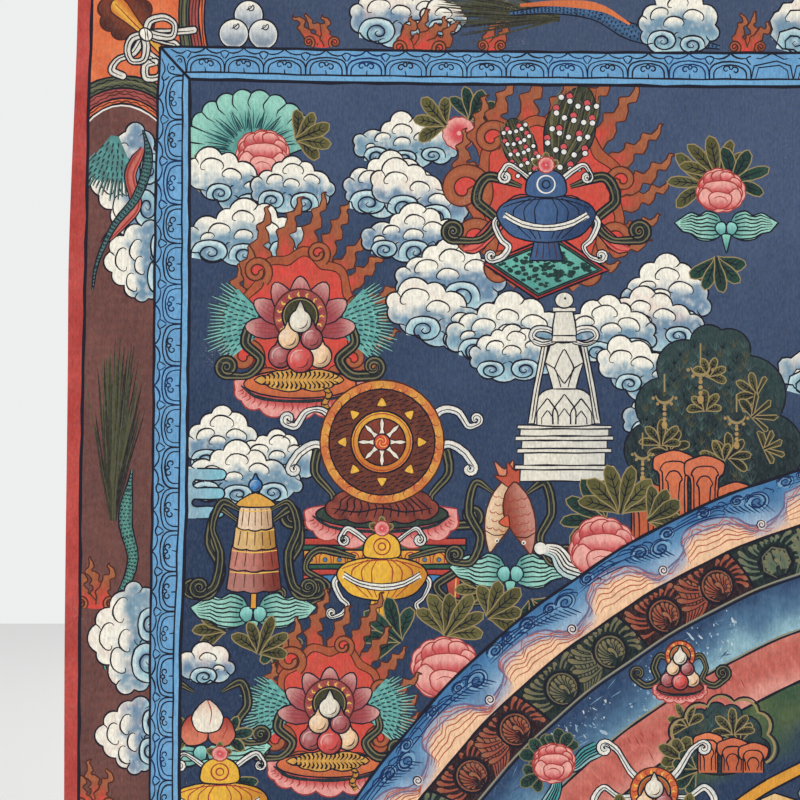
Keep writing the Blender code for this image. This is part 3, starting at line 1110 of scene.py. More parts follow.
def leaf_seat(place, wide=120, seed=1, colour=TEAL):
    """A pair of broad sea-green leaves that spread left and right, ruled with dark lines."""
    k = wide / 120.0
    p = place.then(size=k)
    rnd = np.random.default_rng(seed)
    for m in (False, True):
        q = p.then(mirror=m)
        top = curve([(4, 2), (10, -9), (22, -13), (31, -8), (41, -11), (52, -5), (60, 1)])
        low = curve([(60, 1), (51, 11), (42, 13), (33, 20), (20, 22), (9, 18), (4, 12)])
        rim = np.vstack([top, low[1:]])
        wash(q, rim, lambda s: mix(mix(colour, WHITE, 0.2 * np.ones(1))[0], TEAL_DARK, 0.8 * (1 - ramp(4, 30, s[:, 0])) + 0.12 * ripple(s, 8, seed)), 4)
        for i in range(7):
            v = (i + 0.7) / 7
            pts = []
            for x in np.linspace(10, 54 - 6 * abs(v - 0.5), 8):
                yt = np.interp(x, top[:, 0], top[:, 1])
                yb = np.interp(-x, -low[:, 0], low[:, 1])
                pts.append((x, yt + (yb - yt) * v + 0.8 * math.sin(x / 6.0)))
            brush(q, pts, 1.5, "ink", taper=(0.9, 0.3), shake=0.2)
        brush(q, rim, 1.6)
        shape(q, [(0, 6), (3, 0), (10, 1), (13, 8), (8, 15), (2, 14)], lambda s: mix(c(150, 214, 204), TEAL_DARK, ramp(2, 15, s[:, 1]) * 0.7), width=1.4, step=4)
    shape(p, [(-5, 15), (5, 15), (3, 26), (0, 36), (-3, 26)], lambda s: mix(colour, TEAL_DARK, ramp(14, 36, s[:, 1])), width=1.4, step=5)


def fan_leaf(place, r=46, start=180, end=360, folds=9, colour=TEAL, seed=1):
    """A great round leaf with a curling edge, its folds feathered with fine dark strokes."""
    rows = []
    for g in np.linspace(start, end, folds + 1):
        a = math.radians(g)
        rows.append((r * math.cos(a), r * 0.86 * math.sin(a), 0.26))
    rim = lobes(rows, closed=False)
    rim = np.vstack([rim, [(r * 0.3, r * 0.16), (-r * 0.3, r * 0.16)]])
    wash(place, rim, lambda q: mix(mix(colour, WHITE, 0.15 * np.ones(1))[0], TEAL_DARK, ramp(0.95, 0.35, np.hypot(q[:, 0], q[:, 1] / 0.86) / r) * 0.75 + 0.1 * ripple(q, 9, seed)), 4)
    rnd = np.random.default_rng(seed)
    for i in range(folds * 5):
        g = start + (end - start) * (i + 0.5) / (folds * 5)
        a = math.radians(g)
        r0, r1 = r * rnd.uniform(0.30, 0.42), r * rnd.uniform(0.66, 0.80)
        k = np.linspace(0, 1, 5)
        rr = r0 + (r1 - r0) * k
        aa = a + 0.10 * k * math.sin(i)
        brush(place, np.stack([rr * np.cos(aa), rr * 0.86 * np.sin(aa)], 1), 1.1, "line_teal" if i % 3 else "ink", taper=(0.9, 0.2), shake=0)
    for x, y, _ in rows[1:-1]:
        brush(place, curve([(x, y), (x * 0.84 + y * 0.06, y * 0.84), (x * 0.72, y * 0.72)]), 1.4, taper=(1, 0.3), shake=0)
    brush(place, rim, 1.7, closed=True)


def grass(place, long=120, spread=50, count=46, seed=1, bend=0.0, thick=1.5):
    """A tuft of long dark blades that fan up from one root."""
    rnd = np.random.default_rng(seed)
    for i in range(count if near(place) else count // 2):
        o = rnd.normal(0, 0.36)
        n = long * rnd.uniform(0.55, 1.0) * (1 - 0.25 * abs(o))
        k = np.linspace(0, 1, 7)
        x = rnd.uniform(-3, 3) + spread * 0.62 * o * k + bend * k * k * n
        y = -n * k
        shade = (c(58, 56, 44), c(86, 84, 60), c(44, 42, 40), c(70, 72, 52))[i % 4]
        brush(place, np.stack([x, y], 1), thick * rnd.uniform(0.8, 1.35), colour=shade, taper=(1.0, 0.25), shake=0.3)


def scaled(place, points, wide=14, seed=1, colour=c(98, 160, 146), tip=0.15, mark="ink"):
    """A tapering stem with small dark marks in rows."""
    p = curve(points, step=1.8)
    run = np.concatenate([[0], np.cumsum(np.hypot(*np.diff(p, axis=0).T))])
    u = run / run[-1]
    half = wide / 2 * (1 - (1 - tip) * u ** 1.1) * (0.12 + 0.88 * ramp(0, 0.22, u)) if tip < 0.5 else wide / 2 * (0.1 + 0.9 * ramp(0, 0.8, u))
    band(place, p, half, lambda a, v: mix(colour, colour * 0.70, np.abs(v) * 0.8), columns=(-1, 0, 1))
    t = np.gradient(p, axis=0)
    t /= np.maximum(np.hypot(*t.T), 1e-9)[:, None]
    n = np.stack([-t[:, 1], t[:, 0]], 1)
    k = 0
    for s in np.arange(3, run[-1] - 3, 3.6):
        i = int(np.searchsorted(run, s))
        h = half[i]
        many = 3 if h > 4.5 else (2 if h > 2.4 else 1)
        for j in range(many):
            o = (j - (many - 1) / 2) * h * 0.62 + (0.3 * h if k % 2 else 0) * (0.5 if many < 3 else 0.7)
            b = p[i] + n[i] * o
            brush(place, [b - n[i] * 1.1 - t[i] * 0.8, b + t[i] * 0.9, b + n[i] * 1.1 - t[i] * 0.8], 1.2, mark, taper=(1, 1), shake=0)
        k += 1
    brush(place, p + n * half[:, None], 1.4, taper=(0.8, 0.8), shake=0)
    brush(place, p - n * half[:, None], 1.4, taper=(0.8, 0.8), shake=0)


def pearl(place, x, y, r, seed=1):
    """A round grey-white jewel with a curl of line on top."""
    wash(place, oval(x, y, r), lambda q: mix(mix(CREAM, c(206, 210, 210), ramp(-0.9, -0.2, (q[:, 1] - y) / r)), c(128, 142, 158), 0.9 * ramp(-0.25, 0.62, (q[:, 1] - y) / r + 0.10 * ripple(q, 6, seed)) * (1 - ramp(0.72, 0.95, np.hypot(q[:, 0] - x, q[:, 1] - y) / r))), 2.6)
    brush(place, oval(x, y, r * 0.93), 1.1, "line_white", closed=True)
    brush(place, oval(x, y, r), 1.7, closed=True)
    brush(place, np.vstack([arc(x - r * 0.30, y - r * 0.95, r * 0.62, 75, 25), coil(x + r * 0.12, y - r * 0.50, r * 0.26, -40, 0.9, 0.4)]), 1.4, taper=(0.8, 0.5), shake=0)


def plinth(place, wide=110, rows=((7, 1.0), (5, 0.92), (12, 0.80), (5, 0.92), (7, 1.04), (12, 0.86), (8, 1.0)), colour=c(236, 230, 214)):
    """A stepped white base: slabs between dark lines."""
    y = 0.0
    w = wide / 2
    for high, share in rows:
        a = w * share
        pts = np.array([(-a, y), (a, y), (a * 0.99, y + high), (-a * 0.99, y + high)])
        wash(place, cut_up(pts, 14), shaded(mix(colour, WHITE, 0.3 * np.ones(1))[0], c(206, 208, 200), y, y + high * 1.3, rough=0.18), 7)
        brush(place, cut_up(pts, 12), 1.7, closed=True)
        y += high
    return y


def plume(place, points, wide=20, lines=4, colour=WHITE):
    """A white trailing shape, ruled lengthwise with dark lines."""
    p = curve(points, step=2.0)
    u = np.linspace(0, 1, len(p))
    half = wide / 2 * (0.45 + 0.55 * np.sin(np.clip(u * 1.15, 0, 1) * math.pi * 0.5))
    band(place, p, half, lambda a, v: mix(colour, c(176, 206, 206), ramp(0.2, 1, v)), columns=(-1, 0, 1))
    t = np.gradient(p, axis=0)
    t /= np.maximum(np.hypot(*t.T), 1e-9)[:, None]
    n = np.stack([-t[:, 1], t[:, 0]], 1)
    for i in range(lines):
        v = -0.7 + 1.4 * (i + 0.5) / lines
        a = int(len(p) * 0.16)
        brush(place, p[a:] + n[a:] * (half[a:] * v)[:, None], 1.5, taper=(0.4, 0.9), shake=0)
    for s in (-1, 1):
        brush(place, p + n * (half * s)[:, None], 1.6, taper=(0.9, 0.9), shake=0)
    e = p[0]
    wash(place, oval(e[0], e[1], wide * 0.30), colour)
    brush(place, arc(e[0], e[1], wide * 0.30, 60, 330), 1.5, taper=(0.7, 0.7), shake=0)


def fingers(place, reach=58, rows=3, high=11, gap=6, seed=1, mirror=False):
    """The long blunt tails at the foot of a cloud, joined at their root, with hooked hollows between."""
    p = place.then(mirror=mirror)
    rnd = np.random.default_rng(seed)
    edge = [np.array([(0.0, 0.0)])]
    y = 0.0
    ends = []
    for i in range(rows):
        n = reach * rnd.uniform(0.78, 1.0)
        y1 = y + high
        edge.append(curve([(n * 0.35, y + 0.5), (n * 0.75, y), (n * 0.94, y + 0.6)]))
        edge.append(arc(n * 0.95, (y + y1) / 2 + 0.2, high * 0.46, -80, 80))
        edge.append(curve([(n * 0.92, y1 - 0.4), (n * 0.6, y1 + 0.6), (n * 0.36, y1)]))
        if i < rows - 1:
            edge.append(arc(n * 0.34, y1 + gap / 2, gap / 2, -90, -270))
            ends.append((n * 0.34, y1 + gap / 2))
        y = y1 + gap
    edge.append(np.array([(0.0, y - gap)]))
    rim = np.vstack(edge)
    wash(p, rim, lambda q: mix(c(152, 182, 196), c(136, 196, 212), ramp(0, reach, q[:, 0])) + 0.025 * ripple(q, 9, seed)[:, None], step=4.5)
    brush(p, rim[1:-1], 1.7, taper=(0.8, 0.8))
    for x, yy in ends:
        brush(p, curve([(x - 2, yy - 4), (x + 4, yy - 3.5), (x + 8, yy - 1)]), 1.4, taper=(0.9, 0.3))


def leaves(place, seed=1, size=1.0, colour=OLIVE, count=5, spread=150, long=34, wide=14):
    """A hand of broad leaves from one stalk."""
    p = place.then(size=size)
    rnd = np.random.default_rng(seed)
    order = sorted(range(count), key=lambda i: -abs(i - (count - 1) / 2))
    for i in order:
        g = -90 + spread * (i / max(count - 1, 1) - 0.5)
        k = mix(colour, (GREEN, OLIVE, OLIVE_DARK)[int(rnd.integers(3))], 0.5 * np.ones(1))[0]
        leaf(p, 0, 0, long * rnd.uniform(0.85, 1.1), wide * rnd.uniform(0.85, 1.15), g, k, "line_tan", 5, rnd.uniform(-0.5, 0.5))


def stroked(place, pts, width=1.6, ink="ink", closed=False, step=2.0, taper=(0.8, 0.8)):
    brush(place, curve(pts, closed=closed, step=step), width, ink, taper=taper, closed=closed)


def shape(place, pts, colour, ink="ink", width=1.6, step=None, smooth=True):
    """A filled shape with its outline."""
    rim = curve(pts, closed=True, step=2.2) if smooth else np.asarray(pts, float)
    wash(place, rim, colour, step)
    if ink:
        brush(place, rim if smooth else cut_up(rim, 6.0), width, ink, closed=True)
    return rim


def shaded(a, b, lo, hi, axis=1, seed=3, rough=0.08):
    """A colour that runs from a to b along an axis."""
    return lambda q: mix(a, b, ramp(lo, hi, q[:, axis]) + rough * ripple(q, 9, seed))


def wheel_emblem(place, r=26, ground_=c(46, 84, 132), spoke=YELLOW):
    """An eight-spoked wheel with a gold rim."""
    for i in range(8):
        a = math.radians(45 * i - 90)
        tip = (r * 1.28 * math.cos(a), r * 1.28 * math.sin(a))
        q = place.then(tip[0], tip[1], turn=math.degrees(a) + 90)
        shape(q, [(0, -5), (3.4, -1), (4.6, 4), (-4.6, 4), (-3.4, -1)], YELLOW, "ink_brown", 1.2)
    wash(place, oval(0, 0, r), shaded(c(236, 176, 70), c(208, 122, 52), -r, r), 6)
    brush(place, oval(0, 0, r), 1.8, closed=True)
    brush(place, oval(0, 0, r * 0.92), 1.0, "ink_red", closed=True)
    wash(place, oval(0, 0, r * 0.76), shaded(ground_ * 1.12, ground_ * 0.86, -r, r), 6)
    brush(place, oval(0, 0, r * 0.76), 1.6, closed=True)
    for i in range(8):
        q = place.then(0, 0, turn=45 * i)
        shape(q, [(0, -r * 0.78), (2.4, -r * 0.6), (1.6, -r * 0.42), (3.2, -r * 0.24), (-3.2, -r * 0.24), (-1.6, -r * 0.42), (-2.4, -r * 0.6)], spoke, "ink_brown", 1.2)
    wash(place, oval(0, 0, r * 0.26), c(214, 82, 62))
    brush(place, oval(0, 0, r * 0.26), 1.5, closed=True)
    for i in range(3):
        brush(place.then(0, 0, turn=120 * i), coil(0, 0, r * 0.2, -90, 0.5, 0.2), 1.1, "line_gold", shake=0)


def vessel(place, high=60, gold=True):
    """A round treasure vase with a collar, a foot and a jewel on top."""
    k = high / 60.0
    p = place.then(size=k)
    a, b = (c(246, 190, 76), c(206, 126, 46)) if gold else (c(240, 236, 226), c(176, 190, 196))
    scarves(p.then(0, -20), 34, 44, 7)
    shape(p, [(-13, 0), (-10, -5), (10, -5), (13, 0)], a, smooth=False)
    shape(p, [(-7, -5), (-5, -10), (5, -10), (7, -5)], b, smooth=False)
    body = shape(p, [(-6, -9), (-17, -15), (-21, -26), (-15, -36), (-6, -40), (6, -40), (15, -36), (21, -26), (17, -15), (6, -9)], lambda q: mix(a, b, ramp(2, 22, np.abs(q[:, 0] + 4)) + 0.06 * ripple(q, 8, 2)), step=4)
    shape(p, [(-8, -40), (-10, -45), (10, -45), (8, -40)], a, smooth=False)
    shape(p, [(-13, -45), (-12, -50), (12, -50), (13, -45)], c(206, 78, 64), smooth=False)
    stroked(p, [(-19, -22), (-10, -17), (0, -15.5), (10, -17), (19, -22)], 1.4, "ink_brown")
    stroked(p, [(-20, -29), (-10, -32), (0, -33), (10, -32), (20, -29)], 1.4, "ink_brown")
    for i in range(-2, 3):
        x = i * 7.4
        stroked(p, [(x - 3.2, -31 + abs(i)), (x, -25 + abs(i) * 0.6), (x + 3.2, -31 + abs(i))], 1.1, "ink_red")
        wash(p, oval(x, -20.5 - abs(i) * 0.9, 1.8), c(206, 78, 64))
    jewel(p, 0, -57, 6.2, c(60, 128, 190))
    jewel(p, -8, -53, 4.4, c(220, 90, 70))
    jewel(p, 8, -53, 4.4, c(82, 150, 120))


def shell(place, high=46):
    """A white conch that winds to the right, with a ribbon."""
    p = place.then(size=high / 46.0)
    scarves(p.then(0, -6), 36, 40, 6.5, white=True)
    rim = shape(p, [(2, -46), (10, -38), (14, -30), (20, -20), (22, -8), (16, 4), (8, 14), (-2, 20), (-7, 16), (-12, 2), (-17, -10), (-18, -24), (-12, -34), (-6, -40)], lambda q: mix(c(246, 240, 228), c(176, 196, 206), ramp(-2, 20, q[:, 0] + 0.3 * q[:, 1])), step=4)
    for i, y in enumerate((-37, -29, -20)):
        w = (7, 12, 17)[i]
        stroked(p, [(-w, y + 5), (-w * 0.2, y + 1), (w * 0.95, y - 3)], 1.5)
        stroked(p, [(-w * 0.9, y + 8), (0, y + 4), (w * 0.9, y)], 1.0, "ink_brown")
    stroked(p, [(-16, -12), (-4, -14), (10, -8), (14, 0), (6, 12), (-2, 18)], 1.6)
    shape(p, [(-3, -8), (6, -5), (9, 0), (3, 9), (-3, 15), (-6, 4)], lambda q: mix(PINK_PALE, c(214, 110, 104), ramp(-8, 14, q[:, 1])), "ink_brown", 1.2, step=4)


def knot(place, wide=44, colour=c(222, 120, 70)):
    """The endless knot, as one flat band that passes over and under itself."""
    p = place.then(size=wide / 44.0, turn=45)
    n = 9.5
    lines = [-n * 1.05, 0, n * 1.05]
    bar = lambda a, b: band(p, cut_up(np.array([a, b], float), 4.0, closed=False), 2.7, lambda u, v: mix(colour, colour * 0.72, np.abs(v)), columns=(-1, 0, 1))
    edge = lambda a, b: [brush(p, cut_up(np.array([a, b], float) + o, 6.0, closed=False), 1.2, taper=(1, 1), shake=0) for o in (np.array([-(np.array(b) - a)[1], (np.array(b) - a)[0]]) / np.hypot(*(np.array(b, float) - a)) * s for s in (-2.7, 2.7))]
    for i, x in enumerate(lines):
        bar((x, -17), (x, 17))
        edge((x, -17), (x, 17))
    for j, y in enumerate(lines):
        bar((-17, y), (17, y))
        edge((-17, y), (17, y))
        for i, x in enumerate(lines):
            if (i + j) % 2:
                bar((x, y - 5), (x, y + 5))
                edge((x, y - 5), (x, y + 5))
    for sx in (-1, 1):
        for axis in (0, 1):
            f = (lambda pts: [(b, a) for a, b in pts]) if axis else (lambda pts: pts)
            for a, b in ((lines[0], lines[1]), (lines[1], lines[2])) if sx > 0 else ((lines[0], lines[1]), (lines[1], lines[2])):
                pass
            loop = curve(f([(sx * 16, lines[0]), (sx * 21, lines[0] + 1), (sx * 22, (lines[0] + lines[1]) / 2), (sx * 21, lines[1] - 1), (sx * 16, lines[1])]), step=1.6)
            band(p, loop, 2.7, lambda u, v: mix(colour, colour * 0.72, np.abs(v)), columns=(-1, 0, 1))
            t = np.gradient(loop, axis=0)
            t /= np.hypot(*t.T)[:, None]
            m = np.stack([-t[:, 1], t[:, 0]], 1)
            for s in (-2.7, 2.7):
                brush(p, loop + m * s, 1.2, taper=(1, 1), shake=0)


def banner(place, high=96, wide=34):
    """A tiered silk banner on a pole, with a jewel above it."""
    p = place.then(size=high / 96.0)
    w = wide / 2
    shape(p, [(-2.4, 0), (-2.4, -96), (2.4, -96), (2.4, 0)], GOLD, smooth=False)
    tiers = ((-84, w * 0.72, c(242, 196, 152)), (-68, w * 0.86, c(220, 160, 74)), (-51, w, c(178, 76, 60)), (-34, w * 1.08, c(150, 62, 52)))
    for y, h, k in tiers[::-1]:
        rows = [(-h, y, 0.0), (h, y, 0.0), (h * 1.12, y + 18, 0.12), (h * 0.4, y + 20, 0.12), (-h * 0.4, y + 20, 0.12), (-h * 1.12, y + 18, 0.0)]
        rim = lobes(rows)
        wash(p, rim, lambda q, k=k, h=h: mix(mix(k, WHITE, 0.35 * np.ones(1))[0], k * 0.82, ramp(-0.3 * h, h, q[:, 0])), 5)
        brush(p, rim, 1.6, closed=True)
        for i in range(-2, 3):
            stroked(p, [(i * h * 0.36, y + 3), (i * h * 0.42, y + 17)], 1.0, "ink_brown")
        stroked(p, [(-h, y + 4), (0, y + 5.5), (h, y + 4)], 1.3, "line_gold")
    shape(p, [(-w * 0.9, -84), (0, -94), (w * 0.9, -84), (0, -82)], c(226, 168, 76), step=4)
    jewel(p, 0, -100, 5.5, c(60, 128, 190))
    for m in (False, True):
        scarf(p.then(mirror=m), [(w * 0.7, -80), (w * 1.5, -86), (w * 1.9, -66), (w * 1.5, -44), (w * 1.7, -20), (w * 2.2, -12)], 7, coils=(None, (6.5, 1.35, -1)))


def fish(place, colour=c(232, 164, 70)):
    """One curved fish, head down."""
    body = [(0, -30), (9, -22), (13, -8), (9, 8), (3, 20), (-1, 27), (-6, 18), (-10, 2), (-9, -14), (-5, -24)]
    shape(place, [(-2, -26), (-12, -42), (-3, -38), (2, -46), (5, -36), (14, -38), (4, -26)], mix(colour, c(210, 90, 66), 0.5 * np.ones(1))[0], "ink_brown", 1.4)
    rim = shape(place, body, lambda q: mix(mix(colour, WHITE, 0.4 * np.ones(1))[0], colour * 0.85, ramp(-8, 12, q[:, 0])), "ink_brown", 1.6, step=4)
    for j in range(5):
        for i in range(-1, 2):
            x, y = i * 5.2 + (j % 2) * 2.6, -18 + j * 6.2
            brush(place, arc(x, y, 2.6, 20, 160), 1.0, "ink_red", taper=(0.6, 0.6), shake=0)
    stroked(place, [(-8, 11), (0, 13.5), (8, 11)], 1.3, "ink_brown")
    wash(place, oval(2.5, 17, 1.7, step=0.8), WHITE)
    wash(place, oval(2.7, 17.2, 0.8, step=0.5), c(30, 30, 40))
    shape(place, [(10, -6), (18, -2), (11, 3)], c(214, 96, 66), "ink_brown", 1.2)


def table(place, wide=150, high=60):
    """A low altar table, red and green, with a gold frieze."""
    w, h = wide / 2, high
    rails = ((0, 7, c(196, 74, 62)), (7, 12, c(52, 96, 76)), (12, 26, c(224, 158, 66)), (26, 31, c(52, 96, 76)), (31, 37, c(196, 74, 62)))
    for lo, hi, k in rails:
        s = 1.0 if lo < 8 else 0.93
        wash(place, cut_up(np.array([(-w * s, lo), (w * s, lo), (w * s, hi), (-w * s, hi)], float), 16), shaded(k * 1.05, k * 0.9, lo, hi, rough=0.12), 8)
        for y in (lo, hi):
            brush(place, cut_up(np.array([(-w * s, y), (w * s, y)], float), 14, closed=False), 1.6, taper=(1, 1))
        for x in (-w * s, w * s):
            brush(place, [(x, lo), (x, (lo + hi) / 2), (x, hi)], 1.6, taper=(1, 1))
    n = int(wide / 15)
    for i in range(n):
        x = (i + 0.5) / n * 2 * w * 0.93 - w * 0.93
        stroked(place, [(x - 6, 25), (x - 5, 17), (x, 14), (x + 5, 17), (x + 6, 25)], 1.3, "ink_red")
        wash(place, oval(x, 21.5, 2.2), c(70, 132, 184))
        brush(place, oval(x, 21.5, 2.2), 0.9, "ink_brown", closed=True)
    for s in (-1, 1):
        shape(place, [(s * w * 0.93, 37), (s * w * 0.93, h - 6), (s * w * 1.02, h), (s * w * 0.80, h), (s * w * 0.80, h - 6), (s * w * 0.76, 44), (s * w * 0.70, 37)], shaded(c(206, 84, 66), c(150, 58, 52), 37, h), smooth=False, step=8)
        stroked(place, [(s * w * 0.88, 40), (s * w * 0.87, h - 4)], 1.3, "line_gold")
    for i in range(5):
        x = (i - 2) / 2 * w * 0.56
        shape(place, [(x - 12, 37), (x - 8, 42), (x, 45.5), (x + 8, 42), (x + 12, 37)], (c(70, 132, 184), c(86, 140, 104))[i % 2], width=1.3)


def bowl(place, wide=30, colour=GOLD, fill=c(214, 84, 70)):
    """An offering bowl on a foot, heaped."""
    w = wide / 2
    for i, x in enumerate((-0.5, 0.5, 0.0)):
        jewel(place, x * w * 1.0, -3 - (5 if i == 2 else 0), w * 0.36, (fill, c(70, 132, 184), c(238, 226, 206))[i])
    shape(place, [(-w, 0), (-w * 0.85, 8), (-w * 0.3, 13), (w * 0.3, 13), (w * 0.85, 8), (w, 0)], lambda q: mix(mix(colour, WHITE, 0.3 * np.ones(1))[0], colour * 0.8, ramp(-w * 0.4, w, q[:, 0])), step=4)
    shape(place, [(-w * 0.26, 13), (-w * 0.5, 20), (w * 0.5, 20), (w * 0.26, 13)], colour * 0.9, smooth=False)
    stroked(place, [(-w * 0.9, 3.5), (0, 6.5), (w * 0.9, 3.5)], 1.2, "ink_red")
    for i in range(-2, 3):
        stroked(place, [(i * w * 0.3 - 2, 6), (i * w * 0.26, 11), (i * w * 0.3 + 2.4, 6)], 1.0, "ink_red")


def rocks(place, seed=1, count=3, colour=ORANGE, high=44, wide=26):
    """Flat-topped crags with nested lines, one before another."""
    rnd = np.random.default_rng(seed)
    for i in range(count):
        w = wide * rnd.uniform(0.9, 1.15) * 0.5
        x = (i - (count - 1) / 2) * wide * 0.9 + rnd.uniform(-2, 2)
        h = high * (0.55 + 0.45 * abs(math.sin(i * 2.1 + seed)))
        k = mix(colour, c(206, 96, 62), rnd.uniform(0, 0.8, 1))[0]
        rim = curve([(x - w * 0.80, 4), (x - w * 0.78, -h * 0.5), (x - w * 0.84, -h + w * 1.3), (x - w * 1.16, -h + w * 1.0), (x - w * 1.12, -h + w * 0.35), (x - w * 0.6, -h + w * 0.10), (x, -h - w * 0.05), (x + w * 0.66, -h + w * 0.10), (x + w * 1.16, -h + w * 0.42), (x + w * 1.10, -h + w * 1.0), (x + w * 0.82, -h + w * 1.3), (x + w * 0.78, -h * 0.5), (x + w * 0.82, 4)], step=2.0)
        wash(place, rim, lambda q, k=k: mix(mix(k, WHITE, 0.10 * np.ones(1))[0], k * 0.9, ramp(-high, 0, q[:, 1]) + 0.15 * ripple(q, 9, seed)), 7)
        brush(place, rim, 1.7, taper=(1, 1))
        for j, g in enumerate((0.62, 0.30)):
            top = -h + w * (0.62 + 0.55 * j)
            brush(place, curve([(x - w * g, 2), (x - w * g, top + w * 0.9), (x - w * (g + 0.16), top + w * 0.42), (x - w * g * 0.7, top), (x + w * g * 0.7, top), (x + w * (g + 0.16), top + w * 0.42), (x + w * g, top + w * 0.9), (x + w * g, 2)], step=2.0), 1.5, taper=(0.7, 0.7))


def tree(place, seed=1, wide=100, high=90):
    """A dark leafy mass, stroked all over, with hands of tan-edged leaves."""
    rnd = np.random.default_rng(seed)
    w, h = wide / 2, high
    rim = lobes([(-w, -h * 0.15, 0.3), (-w * 0.95, -h * 0.45, 0.28), (-w * 0.72, -h * 0.72, 0.3), (-w * 0.30, -h * 0.94, 0.3), (w * 0.12, -h, 0.3), (w * 0.5, -h * 0.85, 0.28), (w * 0.9, -h * 0.5, 0.3), (w, -h * 0.12, 0.2), (w * 0.5, h * 0.03, 0.1), (-w * 0.5, h * 0.03, 0.2)])
    wash(place, rim, lambda q: mix(c(50, 70, 70), c(34, 46, 50), ramp(-h, 0, q[:, 1]) + 0.3 * ripple(q, 17, seed)), 9)
    brush(place, rim, 1.6, closed=True)
    tufts = []
    for j in range(int(h / 8)):
        for i in range(int(wide / 10)):
            x = -w * 0.92 + i * 10 + (j % 2) * 5 + rnd.uniform(-2.5, 2.5)
            y = -h * 0.94 + j * 8 + rnd.uniform(-2, 2)
            tufts.append((x, y))
    tufts = np.array(tufts)[::1 if near(place) else 5]
    tufts = tufts[inside(tufts + (0, -2), rim) & inside(tufts + (0, 8), rim)]
    for i, (x, y) in enumerate(tufts):
        ink = c(72, 94, 88) if i % 3 == 0 else (c(26, 36, 42) if i % 3 == 1 else c(84, 80, 56))
        for g in (-36, -12, 14, 38):
            a = math.radians(g - 90 + rnd.uniform(-8, 8))
            n = rnd.uniform(7, 10)
            brush(place, [(x, y + 9), (x + n * math.cos(a), y + 9 + n * math.sin(a))], 1.15, colour=ink, taper=(0.9, 0.3), shake=0)
    for i in range(max(3, int(wide * high / 2600))):
        x, y = rnd.uniform(-w * 0.7, w * 0.7), rnd.uniform(-h * 0.75, -h * 0.2)
        palm(place.then(x, y, turn=rnd.uniform(-70, 70)), 5, rnd.uniform(20, 27), 8, 150, (OLIVE, OLIVE_DARK, c(92, 90, 56))[i % 3], "line_tan", seed + i)


def pendant(place, size=1.0):
    """A tan crescent hung from above, with beads and a drop."""
    p = place.then(size=size)
    brush(p, [(0, -26), (0, -16), (0, -8)], 1.5, "line_tan", taper=(1, 1), shake=0)
    brush(p, arc(0, -6, 9, 10, 170), 3.0, "line_tan", taper=(0.4, 0.4), shake=0)
    for g in (20, 55, 90, 125, 160):
        a = math.radians(g)
        wash(p, oval(12 * math.cos(a), -6 + 12 * math.sin(a), 1.7, step=1.1), TAN)
    for y in (9, 14, 19, 25):
        wash(p, oval(0, y, 2.0 if y < 25 else 2.8, 2.0 if y < 25 else 4.0, step=1.2), c(178, 146, 92))


def peaches(place, size=1.0, seed=1):
    """Three cleft fruits on leaves."""
    p = place.then(size=size)
    palm(p.then(-12, 6, turn=-80), 3, 22, 8, 70, OLIVE, seed=seed)
    palm(p.then(12, 6, turn=80), 3, 22, 8, 70, GREEN, seed=seed + 1)
    for x, y, r, lean, a, b in ((-10, 2, 11, -14, c(222, 128, 100), c(176, 70, 58)), (11, 3, 10.5, 16, c(214, 116, 92), c(164, 64, 54)), (0, -9, 12, 0, c(246, 236, 216), c(230, 196, 174))):
        q = p.then(x, y, turn=lean)
        rim = curve([(0, -r * 1.22), (r * 0.55, -r * 0.86), (r * 1.0, -r * 0.05), (r * 0.72, r * 0.78), (0, r), (-r * 0.72, r * 0.78), (-r * 1.0, -r * 0.05), (-r * 0.55, -r * 0.86)], closed=True)
        wash(q, rim, lambda g, r=r, a=a, b=b: mix(a, b, ramp(r * 0.2, -r * 1.2, g[:, 1]) + 0.10 * ripple(g, 7, seed)), 3.4)
        brush(q, rim, 1.4, closed=True)
        brush(q, curve([(0, -r * 1.2), (r * 0.25, -r * 0.4), (r * 0.12, r * 0.5)]), 1.1, "ink_red", taper=(0.9, 0.3))


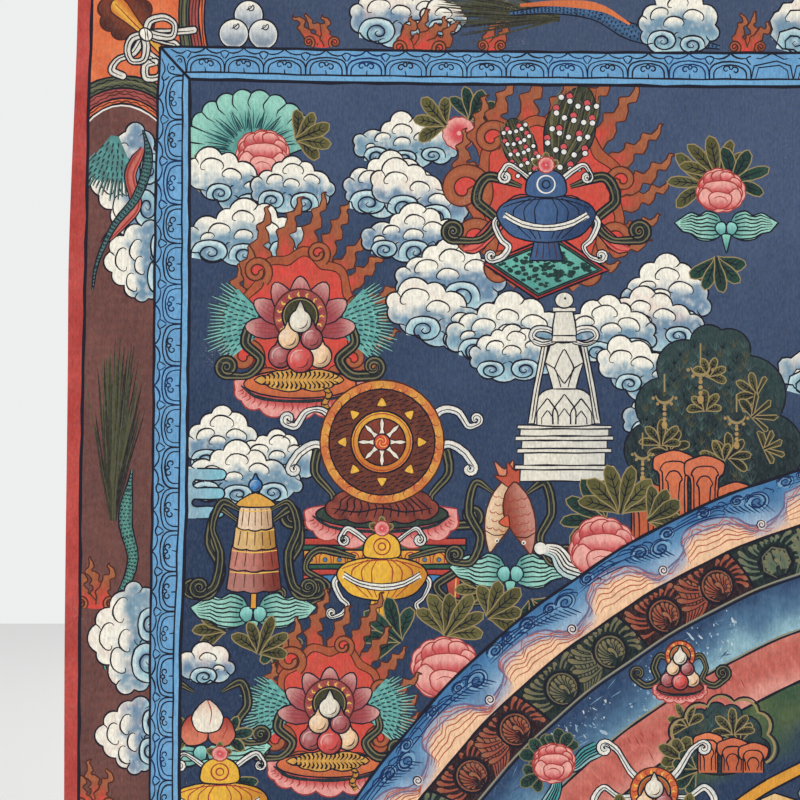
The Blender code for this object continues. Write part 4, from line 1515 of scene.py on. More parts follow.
def feathers(place, long=50, count=7, spread=60, seed=1, colour=c(122, 190, 178)):
    """A spread wing-like fan: sea green with rows of short dark dashes, and ragged tips."""
    rnd = np.random.default_rng(seed)
    dark = c(38, 62, 64)
    many = 3 * count
    rays = np.radians(-90 + spread * (np.arange(many + 1) / many - 0.5) * 1.3)
    for i, g in enumerate(rays):
        a, e = long * 0.5, long * rnd.uniform(0.98, 1.16) * (1 - 0.12 * abs(i / many - 0.5))
        for o, w, k in ((0.0, 3.0, dark), (0.35, 1.6, mix(colour, WHITE, 0.15 * np.ones(1))[0])):
            if near(place) or i % 3 == 0:
                gg = g + o * 0.05
                brush(place, [(a * math.cos(gg), a * math.sin(gg)), ((a + e) / 2 * math.cos(gg + 0.02), (a + e) / 2 * math.sin(gg + 0.02)), (e * math.cos(gg + 0.05), e * math.sin(gg + 0.05))], w, colour=k, taper=(0.9, 0.3), shake=0)
    hem = [(long * rnd.uniform(0.78, 0.86) * math.cos(g), long * rnd.uniform(0.78, 0.86) * math.sin(g)) for g in rays]
    root = [(long * 0.12 * math.cos(rays[-1]), long * 0.12 * math.sin(rays[-1])), (long * 0.12 * math.cos(rays[0]), long * 0.12 * math.sin(rays[0]))]
    rim = np.array(hem + root, float)
    wash(place, rim, lambda q: mix(c(94, 160, 156), colour, 0.5 + 0.5 * ripple(q, 9, seed)), 5)
    if near(place):
        for k in range(7):
            r = long * (0.22 + 0.092 * k)
            width = math.radians(spread * 1.22)
            m = max(2, int(r * width / 4.4))
            for i in range(m):
                g = math.radians(-90) + width * ((i + 0.5 + 0.5 * (k % 2)) / m - 0.5)
                if abs(g + math.pi / 2) > width / 2:
                    continue
                brush(place, [(r * math.cos(g), r * math.sin(g)), ((r + 2.6) * math.cos(g + 0.01), (r + 2.6) * math.sin(g + 0.01)), ((r + 5.0) * math.cos(g + 0.02), (r + 5.0) * math.sin(g + 0.02))], 1.7, colour=dark, taper=(0.9, 0.3), shake=0)


def stripes(place, wide=84, high=20):
    """A ragged yellow pelt with dark stripes, flat on a seat, its tail over the edge."""
    w, h = wide / 2, high / 2
    tail = curve([(w * 0.5, h * 0.4), (w * 0.66, h * 1.4), (w * 0.56, h * 2.4), (w * 0.68, h * 3.2)], step=2)
    band(place, tail, 3.4, lambda u, v: mix(c(222, 168, 82), c(196, 140, 66), np.abs(v)), columns=(-1, 1))
    brush(place, tail + (3.2, 0), 1.2, shake=0)
    brush(place, tail - (3.2, 0), 1.2, shake=0)
    rim = lobes([(w * k * math.cos(a), h * k * math.sin(a), 0.12) for a, k in ((0.0, 1.0), (0.5, 0.9), (0.95, 1.05), (1.5, 0.85), (2.1, 1.05), (2.6, 0.9), (3.14, 1.05), (3.7, 0.88), (4.3, 1.0), (4.9, 0.85), (5.6, 1.0))])
    wash(place, rim, lambda q: mix(c(228, 176, 88), c(200, 144, 70), 0.5 + 0.5 * ripple(q, 9, 4)), 5)
    for x in np.linspace(-0.86, 0.86, 17 if near(place) else 5):
        y = h * math.sqrt(1 - x * x) * 0.9
        for e in (-1, 1):
            brush(place, curve([(w * x, e * y), (w * x * 0.96 + 1.5, e * y * 0.6), (w * x * 0.9 - 1, e * y * 0.12)]), 1.9, taper=(1, 0.3), shake=0)
    for i in range(5 if near(place) else 2):
        b = tail[int(len(tail) * (0.15 + 0.18 * i))]
        brush(place, [b - (3, 0.5), b + (0, 1), b + (3, 0)], 1.8, taper=(0.5, 0.5), shake=0)
    brush(place, rim, 1.4, closed=True)


def chorten(place, high=190, wide=104):
    """A white shrine: steps, a petalled foot, a slender dome and a ringed spire."""
    k = wide / 104.0
    p = place.then(size=k)
    h = high / k
    pale = c(238, 231, 214)
    white = lambda q: mix(pale, c(206, 206, 198), ramp(-30, 52, q[:, 0]) * 0.6 + 0.10 * ripple(q, 9, 5))
    y = 0.0
    for rise, half in ((13, 50), (5, 56), (14, 46), (5, 53), (9, 48), (5, 55), (8, 50), (4, 53)):
        rect = np.array([(-half, y - rise), (half, y - rise), (half, y), (-half, y)], float)
        wash(p, cut_up(rect, 14), white, 9)
        brush(p, cut_up(np.vstack([rect, rect[:1]]), 14, closed=False), 1.5, taper=(1, 1), shake=0.3)
        y -= rise
    # a petalled box on the steps
    shape(p, [(-30, y), (-34, y - 12), (-31, y - 30), (-20, y - 40), (0, y - 42), (20, y - 40), (31, y - 30), (34, y - 12), (30, y)], white, step=8)
    for x, w, g in ((-19, 12, 30), (19, 12, 30), (0, 13, 35)):
        for e in (1.0, 0.55):
            stroked(p, [(x - w * e, y - 1), (x - w * 0.95 * e, y - g * 0.5 * e), (x - w * 0.35 * e, y - g * 0.82 * e), (x, y - g * e), (x + w * 0.35 * e, y - g * 0.82 * e), (x + w * 0.95 * e, y - g * 0.5 * e), (x + w * e, y - 1)], 1.5 if e == 1.0 else 1.2)
    foot, y = y, y - 41
    body = (y + h) * 0.47
    # leaning posts, with the ground between them and the body
    for e in (-1, 1):
        post = [(e * 41, foot - 2), (e * 35, y), (e * 24, y - body), (e * 17, y - body), (e * 28, y), (e * 34, foot - 2)]
        shape(p, cut_up(np.array(post, float), 16), white, step=8, smooth=False, width=1.5)
        stroked(p, [(e * 37, foot - 6), (e * 31, y), (e * 21, y - body + 2)], 1.1)
    # the body, of pointed leaves
    shape(p, [(-13, y), (-18, y - body * 0.34), (-22, y - body * 0.54), (-15, y - body * 0.96), (15, y - body * 0.96), (22, y - body * 0.54), (18, y - body * 0.34), (13, y)], white, step=8, smooth=False)
    stroked(p, [(-22, y - body * 0.54), (-10, y - body * 0.40), (-4, y - 2)], 1.4)
    stroked(p, [(22, y - body * 0.54), (10, y - body * 0.40), (4, y - 2)], 1.4)
    stroked(p, [(-11, y - body * 0.42), (-5, y - body * 0.66), (0, y - body * 0.80), (5, y - body * 0.66), (11, y - body * 0.42), (5, y - body * 0.24), (0, y - body * 0.12), (-5, y - body * 0.24), (-11, y - body * 0.42)], 1.4)
    top = y - body
    for e in (False, True):
        scarf(p.then(mirror=e), [(6, top - 4), (18, top - 12), (32, top - 12), (36, top - 3), (24, top + 3), (8, top + 1)], 7, white=True)
        scarf(p.then(mirror=e), [(8, top + 1), (24, top + 5), (36, top + 1)], 5, white=True)
    shape(p, [(-12, top), (-11, top - 28), (-7, top - 32), (7, top - 32), (11, top - 28), (12, top)], white, width=1.6)
    shape(p, [(-14, top + 2), (-13, top - 5), (13, top - 5), (14, top + 2)], white, width=1.4, smooth=False)
    shape(p, [(-13, top - 32), (-13, top - 37), (13, top - 37), (13, top - 32)], white, width=1.4, smooth=False)
    shape(p, oval(0, top - 45, 10.5, 9.0), white, width=1.5)
    wash(p, oval(1, top - 47, 1.6), c(40, 40, 44))


def urn(place, high=84, blue=False):
    """A broad urn on a foot, gold or blue, tied round with white cloth."""
    p = place.then(size=high / 84.0)
    for m in (False, True):
        scarf(p.then(mirror=m), [(18, -30), (34, -22), (52, -8), (46, 10), (38, 18), (44, 28), (54, 32)], 6.5, white=True, coils=(None, (5, 1.1, -1)))
        scarf(p.then(mirror=m), [(8, -44), (24, -58), (38, -66), (46, -56)], 6.0, white=True, coils=(None, (5, 1.3, 1)))
    light, dark, seam = (c(70, 100, 142), c(44, 66, 104), "ink") if blue else (c(240, 186, 66), c(206, 138, 46), "ink_red")
    gold = lambda q: mix(light, dark, ramp(-10, 40, q[:, 0] + 0.4 * q[:, 1]) + 0.1 * ripple(q, 8, 3))
    shape(p, [(-11, 8), (-17, 32), (17, 32), (11, 8)], gold, smooth=False, step=8)
    for x in (-9, -3, 3, 9):
        stroked(p, [(x * 0.8, 12), (x * 1.2, 30)], 1.2, "ink_brown")
    shape(p, [(-14, -34), (-40, -28), (-50, -14), (-36, 6), (-12, 13), (12, 13), (36, 6), (50, -14), (40, -28), (14, -34)], gold, step=6)
    shape(p, [(-17, -34), (-20, -48), (-13, -58), (0, -62), (13, -58), (20, -48), (17, -34)], gold, step=6)
    brush(p, oval(0, -46, 9), 1.4, "line_white" if blue else seam, closed=True)
    brush(p, oval(0, -46, 4), 1.3, seam, closed=True)
    for x in (-34, -23, -12, 12, 23, 34):
        stroked(p, [(x * 0.45, -32), (x * 0.96, -20), (x * 0.86, -4), (x * 0.45, 10)], 1.2, seam)
    stroked(p, [(-44, -22), (-24, -29), (0, -31), (24, -29), (44, -22)], 1.2, seam)
    low = curve([(-42, -15), (-24, -5), (0, -1), (24, -5), (42, -15)])
    band(p, low, 3.6, lambda u, v: np.tile(c(240, 236, 224), (len(u), 1)), columns=(-1, 1))
    for o in (-3.6, 0, 3.6):
        brush(p, low + (0, o), 1.15, taper=(0.9, 0.9))
    palm(p.then(0, -60, turn=0), 3, 20, 8, 80, OLIVE, seed=5)
    blossom(p.then(0, -66), 8)


def garland(place, points, drop=9):
    """Swags of tan beads between the points."""
    for a, b in zip(points, points[1:]):
        a, b = np.array(a, float), np.array(b, float)
        k = np.linspace(0, 1, 9)
        p = a + np.outer(k, b - a) + np.outer(np.sin(k * math.pi) * drop, [0, 1])
        brush(place, p, 2.2, "line_tan", taper=(0.9, 0.9))
        for x, y in p[1:-1:2]:
            wash(place, oval(x, y + 1.2, 1.9, step=1.0), YELLOW)


def mat(place, wide=110, high=60):
    """A square cloth seen from a little above: teal with dark spots, in a red border."""
    w, h = wide / 2, high / 2
    corners = np.array([(-w, -h * 0.1), (w * 0.15, -h), (w, h * 0.1), (-w * 0.15, h)], float)
    shape(place, corners, shaded(c(206, 70, 62), c(176, 52, 52), -h, h), smooth=False, width=2.0, step=8)
    shape(place, corners * 0.90, c(60, 84, 70), smooth=False, width=1.2)
    shape(place, corners * 0.82, shaded(c(120, 196, 176), c(84, 156, 146), -h, h), smooth=False, width=1.4, step=8)
    rnd = np.random.default_rng(5)
    for _ in range(int(wide * high / 52)):
        a, b = rnd.uniform(0.04, 0.96, 2)
        q = (corners[0] * (1 - a) + corners[1] * a) * (1 - b) + (corners[3] * (1 - a) + corners[2] * a) * b
        q = q * 0.80
        s = rnd.uniform(1.4, 2.6)
        wash(place, q + np.stack([s * 1.3 * np.cos(np.arange(6) * 1.05) * rnd.uniform(0.7, 1.2, 6), s * 0.8 * np.sin(np.arange(6) * 1.05) * rnd.uniform(0.7, 1.2, 6)], 1), c(34, 60, 56))


def bank(place, rows, seed=1, warm=0.0):
    """Clouds one before another. Each row: x, y, kind, size, mirrored."""
    for i, (x, y, kind, size, flip) in enumerate(rows):
        cloud(place.then(x, y, size=size, mirror=flip), kind, seed * 13 + i, warm)


def nosegay(place, high=84, wide=40, seed=1):
    """A tall dark-olive plume hung with white beads and small red petals."""
    rnd = np.random.default_rng(seed)
    rim = curve([(-6, 4), (-wide * 0.42, -high * 0.25), (-wide * 0.5, -high * 0.6), (-wide * 0.2, -high * 0.95), (wide * 0.12, -high * 1.04), (wide * 0.42, -high * 0.82), (wide * 0.52, -high * 0.45), (wide * 0.3, -high * 0.12), (6, 4)], step=3)
    wash(place, rim, lambda q: mix(c(74, 72, 50), c(46, 50, 44), 0.5 + 0.5 * ripple(q, 9, seed)), 6)
    brush(place, rim, 1.3, taper=(0.6, 0.6))
    for i in range(46 if near(place) else 10):
        o = rnd.uniform(-0.5, 0.5)
        a, b = rnd.uniform(0, 0.55), rnd.uniform(0.7, 1.06)
        k = np.linspace(a, b, 5)
        brush(place, np.stack([wide * 1.1 * o * np.sin(k * 2.2), -high * k], 1), 1.3, colour=(c(112, 108, 74), c(36, 42, 42), c(92, 88, 60))[i % 3], taper=(0.6, 0.3))
    for i in range(5):
        y = -high * (0.14 + 0.19 * i)
        for j in range(5):
            x = (j - 2) * wide * 0.19 + rnd.uniform(-1, 1)
            yy = y + 3.4 * (1 - ((j - 2) / 2.0) ** 2) + rnd.uniform(-1, 1)
            if (i + j) % 2:
                shape(place, [(x - 3.4, yy - 1), (x, yy - 4.2), (x + 3.4, yy - 1), (x, yy + 3.4)], c(214, 88, 92), width=0.9, step=None)
            wash(place, oval(x + 1.5, yy + 3.5, 2.7, step=1.5), c(240, 238, 232))
            brush(place, oval(x + 1.5, yy + 3.5, 2.8, step=1.6), 1.0, closed=True)


# --- the frame of the picture -----------------------------------------------------------------
BAND_OUT_X, BAND_OUT_Y = 154.3, 49.0  # the middle of the blue band's outer line
BAND_ZONE, BAND_IN = 26.0, 33.4  # from there in: its inner line, and its inner edge's line
RULE_X, RULE_Y = 84.0, -21.0  # the ink line inside the red strip


def rect(x0, y0, x1, y1, colour, step=None):
    wash(HERE, cut_up(np.array([(x0, y0), (x1, y0), (x1, y1), (x0, y1)], float), 20.0), colour, step)


def line(x0, y0, x1, y1, width=2.0, ink="ink", wobble=0.35):
    p = cut_up(np.array([(x0, y0), (x1, y1)], float), 24.0, closed=False)
    brush(HERE, p, width, ink, taper=(1, 1), shake=wobble)


def ruled(x0, y0, x1, y1, width=2.0, ink="ink"):
    """A rectangle of lines."""
    line(x0, y0, x1, y0, width, ink)
    line(x1, y0, x1, y1, width, ink)
    line(x1, y1, x0, y1, width, ink)
    line(x0, y1, x0, y0, width, ink)


FAR_X, FAR_Y = LEFT_X + RIGHT_X, TOP_Y + FOOT_Y  # add a place's negative to mirror it


def band_petals(place, long, fine=True, seed=1):
    """The carved petals along the blue band: place has u along the band and v in from its outer line."""
    rnd = np.random.default_rng(seed)
    count = int(round(long / 40.6))
    steps = rnd.uniform(0.93, 1.07, count)
    at = np.concatenate([[0], np.cumsum(steps)]) / steps.sum() * long
    for i in range(count):
        a, b = at[i], at[i + 1]
        m, h = (a + b) / 2, (b - a) / 2
        k = h / 20.0
        q = place.then(m, 0)
        tall = rnd.uniform(0.95, 1.06)
        ink = "ink_blue" if rnd.random() < 0.25 else "ink"
        w = rnd.uniform(1.35, 1.75)
        outer = [(-20 * k, 26), (-19.6 * k, 18), (-17.2 * k, 12.6 * tall), (-11.5 * k, 9.4 * tall), (0, 8.0 * tall), (11.5 * k, 9.4 * tall), (17.2 * k, 12.6 * tall), (19.6 * k, 18), (20 * k, 26)]
        brush(q, curve(outer, step=3.2), w, ink, taper=(0.9, 0.9))
        inner = [(-15.8 * k, 26), (-15.6 * k, 20), (-12.8 * k, 14.8 * tall), (-7 * k, 12.0 * tall), (0, 11.2 * tall), (7 * k, 12.0 * tall), (12.8 * k, 14.8 * tall), (15.6 * k, 20), (15.8 * k, 26)]
        brush(q, curve(inner, step=3.2), w * 0.95, ink, taper=(0.9, 0.9))
        # the ogee that runs out to a point on the outer line
        for s in (-1, 1):
            brush(q, curve([(0, 0.4), (s * 2.2 * k, 2.6), (s * 6 * k, 4.9), (s * 11 * k, 6.0), (s * 15.4 * k, 5.4)], step=2.6), w * 1.05, ink, taper=(1, 0.7))
            # bud between neighbours
            brush(q, curve([(s * 15.4 * k, 5.4), (s * 17.6 * k, 3.9), (s * 20 * k, 3.3)], step=1.6), w, ink, taper=(0.9, 0.9), shake=0)
            brush(q, curve([(s * 15.6 * k, 5.6), (s * 17.0 * k, 8.4), (s * 19.6 * k, 11.6)], step=1.8), w * 0.9, ink, taper=(0.8, 0.8), shake=0)
        if loose(q(np.array([[0.0, 10.0]]))) == 1:
            # three-part curl and dash in the arch's mouth
            t = q.then(rnd.uniform(-1, 1), 16.2, turn=rnd.uniform(-12, 12))
            brush(t, oval(0, -1.9, 2.0, step=0.9), 1.2, ink, closed=True)
            for s in (-1, 1):
                brush(t, coil(s * 4.6, 0.6, 4.0, 180 if s > 0 else 0, 0.98 * s, 0.32, step=1.3), 1.5, ink, taper=(0.9, 0.7), shake=0)
            brush(q, [(0.4, 26), (rnd.uniform(-1, 1), 20.8)], 1.6, ink, taper=(1, 0.6), shake=0)


def blue_band():
    def tint(q):
        x, y = q[:, 0], q[:, 1]
        t = 0.5 + 0.22 * ripple(q, 60, 5) + 0.16 * ripple(q, 15, 6)
        return mix(c(102, 156, 200), c(120, 177, 220), t)

    o, z, n = 0.0, BAND_ZONE, BAND_IN
    x0, y0, x1, y1 = BAND_OUT_X, BAND_OUT_Y, FAR_X - BAND_OUT_X, FAR_Y - BAND_OUT_Y
    k = n
    rect(x0, y0, x1, y0 + k, tint, 15)
    rect(x0, y1 - k, x1, y1, tint, 26)
    rect(x0, y0 + k, x0 + k, y1 - k, tint, 15)
    rect(x1 - k, y0 + k, x1, y1 - k, tint, 26)
    pale = lambda q: tint(q) * 0.55 + c(126, 184, 224) * 0.45
    for a, b in ((z, n),):
        rect(x0 + a, y0 + a, x1 - a, y0 + b, pale, 14)
        rect(x0 + a, y1 - b, x1 - a, y1 - a, pale, 26)
        rect(x0 + a, y0 + b, x0 + b, y1 - b, pale, 14)
        rect(x1 - b, y0 + b, x1 - a, y1 - b, pale, 26)
    c0 = z + 4.0
    band_petals(Place(x0 + c0, y0), x1 - x0 - 2 * c0, True, 3)
    left = Place(x0, y0 + c0)
    left.m = np.array([[0.0, 1.0], [1.0, 0.0]])
    left.inv = np.linalg.inv(left.m)
    band_petals(left, y1 - y0 - 2 * c0, True, 4)
    right = Place(x1, y0 + c0)
    right.m = np.array([[0.0, -1.0], [1.0, 0.0]])
    right.inv = np.linalg.inv(right.m)
    band_petals(right, y1 - y0 - 2 * c0, True, 5)
    band_petals(Place(x0 + c0, y1, tall=-1.0), x1 - x0 - 2 * c0, True, 6)
    ruled(x0, y0, x1, y1, 2.7, "ink")
    ruled(x0 + z, y0 + z, x1 - z, y1 - z, 1.9, "ink")
    ruled(x0 + n, y0 + n, x1 - n, y1 - n, 3.3, "ink")
    for cx, cy, sx, sy in ((x0, y0, 1, 1), (x1, y0, -1, 1), (x0, y1, 1, -1), (x1, y1, -1, -1)):
        p = Place(cx, cy)
        p.m = np.array([[sx, 0.0], [0.0, sy]])
        p.inv = np.linalg.inv(p.m)
        brush(p, [(0, 0), (16, 15.6), (n, n)], 3.0, "ink", taper=(1, 1))
        # half petals that die against the mitre
        for swap in (False, True):
            f = (lambda pts: [(b, a) for a, b in pts]) if swap else (lambda pts: pts)
            brush(p, curve(f([(12, 2.2), (19, 5.6), (25, 6.2), (29.6, 3.6)]), step=2.4), 1.5, "ink", taper=(0.7, 0.8))
            brush(p, curve(f([(17, 10), (21, 8.6), (26, 10.4), (28.4, 16), (29, 25.5)]), step=2.4), 1.5, "ink", taper=(0.7, 0.9))
            brush(p, coil(*f([(22.5, 14.5)])[0], 2.9, 160, 1.0, 0.4, step=1.3), 1.3, "ink", shake=0)


def strip_grounds():
    """The strips between the red edge and the blue band: maroon at the sides, dark blue above and below."""
    x1, y1 = FAR_X - BAND_OUT_X, FAR_Y - BAND_OUT_Y

    def maroon(q):
        # upright brush marks
        t = 0.5 + 0.13 * ripple(q * (1, 0.25), 10, 21) + 0.12 * ripple(q * (1, 0.5), 60, 22)
        t += 0.10 * np.sin(q[:, 0] * 1.1 + 2.0 * np.sin(q[:, 1] / 60.0))
        return mix(c(92, 59, 56), c(134, 85, 77), t)

    rect(RULE_X, RULE_Y, BAND_OUT_X, FAR_Y - RULE_Y, maroon, 6)
    rect(x1, RULE_Y, FAR_X - RULE_X, FAR_Y - RULE_Y, maroon, 16)
    rect(BAND_OUT_X, RULE_Y, x1, BAND_OUT_Y, lambda q: ground(q) * 0.94, 16)
    rect(BAND_OUT_X, y1, x1, FAR_Y - RULE_Y, lambda q: ground(q) * 0.94, 24)


def red_edge():
    def tint(q):
        t = 0.5 + 0.3 * ripple(q, 70, 31) + 0.2 * ripple(q, 14, 32)
        return mix(c(176, 62, 56), c(204, 84, 76), t)

    x1, y1 = FAR_X - RULE_X, FAR_Y - RULE_Y
    rect(LEFT_X - 2, TOP_Y - 2, RULE_X, FOOT_Y + 3, tint, 7)
    rect(x1, TOP_Y - 2, RIGHT_X + 2, FOOT_Y + 3, tint, 14)
    rect(RULE_X, TOP_Y - 2, x1, RULE_Y, tint, 10)
    rect(RULE_X, y1, x1, FOOT_Y + 3, tint, 14)
    ruled(RULE_X, RULE_Y, x1, y1, 3.2, "ink")


def cornered(ix, iy):
    """A place in one of the four corners, with x and y running in from the corner of the strips."""
    x = RULE_X if ix == 0 else FAR_X - RULE_X
    y = RULE_Y if iy == 0 else FAR_Y - RULE_Y
    p = Place(x, y)
    p.m = np.array([[1.0 if ix == 0 else -1.0, 0.0], [0.0, 1.0 if iy == 0 else -1.0]])
    p.inv = np.linalg.inv(p.m)
    return p


ARCH_BANDS = (
    # from   to     colour            ink
    (0.0, 13.5, c(88, 94, 70)),
    (13.5, 25.0, c(168, 82, 78)),
    (25.0, 31.5, c(222, 112, 72)),
)


def corner_square(p):
    """The orange corner, with arched bands where the strips begin, and a knotted ribbon round a jewel."""
    wide, tall = BAND_OUT_X - RULE_X, BAND_OUT_Y - RULE_Y

    def orange(q):
        t = 0.5 + 0.3 * ripple(q, 26, 41) + 0.2 * ripple(q, 9, 42)
        return mix(c(220, 104, 62), c(238, 132, 84), t)

    # across the side strip: bands that bow up towards the corner
    top = tall + 40.0

    def bow(y):
        x = np.linspace(-1, wide + 1, 24)
        lift = 9.5 + 0.24 * (y - top)
        return np.stack([x, y + 0.10 * (y - top) - lift * np.sin((x + 1) / (wide + 2) * math.pi) ** 0.8], 1)

    def lean(x, lift=4.0, to=None):
        """A line down the strip above, a little bowed towards the corner's inside."""
        y = np.linspace(-1, (tall if to is None else to) + 1, 20)
        return np.stack([x - lift * np.sin(y / tall * math.pi), y], 1)

    wash(p, np.vstack([[(0, 0)], [(wide, 0)], bow(top)[::-1]]), orange, 7)
    wash(p, np.array([(wide - 1, 0), (wide + 26, 0), (wide + 26, tall), (wide - 1, tall)], float), orange, 8)
    for lo, hi, colour in ARCH_BANDS:
        tint = lambda q, k=colour: mix(k * 0.93, k * 1.07, 0.5 + 0.5 * ripple(q, 11, 43))
        a, b = bow(top + lo), bow(top + hi)
        wash(p, np.vstack([a, b[::-1]]), tint, 6)
        a, b = lean(wide + 24 + lo * 0.86), lean(wide + 24 + hi * 0.86)
        wash(p, np.vstack([a, b[::-1]]), tint, 6)
    for edge in (0.0, 13.5, 25.0, 31.5):
        brush(p, bow(top + edge), 1.9, "ink", taper=(1, 1))
        brush(p, lean(wide + 24 + edge * 0.86), 1.8, "ink", taper=(1, 1))
    for edge in (4.0, 7.0, 10.4, 17.2, 21.2, 28.4):
        for f in (bow(top + edge), lean(wide + 24 + edge * 0.86)):
            n = np.arange(len(f))
            f = f + np.stack([0 * n, 0.8 * np.sin(n * 2.1 + edge)], 1)
            brush(p, f, 1.25, "ink_brown" if edge > 15 else "line_olive" if edge == 7.0 else "ink", taper=(0.9, 0.9), shake=0.5)
    brush(p, bow(top + 33.6), 1.5, "line_white", taper=(0.8, 0.8))


def corner_knot(p):
    """A long dark pod with a bright core, tied with a white cord."""
    q = p.then(52, 54, turn=45)
    pod = lobes([(-52, -7, 0.25), (-40, -19, 0.30), (-22, -23, 0.28), (-6, -16, 0.2), (6, -9, 0.1), (6, 9, 0.2), (-6, 16, 0.28), (-22, 23, 0.30), (-40, 19, 0.25), (-52, 7, 0.3)])
    wash(q, pod, lambda s: mix(c(126, 62, 44), c(82, 44, 38), ramp(8, 24, np.abs(s[:, 1])) + 0.2 * ripple(s, 6, 44)), 5)
    brush(q, pod, 2.0, "ink_brown", closed=True)
    core = curve([(-44, 0), (-36, -9), (-12, -5), (12, -3.5), (44, -4), (44, 4), (12, 3.5), (-12, 5), (-36, 9)], closed=True)
    wash(q, core, lambda s: mix(YELLOW, c(214, 116, 50), ramp(0, 8, np.abs(s[:, 1] - 1.5))), 4)
    brush(q, core, 1.5, "ink_brown", closed=True)
    brush(q, [(-40, 0.5), (-10, 0.5), (18, 0)], 1.4, "ink_red")
    for s in (-1, 1):
        g = p.then(52, 54, turn=45)
        if s < 0:
            loops = (
                [(4, 0), (-2, -13), (6, -26), (19, -29), (26, -19), (17, -9), (6, -3)],
                [(5, -2), (16, -14), (30, -30), (38, -40)],
                [(5, -1), (22, -8), (34, -16), (42, -12), (34, -4)],
            )
        else:
            loops = (
                [(4, 0), (-2, 13), (4, 25), (15, 29), (22, 20), (15, 9), (6, 3)],
                [(5, 2), (20, 12), (38, 10), (46, 20), (38, 30), (28, 22), (32, 13)],
                [(4, 2), (10, 22), (4, 38), (8, 50), (20, 46)],
            )
        for path in loops[::-1]:
            cord(g, path, 8.2)
    wash(q, oval(5, 0, 7.5, 6), CREAM)
    brush(q, oval(5, 0, 7.5, 6), 1.6, closed=True)
    brush(q, [(0, -3), (5, 0), (9, 4)], 1.3)
    brush(q, [(2, -5), (7, -1), (11, 2)], 1.1)


def cord(place, path, wide=9.0):
    """A white cord with a dark edge and a line down its middle."""
    p = curve(path, step=2.0)
    u = np.linspace(0, 1, len(p))
    half = wide / 2 * (0.9 + 0.1 * np.sin(u * 9))
    band(place, p, half, lambda a, v: mix(c(238, 230, 216), c(206, 204, 196), np.abs(v) ** 2), columns=(-1, -0.4, 0.4, 1))
    t = np.gradient(p, axis=0)
    t /= np.maximum(np.hypot(*t.T), 1e-9)[:, None]
    n = np.stack([-t[:, 1], t[:, 0]], 1)
    for s in (-1, 1):
        brush(place, p + n * (s * half)[:, None], 1.7, "ink", taper=(0.9, 0.9), shake=0)
    brush(place, p + n * (half * 0.12)[:, None], 1.3, "ink", taper=(0.5, 0.5), shake=0.3)
    end = p[-1] + t[-1] * 0
    a = math.degrees(math.atan2(t[-1][1], t[-1][0]))
    cap_line = arc(end[0], end[1], half[-1], a - 90, a + 90, step=1.2)
    wash(place, np.vstack([cap_line, [end]]), c(236, 228, 214))
    brush(place, cap_line, 1.6, "ink", taper=(1, 1), shake=0)


# --- the great wheel --------------------------------------------------------------------------
class Bent:
    """A strip bent round the great wheel: x runs clockwise along it, y in towards the middle."""

    def __init__(self, radius, start=math.pi):
        self.r, self.start, self.size = radius, start, 1.0

    def __call__(self, p):
        p = np.asarray(p, float)
        a, rr = self.start + p[:, 0] / self.r, self.r - p[:, 1]
        return np.stack([WHEEL[0] + rr * np.cos(a), WHEEL[1] + rr * np.sin(a)], 1)

    def back(self, g):
        d = np.asarray(g) - WHEEL
        a = (np.arctan2(d[:, 1], d[:, 0]) - self.start - self.mid + math.pi) % (2 * math.pi) - math.pi + self.mid
        return np.stack([a * self.r, self.r - np.hypot(d[:, 0], d[:, 1])], 1)

    mid = 0.0

    def around(self, u):
        """The same strip, with its seam moved to the far side from u."""
        made = Bent(self.r, self.start)
        made.mid = u / self.r
        return made

    def at(self, u, v, size=1.0, turn=0.0, mirror=False):
        """A flat place on the strip, upright where the wheel's outside is up."""
        a = self.start + u / self.r
        made = Place()
        inner = Place(0, 0, size, turn, mirror)
        made.m = np.array([[-math.sin(a), -math.cos(a)], [math.cos(a), -math.sin(a)]]) @ inner.m
        made.o = self(np.array([(u, v)], float))[0]
        made.size = size
        made.inv = np.linalg.inv(made.m)
        return made


def ring(outer, inner, colour, step=None, parts=24):
    """A ring of paint. colour takes radius and angle."""
    for i in range(parts):
        a = np.linspace(i, i + 1, 12) * 2 * math.pi / parts
        o = np.stack([WHEEL[0] + outer * np.cos(a), WHEEL[1] + outer * np.sin(a)], 1)
        n = np.stack([WHEEL[0] + inner * np.cos(a), WHEEL[1] + inner * np.sin(a)], 1)
        wash(HERE, np.vstack([o, n[::-1]]), colour, step)


def hoop(radius, width, ink):
    for i in range(12):
        a = np.radians(np.arange(i * 30, i * 30 + 30.1, 1.0))
        wobble = radius + 0.5 * np.sin(a * 47) + 0.4 * np.sin(a * 21)
        brush(HERE, np.stack([WHEEL[0] + wobble * np.cos(a), WHEEL[1] + wobble * np.sin(a)], 1), width, ink, taper=(1, 1), shake=0)


def club(place, a, b, bend, wide, colour, head=None, under=None):
    """A small leaf with a thin tail at a and a round head at b."""
    a, b = np.asarray(a, float), np.asarray(b, float)
    d = b - a
    n = np.array([-d[1], d[0]])
    here = loose(place(np.array([a]))) == 1
    k = np.linspace(0, 1, 7) if here else np.array([0, 0.45, 0.83, 1])
    path = a + np.outer(k, d) + np.outer(np.sin(k * math.pi) * bend, n)
    half = wide * 0.5 * (np.array([0.28, 0.36, 0.44, 0.54, 0.78, 1.0, 0.5]) if here else np.array([0.28, 0.5, 1.0, 0.5]))
    top = mix(colour, TAN, 0.42 * np.ones(1))[0] if head is None else head
    if under is not None and here:
        longer = np.vstack([path, path[-1] + (path[-1] - path[-2]) * 0.3])
        band(place, longer, np.append(half, 0.3) + 1.15, lambda u, v: np.tile(under, (len(u), 1)), columns=(-1, 1), thin=False)
    band(place, path, half, lambda u, v: mix(colour, top, ramp(0.55, 1.0, u)), columns=(-1, 0, 1) if here else (-1, 1), thin=False)


